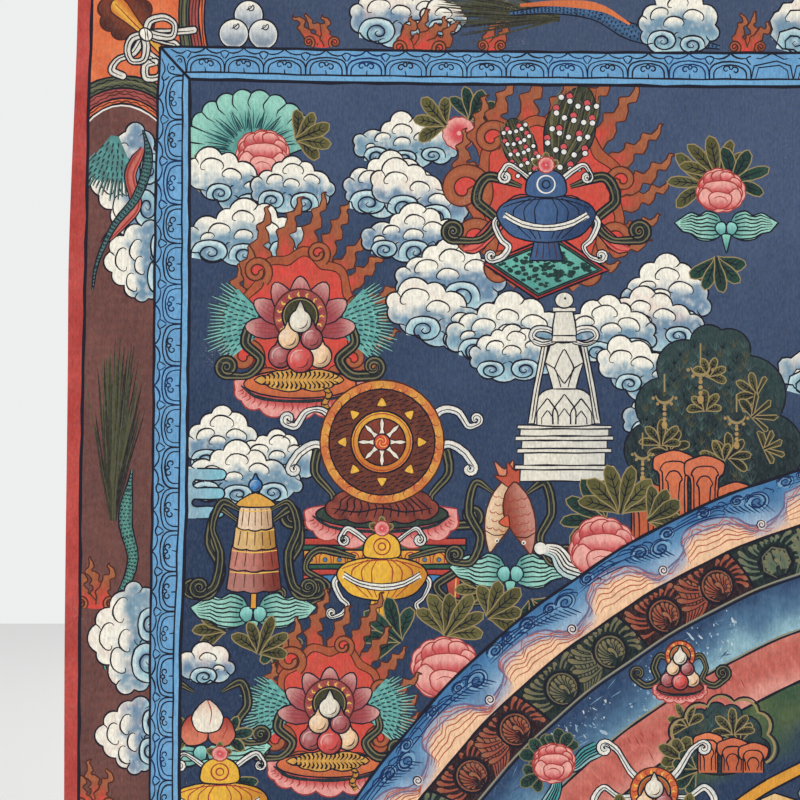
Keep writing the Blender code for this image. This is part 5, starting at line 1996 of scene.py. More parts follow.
def scroll_ring():
    """Curling stems and club leaves, in turns rust red and dark green."""
    strip = Bent(780.0)
    whole = 2 * math.pi * 780.0
    count = 38
    long = whole / count
    rnd = np.random.default_rng(61)
    for s in range(count):
        u0 = s * long
        red = s % 2 == 0
        colour = c(160, 80, 62) if red else (c(112, 108, 82) if s % 4 == 1 else c(98, 112, 92))
        dark = c(48, 30, 34) if red else c(30, 42, 42)
        place = strip.around(u0)
        side = lambda at: [(at + 10 * math.sin(k * math.pi * 0.5) - 5, v) for k, v in zip(np.linspace(0, 1, 7), np.linspace(-1, 48, 7))]
        wash(place, np.vstack([side(u0), side(u0 + long)[::-1]]), dark, None)
        fine = 205 < (180 + math.degrees(u0 / 780.0)) % 360 < 265
        for j in range(2):
            uc = u0 + long * (0.28 + 0.49 * j) + rnd.uniform(-2, 2)
            vc = 27.5 + rnd.uniform(-1.5, 1.5)
            r = 17.5
            light = mix(colour, TAN, 0.30 * np.ones(1))[0]
            # leaves outside the curl, out to the ring's edge and down to its inner edge
            for g in np.arange(158, 382, 14.5 if fine else 38):
                a = math.radians(g + rnd.uniform(-3, 3))
                foot = np.array([uc + (r + 2.5) * math.cos(a), vc + (r + 2.5) * math.sin(a)])
                aim = a + 0.55
                reach = min(30.0, (foot[1] - 3.5) / max(0.12, -math.sin(aim))) if math.sin(aim) < 0 else 13.0
                reach = min(reach, 26 if abs(math.cos(aim)) > 0.6 else 22)
                if reach < 4:
                    continue
                tip = foot + reach * np.array([math.cos(aim), math.sin(aim)])
                tip[0] = min(max(tip[0], u0 + 2), u0 + long + 2)
                tip[1] = min(max(tip[1], 3.5), 44)
                club(place, foot, tip, -0.10, 5.0, colour, under=dark)
            # long leaves that rise between the two curls
            if j == 0:
                for i, (x0, x1, v1) in enumerate(((12, 19, 10), (15, 25, 5), (18, 30, 8), (21, 35, 12), (24, 39, 18), (27, 41, 26)) if fine else ((18, 30, 9),)):
                    club(place, (uc + x0 + 3, 46), (uc + x1 + 7, v1), 0.14, 5.2, colour, under=dark)
            # a dark ring, and the leaves in it, that fan up from its foot
            brush(place, coil(uc, vc, r + 0.5, 100, 1.05, 0.9, step=3.0), 2.4, "ink", taper=(0.9, 0.7), shake=0.3)
            if fine:
                brush(place, coil(uc, vc, r - 1.6, 110, 0.9, 0.9, step=3.0), 1.5, colour=light * 0.9, taper=(0.5, 0.4), shake=0.2)
            for g in np.linspace(-128, 128, 13 if fine else 3) + rnd.uniform(-6, 6):
                a = math.radians(g)
                tip = (uc + 12.8 * math.sin(a) * rnd.uniform(0.92, 1.04), vc - 12.8 * math.cos(a) * rnd.uniform(0.92, 1.04))
                club(place, (uc + 3.6 * math.sin(a * 0.8), vc + 6.5 - 2.6 * math.cos(a)), tip, 0.10 if g > 0 else -0.10, 4.2, colour, under=dark)
            club(place, (uc + 2, vc + 9), (uc - 1, vc - 3), 0.2, 4.6, light, under=dark)
        brush(place, side(u0), 2.4, "ink", taper=(1, 1))


SWELL = (
    # along  in     of one wave in the boundary between the blue and the peach
    (0, 36), (7, 31), (8, 23), (15, 16), (27, 13), (44, 14), (58, 18), (68, 25), (73, 33), (80, 39), (91, 40), (101, 38),
)


def wave_ring():
    """The outermost ring: blue swirls outside, peach with contour lines inside."""
    strip = Bent(832.0)
    whole = 2 * math.pi * 832.0
    count = 46
    long = whole / count
    rnd = np.random.default_rng(71)

    def deep(g):
        d = np.asarray(g) - WHEEL
        v = 832.0 - np.hypot(d[:, 0], d[:, 1])
        out = mix(c(70, 124, 172), c(106, 152, 190), ramp(2, 22, v + 4 * ripple(g, 40, 72)))
        out = mix(out, c(158, 184, 208), ramp(20, 34, v))
        return mix(out, c(50, 94, 142), 0.4 * np.clip(ripple(g, 55, 73), 0, 1))

    ring(832.0, 779.0, deep, 6.5, parts=46)
    for s in range(count):
        u0 = s * long
        place = strip.around(u0)
        fine = 205 < (180 + math.degrees(u0 / 832.0)) % 360 < 262
        k = long / 108.0
        nod = rnd.uniform(0.8, 1.15)
        rows = [(u0 + x * k, 27 + (v - 27) * (nod if 3 < i < 10 else 1)) for i, (x, v) in enumerate(SWELL)]
        rows.append((u0 + long, 36))
        edge = curve(rows, step=2.6 if fine else 5)
        floor_line = [(u0 + long, 53), (u0 + long * 0.66, 53), (u0 + long * 0.33, 53), (u0, 53)]

        def peach(q, edge=edge):
            near = np.interp(q[:, 0], np.maximum.accumulate(edge[:, 0]), edge[:, 1])
            d = q[:, 1] - near
            out = mix(c(160, 170, 190), c(196, 186, 190), ramp(3, 9, d))
            out = mix(out, PEACH, ramp(8, 15, d))
            return mix(out, c(240, 176, 140), 0.35 * (1 - ramp(0, 6, 53 - q[:, 1])))

        wash(place, np.vstack([edge, floor_line]), peach, 4.2 if fine else 8)
        # winding contours that follow the boundary and flatten towards the edge
        for i, share in enumerate((0.10, 0.21, 0.33, 0.46, 0.60, 0.76) if fine else ()):
            c_line = edge.copy()
            x = edge[:, 0]
            bend_ = 2.5 * np.sin(x / 4.9 + i * 0.32 + s) + 1.5 * np.sin(x / 2.7 + i * 0.55 + 2 * s) + 1.2 * np.sin(x / 11.0 - i * 0.3 + s)
            c_line[:, 1] = edge[:, 1] + (51 - edge[:, 1]) * share + (1.15 - share) * bend_ * ramp(0, 0.15, (x - u0) / long) * (1 - ramp(0.85, 1, (x - u0) / long))
            a = int(len(c_line) * rnd.uniform(0.0, 0.2)) if fine else 0
            b = len(c_line) - (int(len(c_line) * rnd.uniform(0.0, 0.25)) if fine else 0)
            brush(place, c_line[a:b], 1.15, colour=c(186, 96, 74), taper=(0.5, 0.5), shake=0.3)
        if fine:
            # dark whorls and long strokes on the blue, close along the outer edge
            for _ in range(7):
                x, v = u0 + rnd.uniform(4, 100) * k, rnd.uniform(4, 12)
                g = rnd.uniform(8, 20)
                brush(place, curve([(x, v), (x + g * 0.4, v - 1.8), (x + g * 0.8, v + 0.6), (x + g, v + 4.0), (x + g * 0.78, v + 5.6)], step=2), 1.4, "ink_blue", taper=(0.3, 0.5), shake=0)
        brush(place, edge, 2.0, colour=c(112, 104, 138), taper=(0.9, 0.9))
        inner_line = edge.copy()
        inner_line[:, 1] += 6.5 * np.sin(np.linspace(0.12, 1, len(edge)) * math.pi) + 1.5
        brush(place, inner_line, 1.5, colour=c(126, 112, 140), taper=(0.4, 0.4))
        # the small curl where two waves meet
        e = (u0 + 88 * k, 39.5)
        wash(place, oval(e[0], e[1], 5.2, step=1.6), c(226, 214, 212))
        brush(place, coil(e[0], e[1], 5.4, 150, 1.7, 0.15, step=1.3), 1.35, "ink", taper=(0.8, 0.6), shake=0)
        # blue curls and feather strokes outside
        kind = s % 3
        if kind == 0:
            curls = ((16, 7.5, 6.6, 1), (34, 6.6, 5.2, -1), (56, 8.5, 6.2, 1), (98, 14, 8.0, 1), (82, 10, 5.0, -1))
        elif kind == 1:
            curls = ((20, 7.2, 5.6, -1), (76, 13, 7.0, 1), (96, 19, 8.2, -1), (108, 9, 5.6, 1))
        else:
            curls = ((92, 17, 9.0, 1), (40, 7.0, 5.4, 1), (74, 9, 5.0, -1))
        for x, v, r, hand in curls[: 9 if fine else 1]:
            x = u0 + x * k
            shade = lambda q, x=x, v=v, r=r: mix(c(60, 106, 152), c(126, 170, 200), ramp(0.2, 0.95, np.hypot(q[:, 0] - x, q[:, 1] - v) / r))
            wash(place, oval(x, v, r * 1.25, r * 0.95), shade, 3.4 if fine else None)
            line_1 = coil(0, 0, r, 200 if hand > 0 else -20, 1.75 * hand, 0.12, step=1.5)
            brush(place, line_1 * (1.25, 0.95) + (x, v), 1.9, "ink_blue", taper=(0.9, 0.5), shake=0)
            if fine:
                line_2 = coil(0, 0, r * 1.18, 170 if hand > 0 else 10, 0.75 * hand, 0.9, step=1.6)
                brush(place, line_2 * (1.25, 0.95) + (x, v), 1.3, "ink_blue", taper=(0.4, 0.4), shake=0)
        for i in range(9 if fine else 3):
            x = u0 + (60 + i * (4.6 if fine else 8)) * k
            v = 14.5 + 1.1 * i
            brush(place, curve([(x, v - 4), (x + 3.2, v + 1.5), (x + 8.5, v + 6 + 0.4 * i)]), 1.5, "ink_blue", taper=(0.9, 0.25))
        for i in range(4 if fine else 1):
            v = 3.2 + 3.1 * i
            a, b = u0 + rnd.uniform(-6, 20) * k, u0 + rnd.uniform(52, 96) * k
            brush(place, curve([(a, v + 2), ((a * 2 + b) / 3, v + 0.4), ((a + 2 * b) / 3, v + 1.2), (b, v + 4.5), (b + 6, v + 8)], step=4), 1.3, "ink_blue", taper=(0.25, 0.4))


def sky_ring():
    """A blue ring, darkest outside, with spattered white."""
    def tint(g):
        d = np.asarray(g) - WHEEL
        v = 733.0 - np.hypot(d[:, 0], d[:, 1])
        a = np.arctan2(d[:, 1], d[:, 0])
        v = v + 6 * ripple(g, 46, 81) + 9 * np.sin(a * 9)
        out = mix(c(48, 72, 106), c(78, 114, 146), ramp(6, 30, v))
        out = mix(out, c(148, 186, 198), ramp(28, 54, v))
        return out + 0.03 * ripple(g, 8, 82)[:, None]

    ring(733.0, 679.0, tint, 6.5, parts=36)
    rnd = np.random.default_rng(83)
    # paint worn to the white ground, in loose drifts of ragged flecks
    for drift in range(84):
        a0, r0 = rnd.uniform(0, 2 * math.pi), rnd.uniform(688, 726)
        if drift > 63:
            a0 = math.radians(rnd.uniform(226, 246))
        here = 205 < math.degrees(a0) % 360 < 262
        if not here and rnd.random() < 0.5:
            continue
        many = rnd.integers(4, 17) if here else 3
        for _ in range(many):
            a, rr = a0 + rnd.normal(0, 0.014), r0 + rnd.normal(0, 6.5)
            if not 682 < rr < 730:
                continue
            x, y = WHEEL[0] + rr * math.cos(a), WHEEL[1] + rr * math.sin(a)
            s = rnd.uniform(0.32, 1.1) * (2.2 if rnd.random() < 0.12 else 1)
            n = 7
            spread = rnd.uniform(0.25, 1.4, n)
            g = np.linspace(0, 2 * math.pi, n, endpoint=False) + rnd.uniform(0, 1)
            lean = a + rnd.uniform(-0.5, 0.5)
            k = rnd.uniform(1.0, 2.6)
            u, v = s * k * spread * np.cos(g), s * spread * np.sin(g) * 0.8
            wash(HERE, np.stack([x + u * math.cos(lean) - v * math.sin(lean), y + u * math.sin(lean) + v * math.cos(lean)], 1), mix(c(120, 160, 190), c(224, 226, 222), rnd.uniform(0, 1, 1))[0])
    # fine streaks that follow the ring
    for _ in range(560):
        a, rr = rnd.uniform(0, 2 * math.pi), rnd.uniform(686, 728)
        if not 205 < math.degrees(a) % 360 < 262:
            continue
        n = rnd.uniform(0.006, 0.022)
        g = np.linspace(a, a + n, 4)
        rr = rr + np.linspace(0, rnd.uniform(-5, 5), 4)
        brush(HERE, np.stack([WHEEL[0] + rr * np.cos(g), WHEEL[1] + rr * np.sin(g)], 1), rnd.uniform(0.6, 1.3), colour=c(120, 156, 184) if rnd.random() < 0.55 else c(48, 76, 112), taper=(0.2, 0.2))


def red_ring():
    def tint(g):
        d = np.asarray(g) - WHEEL
        v = 680.0 - np.hypot(d[:, 0], d[:, 1])
        a = np.arctan2(d[:, 1], d[:, 0])
        v = v + 4 * ripple(g, 50, 91)
        out = mix(c(206, 118, 104), c(200, 104, 92), ramp(2, 14, v))
        out = mix(out, c(228, 154, 140), ramp(24, 47, v))
        return out + 0.028 * np.sin(a * 680 / 2.3 + 2 * ripple(g, 30, 92))[:, None] + 0.02 * ripple(g, 9, 93)[:, None]

    ring(680.0, 632.0, tint, 6.0, parts=36)
    rnd = np.random.default_rng(94)
    for _ in range(900):
        a, r = rnd.uniform(0, 2 * math.pi), rnd.uniform(645, 676)
        if not 205 < math.degrees(a) % 360 < 262:
            continue
        n = rnd.uniform(5, 13)
        x, y = WHEEL[0] + r * math.cos(a), WHEEL[1] + r * math.sin(a)
        b = a + rnd.uniform(-0.25, 0.25)
        brush(HERE, [(x, y), (x - n * 0.5 * math.cos(b), y - n * 0.5 * math.sin(b)), (x - n * math.cos(b), y - n * math.sin(b))], rnd.uniform(0.7, 1.4), colour=c(160, 62, 58) if rnd.random() < 0.6 else c(216, 128, 112), taper=(0.2, 0.2))


def petal_ring(outer, inner, count, colours, ink="ink", tip_share=0.55):
    """A ring of lotus petals that point outwards."""
    long = 2 * math.pi * outer / count
    strip = Bent(outer)
    for i in range(count):
        u = (i + 0.5) * long
        p = strip.around(u)
        deep = outer - inner
        half = long / 2
        rim = curve([(u - half, deep), (u - half * 0.98, deep * 0.5), (u - half * 0.55, deep * 0.16), (u, deep * 0.02), (u + half * 0.55, deep * 0.16), (u + half * 0.98, deep * 0.5), (u + half, deep)], step=5)
        k = colours[i % len(colours)]
        wash(p, rim, lambda q, k=k: mix(mix(k, WHITE, 0.45 * np.ones(1))[0], k, ramp(deep * 0.1, deep * 0.8, q[:, 1])), 9)
        brush(p, rim, 1.8, ink)
        small = rim * 1.0
        small[:, 0] = u + (rim[:, 0] - u) * 0.62
        small[:, 1] = deep - (deep - rim[:, 1]) * 0.68
        brush(p, small, 1.3, ink)
        wash(p, oval(u, deep * 0.82, half * 0.16), k * 0.7)


def great_wheel():
    """From the wave ring to the lotus at the middle."""
    scroll_ring()
    wave_ring()
    sky_ring()
    red_ring()
    # inside the red ring: a meadow ring, petals, a walled square with four gates, and a lotus
    def meadow(g):
        d = np.asarray(g) - WHEEL
        v = 633.0 - np.hypot(d[:, 0], d[:, 1])
        return mix(mix(c(58, 84, 62), c(92, 106, 66), 0.5 + 0.5 * ripple(g, 34, 101)), c(44, 62, 92), ramp(24, 62, v + 12 * ripple(g, 60, 102)))

    ring(633.0, 560.0, meadow, 12, parts=36)
    ring(560.0, 548.0, c(226, 158, 60), None)
    petal_ring(548.0, 508.0, 64, (c(204, 74, 66), c(70, 130, 186), c(232, 168, 72), c(84, 140, 104)))
    ring(508.0, 497.0, c(52, 100, 156), None)
    wash(HERE, oval(*WHEEL, 497.0, step=12), lambda q: ground(q) * 0.98, 22)
    for r, w, ink in ((832, 3.0, "ink"), (779.5, 2.6, "ink"), (734.0, 1.7, "line_stone"), (731.2, 2.2, "ink"), (681.5, 1.5, "line_stone"), (679.5, 2.2, "ink"), (632.5, 2.6, "ink"), (560, 2.2, "ink"), (548, 2.2, "ink"), (508, 2.2, "ink"), (497, 2.4, "ink")):
        hoop(r, w, ink)


# --- what is painted on the blue field -------------------------------------------------------
def flaming_jewels(place, seed=1, size=1.0, wings=True, reach=1.0):
    """A heap of jewels in a glory, with feathers and fire round it, on a lotus."""
    p = place.then(size=size)
    blaze(p, 50, 60, seed, reach)
    if wings:
        for m in (False, True):
            feathers(p.then(28, 4, turn=84, mirror=m) if not m else p.then(-28, 4, turn=-84, mirror=True), 62, 8, 62, seed)
    lotus(p.then(0, 62), 58, 15)
    scarves(p.then(0, 30), 64, 46, 9.5)
    petal_fan(p.then(0, 10), 14, 56)
    halo(p.then(0, -6), 27, inner=c(76, 76, 50), rim=c(150, 70, 76), edge=c(176, 92, 84), rays=30)
    stripes(p.then(0, 58), 88, 20)
    jewels(p.then(0, 34), 1.16, ribbon=False)


def flaming_urn(place, seed=1, size=1.0):
    """A blue urn full of plumes on a spotted cloth, in a great fire."""
    p = place.then(size=size)
    blaze(p, 58, 62, seed, 0.98, wind=4, swirls=SWIRLS)
    nosegay(p.then(10, -26, turn=16), 78, 44, seed)
    nosegay(p.then(-14, -22, 0.8, turn=-20), 66, 36, seed + 1)
    mat(p.then(0, 60), 112, 58)
    for m in (False, True):
        scarf(p.then(mirror=m), [(6, 4), (26, 2), (48, 26), (62, 40), (74, 44)], 12, c(226, 104, 92), "ink_red", coils=(None, None))
    scarves(p.then(0, 10), 72, 50, 8.5)
    urn(p.then(0, 26), 74, blue=True)


def law_wheel(place, size=1.0):
    """The wheel in its glory on a lotus, above a low table with an urn."""
    p = place.then(size=size)
    table(p.then(0, 92), 168, 66)
    scarves(p.then(0, 40), 78, 74, 9)
    scarves(p.then(0, 132), 88, 46, 8)
    lotus(p.then(0, 68), 68, 15, seat=c(58, 74, 62))
    # a folded cloth on the seat
    cloth = lobes([(-56, 66, 0.25), (-50, 54, 0.2), (-30, 46, 0.12), (0, 42, 0.12), (30, 46, 0.2), (50, 54, 0.25), (56, 66, 0.18), (36, 73, 0.14), (12, 75, 0.14), (-12, 75, 0.14), (-36, 73, 0.18)])
    wash(p, cloth, lambda g: mix(c(154, 74, 58), c(112, 54, 48), 0.5 + 0.5 * ripple(g, 12, 4)), 5)
    brush(p, cloth, 1.5, closed=True)
    for x in range(-48, 49, 8):
        brush(p, curve([(x, 72 - abs(x) * 0.08), (x * 0.92 + 2, 62), (x * 0.8 - 2, 54), (x * 0.6, 47)]), 1.4, taper=(0.8, 0.3), shake=0)
    brush(p, curve([(-50, 62), (-24, 66), (0, 62), (24, 66), (50, 62)]), 1.6, taper=(0.4, 0.4), shake=0)
    for m in (False, True):
        scarf(p.then(mirror=m), [(44, -22), (60, -36), (76, -34), (86, -20), (96, -22)], 8, white=True, coils=(None, (5, 1.0, -1)))
        scarf(p.then(mirror=m), [(48, 6), (66, -2), (82, 6), (92, 20)], 8, white=True, coils=(None, (5, 1.0, 1)))
    halo(p.then(0, -4), 62, inner=c(100, 98, 56), rim=c(226, 160, 74), rays=60, edge=c(212, 118, 66))
    q = p.then(0, -4)
    wash(q, oval(0, 0, 53), lambda g: mix(c(120, 62, 46), c(92, 50, 42), 0.5 + 0.5 * ripple(g, 9, 6)), 6)
    brush(q, oval(0, 0, 53), 1.6, closed=True)
    for i in range(150):
        a, r = i * 2.39996, 53 * math.sqrt(0.42 + 0.5 * (i + 0.5) / 150)
        x, y = r * math.cos(a), r * math.sin(a)
        brush(q, [(x - 2.6, y + 1.2), (x, y), (x + 2.6, y - 0.6)], 1.2, taper=(0.4, 0.4), shake=0)
    wheel_emblem(p.then(0, -4), 31, c(124, 58, 44), c(240, 232, 214))
    urn(p.then(0, 142), 76)


def offering(place, kind=0, seed=1):
    """Something precious on a pair of leaves."""
    palm(place.then(-26, 24, turn=-70), 4, 32, 12, 90, OLIVE, seed=seed)
    palm(place.then(20, 34, turn=150), 4, 32, 12, 90, GREEN, seed=seed + 1)
    leaf_seat(place, 122, seed)
    if kind == 0:
        scarves(place.then(0, -50), 52, 76, 8.5)
        banner(place.then(0, 2), 118, 36)
    elif kind == 1:
        scarves(place.then(0, -40), 48, 70, 8.5)
        fish(place.then(-12, -48, 1.3, 12), c(238, 190, 140))
        fish(place.then(12, -46, 1.3, -12, mirror=True), c(178, 82, 62))
    else:
        scarves(place.then(0, -30), 44, 52, 8.0)
        peaches(place.then(0, -16), 1.25, seed)


def flower(place, r, seed, turns=(-60, 0, 60), long=40):
    """A peony with hands of leaves behind it."""
    for i, g in enumerate(turns):
        a = math.radians(g - 90)
        palm(place.then(r * 0.6 * math.cos(a), r * 0.6 * math.sin(a), turn=g), 5 if i % 2 else 4, long * (1.0 + 0.1 * (i % 2)), 13, 105, (OLIVE, GREEN, c(92, 92, 54))[(i + seed) % 3], seed=seed + i)
    peony(place, r, seed)


def upper_corner(base):
    at = base.then
    # the corner: a great leaf, a peony and lesser leaves
    fan_leaf(at(250, 152), 66, 172, 352, 11, seed=3)
    palm(at(296, 140, turn=66), 5, 38, 13, 110, OLIVE, seed=2)
    palm(at(214, 170, turn=-120), 4, 30, 12, 110, GREEN, seed=3)
    peony(at(262, 156), 27, 3)
    # clouds that come in from the left, with tails
    bank(base, ((186, 148, "lean", 0.9, False), (250, 152, "wide", 0.78, False), (184, 196, "long", 0.92, False)), 3)
    # fire and jewels in the upper left
    flaming_jewels(at(300, 322), 7, 1.0, reach=0.92)
    # a stair of clouds from the frame down to the great wheel
    bank(base, ((356, 112, "long", 0.72, False), (344, 146, "wide", 0.9, False), (372, 158, "lean", 0.95, False), (362, 202, "long", 0.8, False), (396, 232, "wide", 1.0, False), (388, 276, "lean", 1.02, False), (448, 292, "long", 0.95, False)), 5)
    blossom(at(459, 132), 16, 3)
    palm(at(446, 124, turn=-60), 4, 36, 13, 100, OLIVE, seed=5)
    palm(at(470, 118, turn=24), 5, 36, 12, 110, GREEN, seed=6)
    # the great fire
    flaming_urn(at(546, 200), 3, 1.12)
    bank(base, ((624, 250, "tall", 0.95, False), (586, 286, "long", 0.86, False), (656, 292, "wide", 0.9, True), (470, 318, "wide", 0.8, False)), 8)
    # upper right
    palm(at(716, 258, turn=170), 5, 38, 13, 110, GREEN, seed=8)
    leaf_seat(at(726, 222), 104, 3)
    flower(at(720, 190), 24, 5, (-64, -10, 50), 44)
    # clouds at the left, over the table, and the wheel of the law
    bank(base, ((186, 402, "tall", 0.82, False), (236, 424, "wide", 0.76, False), (182, 440, "long", 0.86, False)), 9)
    fingers(at(184, 468), 44, 3, 12, 7, 6)
    law_wheel(at(382, 446), 1.0)
    # at both its sides
    offering(at(256, 606), 0, 4)
    offering(at(510, 566), 1, 5)
    # the white shrine
    chorten(at(564, 481), 196, 92)
    bank(base, ((598, 336, "lean", 0.9, False), (622, 374, "wide", 0.92, False)), 13)
    # trees and crags at the right, half behind the great wheel
    tree(at(712, 500), 5, 150, 170)
    for x, y, k in ((664, 400, 1.0), (700, 372, 1.1), (642, 456, 0.9), (736, 420, 1.0)):
        pendant(at(x, y), k)
    rocks(at(690, 536), 3, 4, ORANGE, 88, 34)
    # flowers along the great wheel
    palm(at(604, 520, turn=-60), 5, 48, 15, 110, GREEN, seed=13)
    palm(at(620, 512, turn=0), 6, 50, 15, 130, OLIVE, seed=14)
    palm(at(648, 520, turn=60), 5, 40, 14, 90, c(92, 92, 54), seed=17)
    plume(base, [(540, 548), (556, 552), (566, 566), (584, 572)], 22)
    peony(at(602, 548), 33, 5)
    palm(at(400, 640, turn=-50), 5, 46, 14, 120, GREEN, seed=15)
    palm(at(446, 634, turn=20), 6, 46, 14, 120, OLIVE, seed=16)
    palm(at(488, 616, turn=50), 5, 40, 14, 110, OLIVE, seed=18)
    peony(at(446, 668), 34, 7)
    # lower left
    flaming_jewels(at(330, 708), 11, 0.90, reach=0.92)
    offering(at(214, 744), 2, 8)
    palm(at(262, 652, turn=20), 5, 36, 12, 130, OLIVE, seed=21)
    bank(base, ((188, 636, "small", 0.9, False),), 15)
    urn(at(226, 812), 76)
    lotus(at(310, 812), 34, 10)
    bank(base, ((186, 850, "wide", 1.0, False), (262, 846, "tall", 0.9, False), (330, 850, "wide", 0.8, True)), 17)


def strips():
    """What is painted in the two strips between the red edge and the blue band."""
    # the left strip is drawn to be seen from its inner side: up is to the left
    s = lambda x, y, size=1.0, flip=False: Place(x, y, size, -90, flip)
    cloud(s(84, 236, 0.98), "wide", 21)
    cloud(s(98, 300, 0.86), "tall", 22)
    feathers(Place(112, 132, turn=188), 62, 6, 50, 9, c(86, 128, 126))
    scarf(HERE, [(140, 150), (128, 176), (134, 206), (118, 226), (100, 244)], 11, c(206, 112, 100), "ink_red")
    scaled(HERE, [(140, 132), (146, 160), (136, 196), (112, 226), (96, 262), (92, 290)], 12, 15, c(84, 130, 128))
    grass(Place(116, 520), 190, 60, 110, 5, 0.03)
    flame_wisp(Place(100, 600, 0.9), 1.0, 4, -6, 3)
    scaled(HERE, [(134, 470), (128, 520), (136, 560), (122, 600), (104, 640), (110, 668)], 16, 5)
    cloud(s(88, 690, 1.0), "wide", 23)
    cloud(s(98, 770, 0.8), "tall", 24)
    grass(Place(104, 900), 130, 46, 60, 7, 0.05)
    flame_wisp(Place(100, 800, 0.9), 1.0, 9, -6, 3)
    # the top strip is upright
    for x, y in ((247, 16), (232, 35), (262, 35)):
        pearl(HERE, x, y, 15)
    flame_wisp(Place(322, 40, 0.8), 1.0, 12, -30, 3)
    cloud(Place(352, -28, 0.94), "wide", 25)
    cloud(Place(420, -8, 0.8), "small", 26)
    flame_wisp(Place(420, 44, 1.0), 1.0, 22, 30, 4)
    flame_wisp(Place(492, 42, 0.75), 1.0, 15, 24, 2)
    grass(Place(560, 16, turn=-84), 130, 60, 90, 9, 0.0, 1.3)
    scaled(HERE, [(720, 44), (690, 38), (660, 34), (628, 28), (596, 12), (556, 8), (510, 12)], 24, 9, c(74, 112, 152))
    band(HERE, curve([(520, 4), (560, 2), (600, 6), (630, 22)]), np.interp(np.linspace(0, 1, len(curve([(520, 4), (560, 2), (600, 6), (630, 22)]))), (0, 0.6, 1), (1.5, 4.2, 1.0)), lambda u, v: mix(c(206, 110, 66), c(228, 126, 76), u), columns=(-1, 1))
    cloud(Place(640, -22, 0.86), "tall", 27)
    flame_wisp(Place(748, 42, 0.8), 1.0, 18, 16, 3)
    cloud(Place(770, -20, 0.9), "wide", 28)



def side(base, far=False):
    """Between the frame and the great wheel at its widest."""
    at = base.then
    bank(base, ((184, 900, "tall", 0.8, False), (186, 952, "small", 0.9, False), (186, 996, "puff", 0.9, False)), 31)
    palm(at(250, 884, turn=40), 5, 36, 13, 120, OLIVE, seed=31)
    palm(at(200, 1046, turn=20), 4, 30, 11, 110, GREEN, seed=32)
    palm(at(200, 1480, turn=150), 4, 30, 11, 110, GREEN, seed=33)
    bank(base, ((186, 1500, "puff", 0.9, False), (186, 1530, "small", 0.9, False), (184, 1570, "tall", 0.8, False)), 33)
    palm(at(262, 1636, turn=120), 5, 36, 13, 120, OLIVE, seed=34)


def lower_corner(base):
    at = base.then
    palm(at(286, 1700, turn=100), 5, 42, 14, 120, OLIVE, seed=41)
    peony(at(262, 1716), 28, 9)
    offering(at(232, 1800), 0, 12)
    bank(base, ((184, 1826, "wide", 0.9, False), (250, 1850, "lean", 0.9, False)), 41)
    tree(at(236, 2010), 7, 120, 120)
    rocks(at(236, 2030), 5, 4, ORANGE, 60, 30)
    palm(at(400, 1900, turn=190), 6, 46, 14, 130, OLIVE, seed=43)
    peony(at(420, 1884), 32, 11)
    palm(at(560, 2030, turn=200), 6, 46, 14, 130, GREEN, seed=44)
    peony(at(590, 2010), 32, 12)
    flaming_jewels(at(370, 2060), 13, 1.1)
    bank(base, ((184, 2110, "long", 0.95, False), (270, 2150, "wide", 1.0, False), (430, 2130, "lean", 1.0, False)), 43)
    flaming_urn(at(286, 2300), 15, 1.15)
    law_wheel(at(520, 2228), 0.95)
    offering(at(412, 2330), 2, 16)
    flower(at(650, 2190), 27, 13, (-60, 0, 60, 170), 42)
    chorten(at(700, 2400), 160, 88)
    bank(base, ((184, 2380, "wide", 1.0, False), (330, 2386, "long", 0.9, False), (440, 2372, "tall", 0.9, False), (590, 2360, "wide", 0.9, False), (740, 2330, "long", 0.9, False), (620, 2260, "small", 1.0, False)), 45)


def middle_top():
    bank(HERE, ((780, 330, "long", 0.9, False), (1190, 330, "long", 0.9, False), (820, 200, "wide", 0.9, False), (1180, 200, "wide", 0.9, True)), 51)
    law_wheel(Place(1045, 196), 1.0)
    offering(Place(920, 330), 2, 18)
    offering(Place(1170, 330), 2, 19)
    flaming_jewels(Place(868, 160), 17, 0.62, wings=False)
    flaming_jewels(Place(1222, 160), 19, 0.62, wings=False)
    flower(Place(1045, 412), 26, 15, (-80, -30, 30, 80), 40)


def middle_foot():
    flower(Place(1045, 2130), 28, 17, (120, 180, 240), 42)
    law_wheel(Place(1045, 2262), 1.0)
    offering(Place(900, 2330), 1, 20)
    offering(Place(1190, 2330), 1, 21)
    bank(HERE, ((800, 2180, "wide", 1.0, False), (1180, 2180, "wide", 1.0, True), (900, 2150, "small", 0.9, False), (1000, 2396, "wide", 0.9, False), (1130, 2390, "long", 0.8, False), (850, 2390, "long", 0.8, False)), 53)


def more_strips():
    """The strips beyond the upper left corner, with the same clouds, licks of fire and grass."""
    rnd = np.random.default_rng(77)
    kinds = ("wide", "tall", "long", "lean")
    for i, x in enumerate(range(880, 1860, 140)):
        cloud(Place(x, -24 + rnd.uniform(-5, 5), 0.86), kinds[i % 4], 200 + i)
        flame_wisp(Place(x + 106, 42, 0.75), 1.0, 210 + i, 10, 2)
    for i, x in enumerate(range(300, 1860, 140)):
        cloud(Place(x, 2484 + rnd.uniform(-5, 5), 0.86), kinds[(i + 1) % 4], 230 + i)
        flame_wisp(Place(x + 106, 2540, 0.75), 1.0, 250 + i, 10, 2)
    for left in (True, False):
        s = (lambda x, y, size: Place(x, y, size, -90)) if left else (lambda x, y, size: Place(FAR_X - x, y, size, -90, mirror=False).then(mirror=False) if False else Place(FAR_X - x, y - 60, size, 90))
        for i, y in enumerate(range(940 if left else 300, 2330, 182)):
            cloud(s(90, y + 60, 0.95), kinds[i % 4], 270 + i + 40 * left)
            cloud(s(100, y + 118, 0.8), kinds[(i + 2) % 4], 290 + i + 40 * left)
            grass(Place(118 if left else FAR_X - 118, y + 196), 100, 46, 36, 9 + i, 0.03)


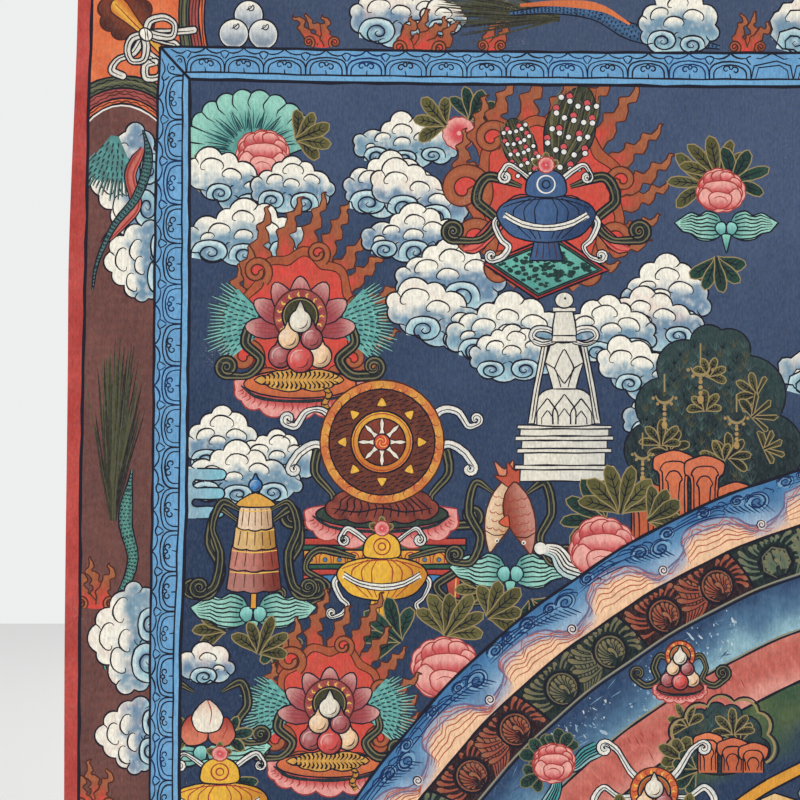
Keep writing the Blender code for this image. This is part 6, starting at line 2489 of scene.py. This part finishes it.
def on_the_rings():
    """What rests on the rings of the great wheel."""
    def polar(r, degrees, size=1.0, upright=True):
        a = math.radians(degrees)
        return Place(WHEEL[0] + r * math.cos(a), WHEEL[1] + r * math.sin(a), size, 0 if upright else degrees + 90)

    for n, degrees in enumerate((225.6, 254, 292, 330, 8, 46, 84, 122, 160, 196)):
        near = 205 < degrees < 262
        p = polar(703, degrees)
        palm(p.then(-8, -6, turn=-62), 4, 26, 12, 110, GREEN, "line_olive", seed=60 + n)
        palm(p.then(6, -12, turn=14), 4, 24, 11, 90, GREEN, "line_olive", seed=80 + n)
        if near:
            palm(p.then(-12, 10, turn=-120), 3, 24, 11, 70, GREEN, "line_olive", seed=90 + n)
        plume(p, [(10, 8), (22, 2), (32, -8), (44, -14)], 16, 4, c(74, 158, 158))
        plume(p, [(4, 14), (2, 26), (-4, 38), (-10, 48)], 15, 4, c(74, 158, 158))
        peony(p, 21, 30 + n)
    for n, degrees in enumerate((238.6, 273, 311, 349, 27, 65, 103, 141, 178, 212)):
        p = polar(702, degrees)
        for m in (False, True):
            scarf(p.then(mirror=m), [(8, -4), (20, -10), (26, 2), (22, 14), (34, 20), (46, 12)], 6.5, coils=(None, (6, 1.3, -1)))
        halo(p.then(0, -10), 15, inner=ORANGE, rim=ORANGE, rays=18, edge=c(206, 96, 60))
        lotus(p.then(0, 22), 24, 7, seat=c(150, 66, 54), pink=c(176, 92, 70))
        jewels(p.then(0, 14), 0.72, ribbon=False)
    for n, (r, degrees) in enumerate(((606, 237.4), (602, 290), (602, 20), (602, 110))):
        p = polar(r, degrees)
        here = 205 < degrees < 250
        tree(p.then(0, 14), 40 + n, 92, 62)
        if here:
            for k, g in (("line_tan", 1.0), ("ink", 1.06)):
                brush(p, lobes([(x * g, -22 + y * g, 0.3) for x, y in ((-44, 30), (-46, 6), (-34, -14), (-12, -26), (14, -30), (38, -20), (48, 2), (46, 30))], closed=False), 2.0 if k == "ink" else 2.6, k, taper=(0.8, 0.8))
            rocks(p.then(12, 14), 30 + n, 3, ORANGE, 36, 26)
            for x, y, g, k in ((-34, 6, -60, OLIVE), (-24, 16, -100, GREEN)):
                palm(p.then(x, y, turn=g), 5, 30, 12, 110, k, seed=130 + n)
    for n, degrees in enumerate((230.2, 262, 294, 326, 358, 30, 62, 94, 126, 158, 190)):
        p = polar(612, degrees)
        for m in (False, True):
            scarf(p.then(mirror=m), [(10, -10), (24, -24), (36, -44), (46, -52)], 7.5, white=True, coils=(None, (6, 1.1, 1)))
            scarf(p.then(mirror=m), [(14, 0), (34, 2), (50, -8), (60, 4), (54, 16)], 7.5, white=True, coils=(None, (6, 1.2, 1)))
        for m in (False, True):
            palm(p.then(26 if not m else -26, 22, turn=80 if not m else -80), 4, 30, 12, 90, OLIVE, seed=120 + n)
        halo(p.then(0, -4), 24, inner=c(226, 112, 60), rim=c(232, 128, 66), rays=22, edge=c(206, 96, 60))
        lotus(p.then(0, 34), 34, 10, seat=c(34, 70, 66))
        jewels(p.then(0, 22), 0.95, ribbon=False)


def gate(place, half):
    """One gate of the walls, in steps, with a peaked roof."""
    for w, lo, hi, colour in ((62, 0, 40, c(196, 74, 62)), (52, 40, 54, WHITE), (74, 54, 66, c(232, 168, 72)), (64, 66, 84, c(70, 130, 186)), (48, 84, 98, c(84, 140, 104)), (34, 98, 112, c(196, 74, 62)), (22, 112, 124, YELLOW)):
        box = cut_up(np.array([(-w, -half - hi), (w, -half - hi), (w, -half - lo), (-w, -half - lo)], float), 22)
        wash(place, box, lambda q, k=colour: mix(k, k * 0.86, 0.5 + 0.5 * ripple(q, 22, 5)), 22)
        brush(place, np.vstack([box, box[:1]]), 2.0, taper=(1, 1), shake=0)
    for x in (-40, -20, 20, 40):
        brush(place, [(x, -half - 2), (x, -half - 20), (x, -half - 38)], 3.0, colour=c(236, 190, 92), taper=(1, 1), shake=0)
    shape(place, [(-12, -half), (-12, -half - 28), (0, -half - 36), (12, -half - 28), (12, -half)], c(44, 60, 90), width=1.8)
    jewel(place, 0, -half - 132, 8, BLUE_DEEP)


def palace():
    """The walled square with four gates, and the lotus at its middle."""
    p = Place(*WHEEL)
    for k in range(4):
        q = p.then(turn=45 + 90 * k)
        bank(q, ((-60, -440, "wide", 1.0, False),), 300 + k)
    for k in range(4):
        gate(p.then(turn=90 * k), 316)
    for half, colour in ((316, WHITE), (302, c(70, 130, 186)), (290, c(196, 74, 62)), (278, c(232, 168, 72)), (266, c(84, 140, 104)), (254, WHITE)):
        box = cut_up(np.array([(-half, -half), (half, -half), (half, half), (-half, half)], float), 24)
        wash(p, box, lambda q, k=colour: mix(k, k * 0.88, 0.5 + 0.5 * ripple(q, 40, 6)), 30)
        brush(p, np.vstack([box, box[:1]]), 2.2, taper=(1, 1), shake=0)
    for k, colour in enumerate((c(88, 146, 190), c(84, 140, 104), c(228, 176, 84), c(196, 84, 70))):
        q = p.then(turn=90 * k)
        wash(q, np.array([(-246, -246), (246, -246), (0, 0)], float), lambda g, kk=colour: mix(kk, kk * 0.82, 0.5 + 0.5 * ripple(g, 46, 8)), 26)
        brush(q, cut_up(np.array([(-246, -246), (246, -246)], float), 30, closed=False), 2.2, taper=(1, 1))
        brush(q, cut_up(np.array([(-246, -246), (0, 0)], float), 30, closed=False), 2.2, taper=(1, 1))
        for x in (-150, -50, 50, 150):
            blossom(q.then(x, -216), 15)
        for x in (-104, 104):
            flower(q.then(x, -172, 0.8), 22, 20 + k, (-90, 90), 34)
    petal_ring(196.0, 152.0, 28, (c(204, 74, 66), c(70, 130, 186), c(232, 168, 72), c(84, 140, 104)))
    wash(p, oval(0, 0, 152, step=8), lambda q: mix(c(60, 96, 128), c(44, 66, 98), ramp(40, 150, np.hypot(q[:, 0], q[:, 1]))), 20)
    brush(p, oval(0, 0, 152, step=8), 2.4, closed=True)
    for k in range(8):
        q = p.then(turn=45 * k)
        shape(q, [(0, -140), (-30, -118), (-38, -88), (-24, -54), (0, -40), (24, -54), (38, -88), (30, -118)], lambda g, kk=(c(226, 120, 110), c(240, 214, 190))[k % 2]: mix(kk, kk * 0.8, ramp(-150, -40, g[:, 1])), width=2.0, step=12)
        blossom(q.then(0, -94), 15)
    halo(p, 46, rays=40)
    wheel_emblem(p, 24)


side(HERE)
side(Place(FAR_X, 0, mirror=True))
middle_top()
middle_foot()
lower_corner(Place(FAR_X, 0, mirror=True))
lower_corner(HERE)
upper_corner(Place(FAR_X, 0, mirror=True))
upper_corner(HERE)
great_wheel()
palace()
on_the_rings()
strip_grounds()
strips()
more_strips()


# --- the frame goes on last -------------------------------------------------------------------
for ix in (0, 1):
    for iy in (0, 1):
        corner_square(cornered(ix, iy))
        corner_knot(cornered(ix, iy))
blue_band()
red_edge()


# --- from the sheet to the cloth --------------------------------------------------------------
def linear(a):
    a = np.clip(a, 0, 1)
    return np.where(a <= 0.04045, a / 12.92, ((a + 0.055) / 1.055) ** 2.4)


ACROSS = (0.0, 0.128, 0.245, 0.362, 0.66, 1.0)  # where the sheet is cut, as shares of its size
DOWN = (0.0, 0.118, 0.224, 0.328, 0.60, 1.0)
CELL = 19.0  # ground of the mosaic, in drawing units

POINTS = np.vstack(ART.points)


def tidy_faces():
    """Faces as arrays, with the crossed and folded four-sided ones cut in two."""
    faces, items, slopes = [], [], []
    for f, k, s in zip(ART.faces, ART.face_item, ART.slopes):
        if len(f) != 4:
            faces.append(f)
            items.append(k)
            slopes.append(s)
            continue
        q = POINTS[f]
        e = np.roll(q, -1, 0) - q
        g = np.roll(e, -1, 0)
        cross = e[:, 0] * g[:, 1] - e[:, 1] * g[:, 0]
        if (cross < -1e-6).all():
            faces.append(f)
            items.append(k)
            slopes.append(s)
            continue
        for t in ((f[0], f[1], f[2]), (f[0], f[2], f[3])):
            a = turn_of(POINTS[list(t)])
            if abs(a) > 2e-3:
                faces.append(list(t) if a < 0 else [t[0], t[2], t[1]])
                items.append(k)
                slopes.append(s)
    return faces, items, slopes


FACES, FACE_ITEM, SLOPES = tidy_faces()
FLAT = np.concatenate([np.array(f) for f in FACES])
LENGTHS = np.array([len(f) for f in FACES])
STARTS = np.concatenate([[0], np.cumsum(LENGTHS)[:-1]])
LOW = np.minimum.reduceat(POINTS[FLAT], STARTS)
HIGH = np.maximum.reduceat(POINTS[FLAT], STARTS)
FACE_ITEM = np.array(FACE_ITEM)
FREE = np.vstack(ART.free)
FREE_ITEM = np.concatenate(ART.free_item)


def tile_mesh(name, x0, y0, x1, y1):
    pick = np.nonzero((LOW[:, 0] < x1) & (HIGH[:, 0] > x0) & (LOW[:, 1] < y1) & (HIGH[:, 1] > y0))[0]
    used = np.unique(np.concatenate([FLAT[STARTS[f]:STARTS[f] + LENGTHS[f]] for f in pick])) if len(pick) else np.zeros(0, int)
    where = {int(v): i for i, v in enumerate(used)}
    faces = [[where[int(v)] for v in FLAT[STARTS[f]:STARTS[f] + LENGTHS[f]]] for f in pick]
    pts = [POINTS[used]]
    count = len(used)
    rim = cut_up(np.array([(x0, y0), (x0, y1), (x1, y1), (x1, y0)], float), 18.0)
    pts.append(rim)
    edges = [(count + i, count + (i + 1) % len(rim)) for i in range(len(rim))]
    count += len(rim)
    nx, ny = int(round((x1 - x0) / CELL)), int(round((y1 - y0) / CELL))
    gx, gy = np.meshgrid(np.linspace(x0, x1, nx + 1)[1:-1], np.linspace(y0, y1, ny + 1)[1:-1])
    pts.append(np.stack([gx.ravel(), gy.ravel()], 1))
    count_2 = count + len(pts[-1])
    f = np.nonzero((FREE[:, 0] > x0 + 0.5) & (FREE[:, 0] < x1 - 0.5) & (FREE[:, 1] > y0 + 0.5) & (FREE[:, 1] < y1 - 0.5))[0]
    pts.append(FREE[f])
    owner = np.concatenate([np.full(count, -5), np.full(count_2 - count, -4), FREE_ITEM[f]])
    p = np.vstack(pts)
    verts = [Vector((a - x0, y0 - b)) for a, b in p]
    out_v, _, out_f, orig_v, _, orig_f = delaunay_2d_cdt(verts, edges, faces, 0, 1e-4, True)
    v = np.array([(q.x + x0, y0 - q.y) for q in out_v])
    tri = np.array(out_f, int)
    mid = v[tri].mean(1)
    low, high = LOW[pick], HIGH[pick]
    keep = (mid[:, 0] > x0) & (mid[:, 0] < x1) & (mid[:, 1] > y0) & (mid[:, 1] < y1)
    top = np.full(len(tri), -1)
    for i in np.nonzero(keep)[0]:
        for k in sorted(orig_f[i], reverse=True):
            if low[k, 0] - 0.01 <= mid[i, 0] <= high[k, 0] + 0.01 and low[k, 1] - 0.01 <= mid[i, 1] <= high[k, 1] + 0.01:
                top[i] = k
                break
    face = np.where(top >= 0, np.append(pick, -1)[np.maximum(top, 0)], -1)
    item = np.where(face >= 0, FACE_ITEM[np.maximum(face, 0)], -1)
    # what each triangle shows; where it is the same on both sides of an edge, that edge can go
    shows = item.copy()
    for k in np.unique(item):
        if k >= 0:
            which, tint = ART.items[k]
            if tint is None:
                shows[item == k] = -10 - which
            elif isinstance(tint, str):
                shows[item == k] = 10**8 + face[item == k]
    shows[~keep] = -2
    sides = np.concatenate([tri[:, [0, 1]], tri[:, [1, 2]], tri[:, [2, 0]]])
    sides.sort(axis=1)
    code = sides[:, 0].astype(np.int64) * len(v) + sides[:, 1]
    order = np.argsort(code, kind="stable")
    code, what = code[order], np.tile(shows, 3)[order]
    first = np.concatenate([[True], code[1:] != code[:-1]])
    twin = np.zeros(len(code), bool)
    twin[:-1] = ~first[1:] & first[:-1]
    differ = np.ones(len(code), bool)
    differ[:-1] = what[1:] != what[:-1]
    held = first & (~twin | differ) & ((what != -2) | (twin & np.append(what[1:] != -2, False)))
    ends = np.stack([code[held] // len(v), code[held] % len(v)], 1)
    on_edge = np.zeros(len(v), bool)
    on_edge[ends.ravel()] = True
    own = np.array([max((owner[k] for k in o), default=-5) for o in orig_v])
    about = np.full(len(v), -9)
    about[tri.ravel()] = np.repeat(item, 3)
    alone = ~on_edge & ((own == -4) | ((own >= 0) & (own == about)))
    alone &= (v[:, 0] > x0) & (v[:, 0] < x1) & (v[:, 1] > y0) & (v[:, 1] < y1)
    chosen = np.nonzero(on_edge | alone)[0]
    again = np.full(len(v), -1)
    again[chosen] = np.arange(len(chosen))
    old = BVHTree.FromPolygons([(float(a), float(b), 0.0) for a, b in v], tri[keep].tolist())
    old_of = np.nonzero(keep)[0]
    new_v, _, new_f, _, _, _ = delaunay_2d_cdt([Vector((a - x0, y0 - b)) for a, b in v[chosen]], again[ends].tolist(), [], 0, 1e-5, False)
    v = np.array([(q.x + x0, y0 - q.y) for q in new_v])
    tri = np.array(new_f, int)
    mid = v[tri].mean(1)
    area = np.abs((v[tri[:, 1]] - v[tri[:, 0]])[:, 0] * (v[tri[:, 2]] - v[tri[:, 0]])[:, 1] - (v[tri[:, 1]] - v[tri[:, 0]])[:, 1] * (v[tri[:, 2]] - v[tri[:, 0]])[:, 0])
    keep = area > 1e-5
    tri, mid = tri[keep], mid[keep]
    was = np.array([old_of[old.find_nearest((float(a), float(b), 0.0))[2]] for a, b in mid])
    item, face = item[was], face[was]
    corner = v[tri]  # n, 3, 2
    colour = np.zeros((len(tri), 3, 3))
    slot = np.zeros(len(tri), int)
    bare = item < 0
    colour[bare] = ground(corner[bare].reshape(-1, 2)).reshape(-1, 3, 3)
    order = np.argsort(item, kind="stable")
    cuts = np.nonzero(np.diff(item[order]))[0] + 1
    for group in np.split(order, cuts):
        k = item[group[0]]
        if k < 0:
            continue
        slot[group], tint = ART.items[k]
        if tint is None:
            continue
        if isinstance(tint, str):
            for i in group:
                o, m = SLOPES[face[i]]
                colour[i] = np.hstack([np.ones((3, 1)), corner[i] - o]) @ m
        elif callable(tint):
            colour[group] = tint(corner[group].reshape(-1, 2)).reshape(-1, 3, 3)
        else:
            colour[group] = tint
    mesh = bpy.data.meshes.new(name)
    # the triangles run anticlockwise with y down turned up, so they face the viewer
    mesh.from_pydata(on_cloth(v, SKIN).tolist(), [], tri.tolist())
    layer = mesh.color_attributes.new("Col", "FLOAT_COLOR", "CORNER")
    rgba = np.ones((len(tri) * 3, 4))
    rgba[:, :3] = linear(colour.reshape(-1, 3))
    layer.data.foreach_set("color", rgba.ravel().astype(np.float32))
    uv = mesh.uv_layers.new(name="OFBake")
    flat = corner.reshape(-1, 2)
    size = max(x1 - x0, y1 - y0)
    uv.data.foreach_set("uv", (np.stack([(flat[:, 0] - x0) / size, (y1 - flat[:, 1]) / size], 1) * 0.996 + 0.002).ravel().astype(np.float32))
    mesh.polygons.foreach_set("material_index", slot.astype(np.int32))
    mesh.polygons.foreach_set("use_smooth", np.ones(len(tri), bool))
    mesh.update()
    return mesh


# --- materials --------------------------------------------------------------------------------
def node(tree, kind, at=(0, 0), **values):
    n = tree.nodes.new(kind)
    n.location = at
    for key, value in values.items():
        setattr(n, key, value)
    return n


def weave(tree, coords, push=1.0):
    """The cotton's threads: fine upright ridges, crossed by finer level ones. Gives a height, about 0 to 1."""
    link = tree.links.new
    heights = []
    for direction, apart, share, drift in (("X", 0.76, 0.62, 1.3), ("Z", 0.52, 0.38, 1.0)):
        w = node(tree, "ShaderNodeTexWave", wave_type="BANDS", bands_direction=direction, wave_profile="SIN")
        w.inputs["Scale"].default_value = 2 * math.pi / 20 / apart
        w.inputs["Distortion"].default_value = drift
        w.inputs["Detail"].default_value = 2.0
        w.inputs["Detail Scale"].default_value = 0.9
        link(coords, w.inputs["Vector"])
        heights.append((w.outputs["Fac"], share))
    add = None
    for out, share in heights:
        m = node(tree, "ShaderNodeMath", operation="MULTIPLY")
        link(out, m.inputs[0])
        m.inputs[1].default_value = share
        if add is None:
            add = m.outputs[0]
        else:
            s = node(tree, "ShaderNodeMath", operation="ADD")
            link(add, s.inputs[0])
            link(m.outputs[0], s.inputs[1])
            add = s.outputs[0]
    return add


def cloth_coords(tree, per_metre=1000.0):
    geo = node(tree, "ShaderNodeTexCoord")
    m = node(tree, "ShaderNodeMapping")
    m.inputs["Scale"].default_value = (per_metre, per_metre, per_metre)
    tree.links.new(geo.outputs["Object"], m.inputs["Vector"])
    return m.outputs["Vector"]


def painted(name, colour=None, rough=0.80):
    """Matt paint on cotton. With no colour of its own it takes the drawing's, and wears a little."""
    mat = bpy.data.materials.new(name)
    mat.use_nodes = True
    t = mat.node_tree
    t.nodes.clear()
    link = t.links.new
    out = node(t, "ShaderNodeOutputMaterial", (600, 0))
    bsdf = node(t, "ShaderNodeBsdfPrincipled", (300, 0))
    link(bsdf.outputs[0], out.inputs["Surface"])
    bsdf.inputs["Roughness"].default_value = rough
    bsdf.inputs["Specular IOR Level"].default_value = 0.14
    mm = cloth_coords(t)
    threads = weave(t, mm)
    bump = node(t, "ShaderNodeBump")
    bump.inputs["Strength"].default_value = 0.30
    bump.inputs["Distance"].default_value = 0.00010
    link(threads, bump.inputs["Height"])
    link(bump.outputs[0], bsdf.inputs["Normal"])
    if colour is not None:
        bsdf.inputs["Base Color"].default_value = (*linear(colour), 1)
        return mat
    col = node(t, "ShaderNodeVertexColor", layer_name="Col")
    # painted shade: darker in the hollows between the threads, lighter on their crowns
    tone = node(t, "ShaderNodeMapRange")
    tone.inputs["To Min"].default_value = 0.965
    tone.inputs["To Max"].default_value = 1.045
    link(threads, tone.inputs["Value"])
    # brush streaks, longer than wide, and soft clouds of thicker and thinner paint
    streak = node(t, "ShaderNodeTexNoise")
    streak.inputs["Scale"].default_value = 1.0
    streak.inputs["Detail"].default_value = 4.0
    sm = node(t, "ShaderNodeMapping")
    sm.inputs["Scale"].default_value = (0.9, 0.9, 0.16)
    link(mm, sm.inputs["Vector"])
    link(sm.outputs[0], streak.inputs["Vector"])
    sr = node(t, "ShaderNodeMapRange")
    sr.inputs["From Min"].default_value = 0.25
    sr.inputs["From Max"].default_value = 0.75
    sr.inputs["To Min"].default_value = 0.965
    sr.inputs["To Max"].default_value = 1.04
    link(streak.outputs["Fac"], sr.inputs["Value"])
    grain = node(t, "ShaderNodeTexNoise")
    grain.inputs["Scale"].default_value = 1.15
    grain.inputs["Detail"].default_value = 4.0
    grain.inputs["Roughness"].default_value = 0.65
    gm = node(t, "ShaderNodeMapping")
    gm.inputs["Scale"].default_value = (1.6, 1.6, 0.7)
    link(mm, gm.inputs["Vector"])
    link(gm.outputs[0], grain.inputs["Vector"])
    gr = node(t, "ShaderNodeMapRange")
    gr.inputs["From Min"].default_value = 0.30
    gr.inputs["From Max"].default_value = 0.70
    gr.inputs["To Min"].default_value = 0.80
    gr.inputs["To Max"].default_value = 1.20
    link(grain.outputs["Fac"], gr.inputs["Value"])
    product = node(t, "ShaderNodeMath", operation="MULTIPLY")
    link(tone.outputs[0], product.inputs[0])
    link(sr.outputs[0], product.inputs[1])
    product2 = node(t, "ShaderNodeMath", operation="MULTIPLY")
    link(product.outputs[0], product2.inputs[0])
    link(gr.outputs[0], product2.inputs[1])
    scale = node(t, "ShaderNodeVectorMath", operation="SCALE")
    link(col.outputs["Color"], scale.inputs[0])
    link(product2.outputs[0], scale.inputs["Scale"])
    # painted sheen on the threads' crowns, partly a dusty bloom: a grey mixed in that lightens the dark paint
    dust_and_sheen_noise = node(t, "ShaderNodeTexNoise")
    dust_and_sheen_noise.inputs["Scale"].default_value = 1.4
    dust_and_sheen_noise.inputs["Detail"].default_value = 2.0
    dust_and_sheen_noise.inputs["Roughness"].default_value = 0.6
    link(gm.outputs[0], dust_and_sheen_noise.inputs["Vector"])
    dr = node(t, "ShaderNodeMapRange")
    dr.inputs["From Min"].default_value = 0.42
    dr.inputs["From Max"].default_value = 0.72
    dr.inputs["To Min"].default_value = 0.0
    dr.inputs["To Max"].default_value = 0.17
    link(dust_and_sheen_noise.outputs["Fac"], dr.inputs["Value"])
    dust_and_sheen = node(t, "ShaderNodeMix", data_type="RGBA")
    dust_and_sheen.inputs["B"].default_value = (0.19, 0.20, 0.21, 1)
    link(dr.outputs[0], dust_and_sheen.inputs["Factor"])
    link(scale.outputs[0], dust_and_sheen.inputs["A"])
    # small places where the paint has rubbed off a thread's crown
    worn = node(t, "ShaderNodeTexNoise")
    worn.inputs["Scale"].default_value = 2.4
    worn.inputs["Detail"].default_value = 5.0
    worn.inputs["Roughness"].default_value = 0.7
    link(mm, worn.inputs["Vector"])
    where = node(t, "ShaderNodeTexNoise")
    where.inputs["Scale"].default_value = 0.06
    where.inputs["Detail"].default_value = 2.0
    link(mm, where.inputs["Vector"])
    both = node(t, "ShaderNodeMath", operation="MULTIPLY")
    link(worn.outputs["Fac"], both.inputs[0])
    link(where.outputs["Fac"], both.inputs[1])
    cut = node(t, "ShaderNodeMapRange")
    cut.inputs["From Min"].default_value = 0.40
    cut.inputs["From Max"].default_value = 0.46
    link(both.outputs[0], cut.inputs["Value"])
    rub = node(t, "ShaderNodeMix", data_type="RGBA")
    rub.inputs["B"].default_value = (*linear(c(196, 190, 178)), 1)
    part = node(t, "ShaderNodeMath", operation="MULTIPLY")
    link(cut.outputs[0], part.inputs[0])
    part.inputs[1].default_value = 0.45
    link(part.outputs[0], rub.inputs["Factor"])
    link(dust_and_sheen.outputs["Result"], rub.inputs["A"])
    link(rub.outputs["Result"], bsdf.inputs["Base Color"])
    rr = node(t, "ShaderNodeMapRange")
    rr.inputs["To Min"].default_value = rough - 0.10
    rr.inputs["To Max"].default_value = rough + 0.10
    link(streak.outputs["Fac"], rr.inputs["Value"])
    link(rr.outputs[0], bsdf.inputs["Roughness"])
    return mat


def raw_cotton(name):
    """The bare cloth: seen from behind, along the edges, and wherever the paint ends."""
    mat = bpy.data.materials.new(name)
    mat.use_nodes = True
    t = mat.node_tree
    t.nodes.clear()
    link = t.links.new
    out = node(t, "ShaderNodeOutputMaterial")
    bsdf = node(t, "ShaderNodeBsdfPrincipled")
    link(bsdf.outputs[0], out.inputs["Surface"])
    bsdf.inputs["Roughness"].default_value = 0.92
    bsdf.inputs["Specular IOR Level"].default_value = 0.15
    mm = cloth_coords(t)
    threads = weave(t, mm)
    blotch = node(t, "ShaderNodeTexNoise")
    blotch.inputs["Scale"].default_value = 0.035
    blotch.inputs["Detail"].default_value = 5.0
    link(mm, blotch.inputs["Vector"])
    colours = node(t, "ShaderNodeMix", data_type="RGBA")
    colours.inputs["A"].default_value = (*linear(c(206, 190, 160)), 1)
    colours.inputs["B"].default_value = (*linear(c(226, 214, 190)), 1)
    link(blotch.outputs["Fac"], colours.inputs["Factor"])
    shade = node(t, "ShaderNodeMapRange")
    shade.inputs["To Min"].default_value = 0.86
    shade.inputs["To Max"].default_value = 1.05
    link(threads, shade.inputs["Value"])
    fleck = node(t, "ShaderNodeTexNoise")
    fleck.inputs["Scale"].default_value = 1.6
    fleck.inputs["Detail"].default_value = 4.0
    link(mm, fleck.inputs["Vector"])
    fr = node(t, "ShaderNodeMapRange")
    fr.inputs["To Min"].default_value = 0.86
    fr.inputs["To Max"].default_value = 1.10
    link(fleck.outputs["Fac"], fr.inputs["Value"])
    m = node(t, "ShaderNodeMath", operation="MULTIPLY")
    link(shade.outputs[0], m.inputs[0])
    link(fr.outputs[0], m.inputs[1])
    scale = node(t, "ShaderNodeVectorMath", operation="SCALE")
    link(colours.outputs["Result"], scale.inputs[0])
    link(m.outputs[0], scale.inputs["Scale"])
    link(scale.outputs[0], bsdf.inputs["Base Color"])
    bump = node(t, "ShaderNodeBump")
    bump.inputs["Strength"].default_value = 0.6
    bump.inputs["Distance"].default_value = 0.00014
    link(threads, bump.inputs["Height"])
    link(bump.outputs[0], bsdf.inputs["Normal"])
    return mat


# --- pieces -----------------------------------------------------------------------------------
def add(name, mesh, materials):
    o = bpy.data.objects.new(name, mesh)
    bpy.context.scene.collection.objects.link(o)
    for m in materials:
        mesh.materials.append(m)
    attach(o, "root")
    return o


def canvas():
    """The cotton itself, one closed sheet with the cloth's own waves."""
    across, down = 58, 77
    u, v = np.meshgrid(np.linspace(0, 1, across + 1), np.linspace(0, 1, down + 1))
    flat = np.stack([LEFT_X + (RIGHT_X - LEFT_X) * u.ravel(), TOP_Y + (FOOT_Y - TOP_Y) * v.ravel()], 1)
    front = on_cloth(flat, 0.0)
    back = front + (0, THICK, 0)
    front = front + (0, 0.00008, 0)
    n = len(flat)
    faces = []
    w = across + 1
    for j in range(down):
        for i in range(across):
            a = j * w + i
            faces.append((a, a + w, a + w + 1, a + 1))
            faces.append((n + a, n + a + 1, n + a + w + 1, n + a + w))
    ring = [i for i in range(w)] + [j * w + across for j in range(1, down + 1)]
    ring += [down * w + i for i in range(across - 1, -1, -1)] + [j * w for j in range(down - 1, 0, -1)]
    for i, a in enumerate(ring):
        b = ring[(i + 1) % len(ring)]
        faces.append((a, b, n + b, n + a))
    mesh = bpy.data.meshes.new("canvas")
    mesh.from_pydata(np.vstack([front, back]).tolist(), [], faces)
    mesh.polygons.foreach_set("use_smooth", np.ones(len(faces), bool))
    sides = np.zeros(len(mesh.edges), bool)
    on_rim = set(ring)
    for e in mesh.edges:
        a, b = e.vertices
        if (a in on_rim and b in on_rim) or (a - n in on_rim and b - n in on_rim):
            e.use_edge_sharp = True
    mesh.update()
    return mesh


cloth = add("canvas", canvas(), [raw_cotton("raw_cotton")])
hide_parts("painted_cloth")

PAINTS = [painted("paint")] + [painted(name, colour) for name, colour in INKS.items()]
for row, (ya, yb) in enumerate(zip(DOWN, DOWN[1:])):
    for column, (xa, xb) in enumerate(zip(ACROSS, ACROSS[1:])):
        wide, high = RIGHT_X - LEFT_X, FOOT_Y - TOP_Y
        mesh = tile_mesh(f"painting_r{row}_c{column}", LEFT_X + xa * wide, TOP_Y + ya * high, LEFT_X + xb * wide, TOP_Y + yb * high)
        add(mesh.name, mesh, PAINTS)

# --- camera, light, floor ---------------------------------------------------------------------
scene = bpy.context.scene
FRAME_WIDE = 800 * UNIT
LENS = 60.0
AIM = Vector(((400 - MID_X) * UNIT, 0.0, -(400 - TOP_Y) * UNIT))
cam = bpy.data.objects.new("camera", bpy.data.cameras.new("camera"))
cam.data.lens = LENS
cam.data.sensor_width = 36.0
cam.data.clip_start = 0.01
cam.location = AIM + Vector((0, -(FRAME_WIDE * LENS / 36.0) - THICK / 2, 0))
cam.rotation_euler = (math.radians(90), 0, 0)
scene.collection.objects.link(cam)
scene.camera = cam


def lamp(name, at, aim, size, power):
    d = bpy.data.lights.new(name, "AREA")
    d.shape = "SQUARE"
    d.size = size
    d.energy = power
    o = bpy.data.objects.new(name, d)
    o.location = at
    o.rotation_euler = (Vector(aim) - Vector(at)).to_track_quat("-Z", "Y").to_euler()
    scene.collection.objects.link(o)
    return o


lamp("key_light", (-1.7, -1.9, 0.9), (0, 0, -0.3), 1.4, 11)
lamp("fill_light", (1.9, -1.7, 0.3), (0, 0, -0.3), 1.8, 3)
lamp("back_light", (0.6, 2.2, 0.8), (0, 0, -0.3), 1.8, 16)

floor_mesh = bpy.data.meshes.new("floor")
floor_mesh.from_pydata([(-3, -3, -0.66), (3, -3, -0.66), (3, 3, -0.66), (-3, 3, -0.66)], [], [(0, 1, 2, 3)])
floor = bpy.data.objects.new("floor", floor_mesh)
scene.collection.objects.link(floor)
plain = bpy.data.materials.new("floor_pale")
plain.use_nodes = True
plain.node_tree.nodes["Principled BSDF"].inputs["Base Color"].default_value = (0.74, 0.74, 0.73, 1)
plain.node_tree.nodes["Principled BSDF"].inputs["Roughness"].default_value = 0.9
floor_mesh.materials.append(plain)

world = bpy.data.worlds.new("world")
scene.world = world
world.use_nodes = True
world.node_tree.nodes["Background"].inputs["Color"].default_value = (0.95, 0.955, 0.96, 1)
world.node_tree.nodes["Background"].inputs["Strength"].default_value = 0.90
scene.view_settings.view_transform = "Standard"
scene.view_settings.look = "None"
scene.view_settings.exposure = 0.0
scene.view_settings.gamma = 1.0
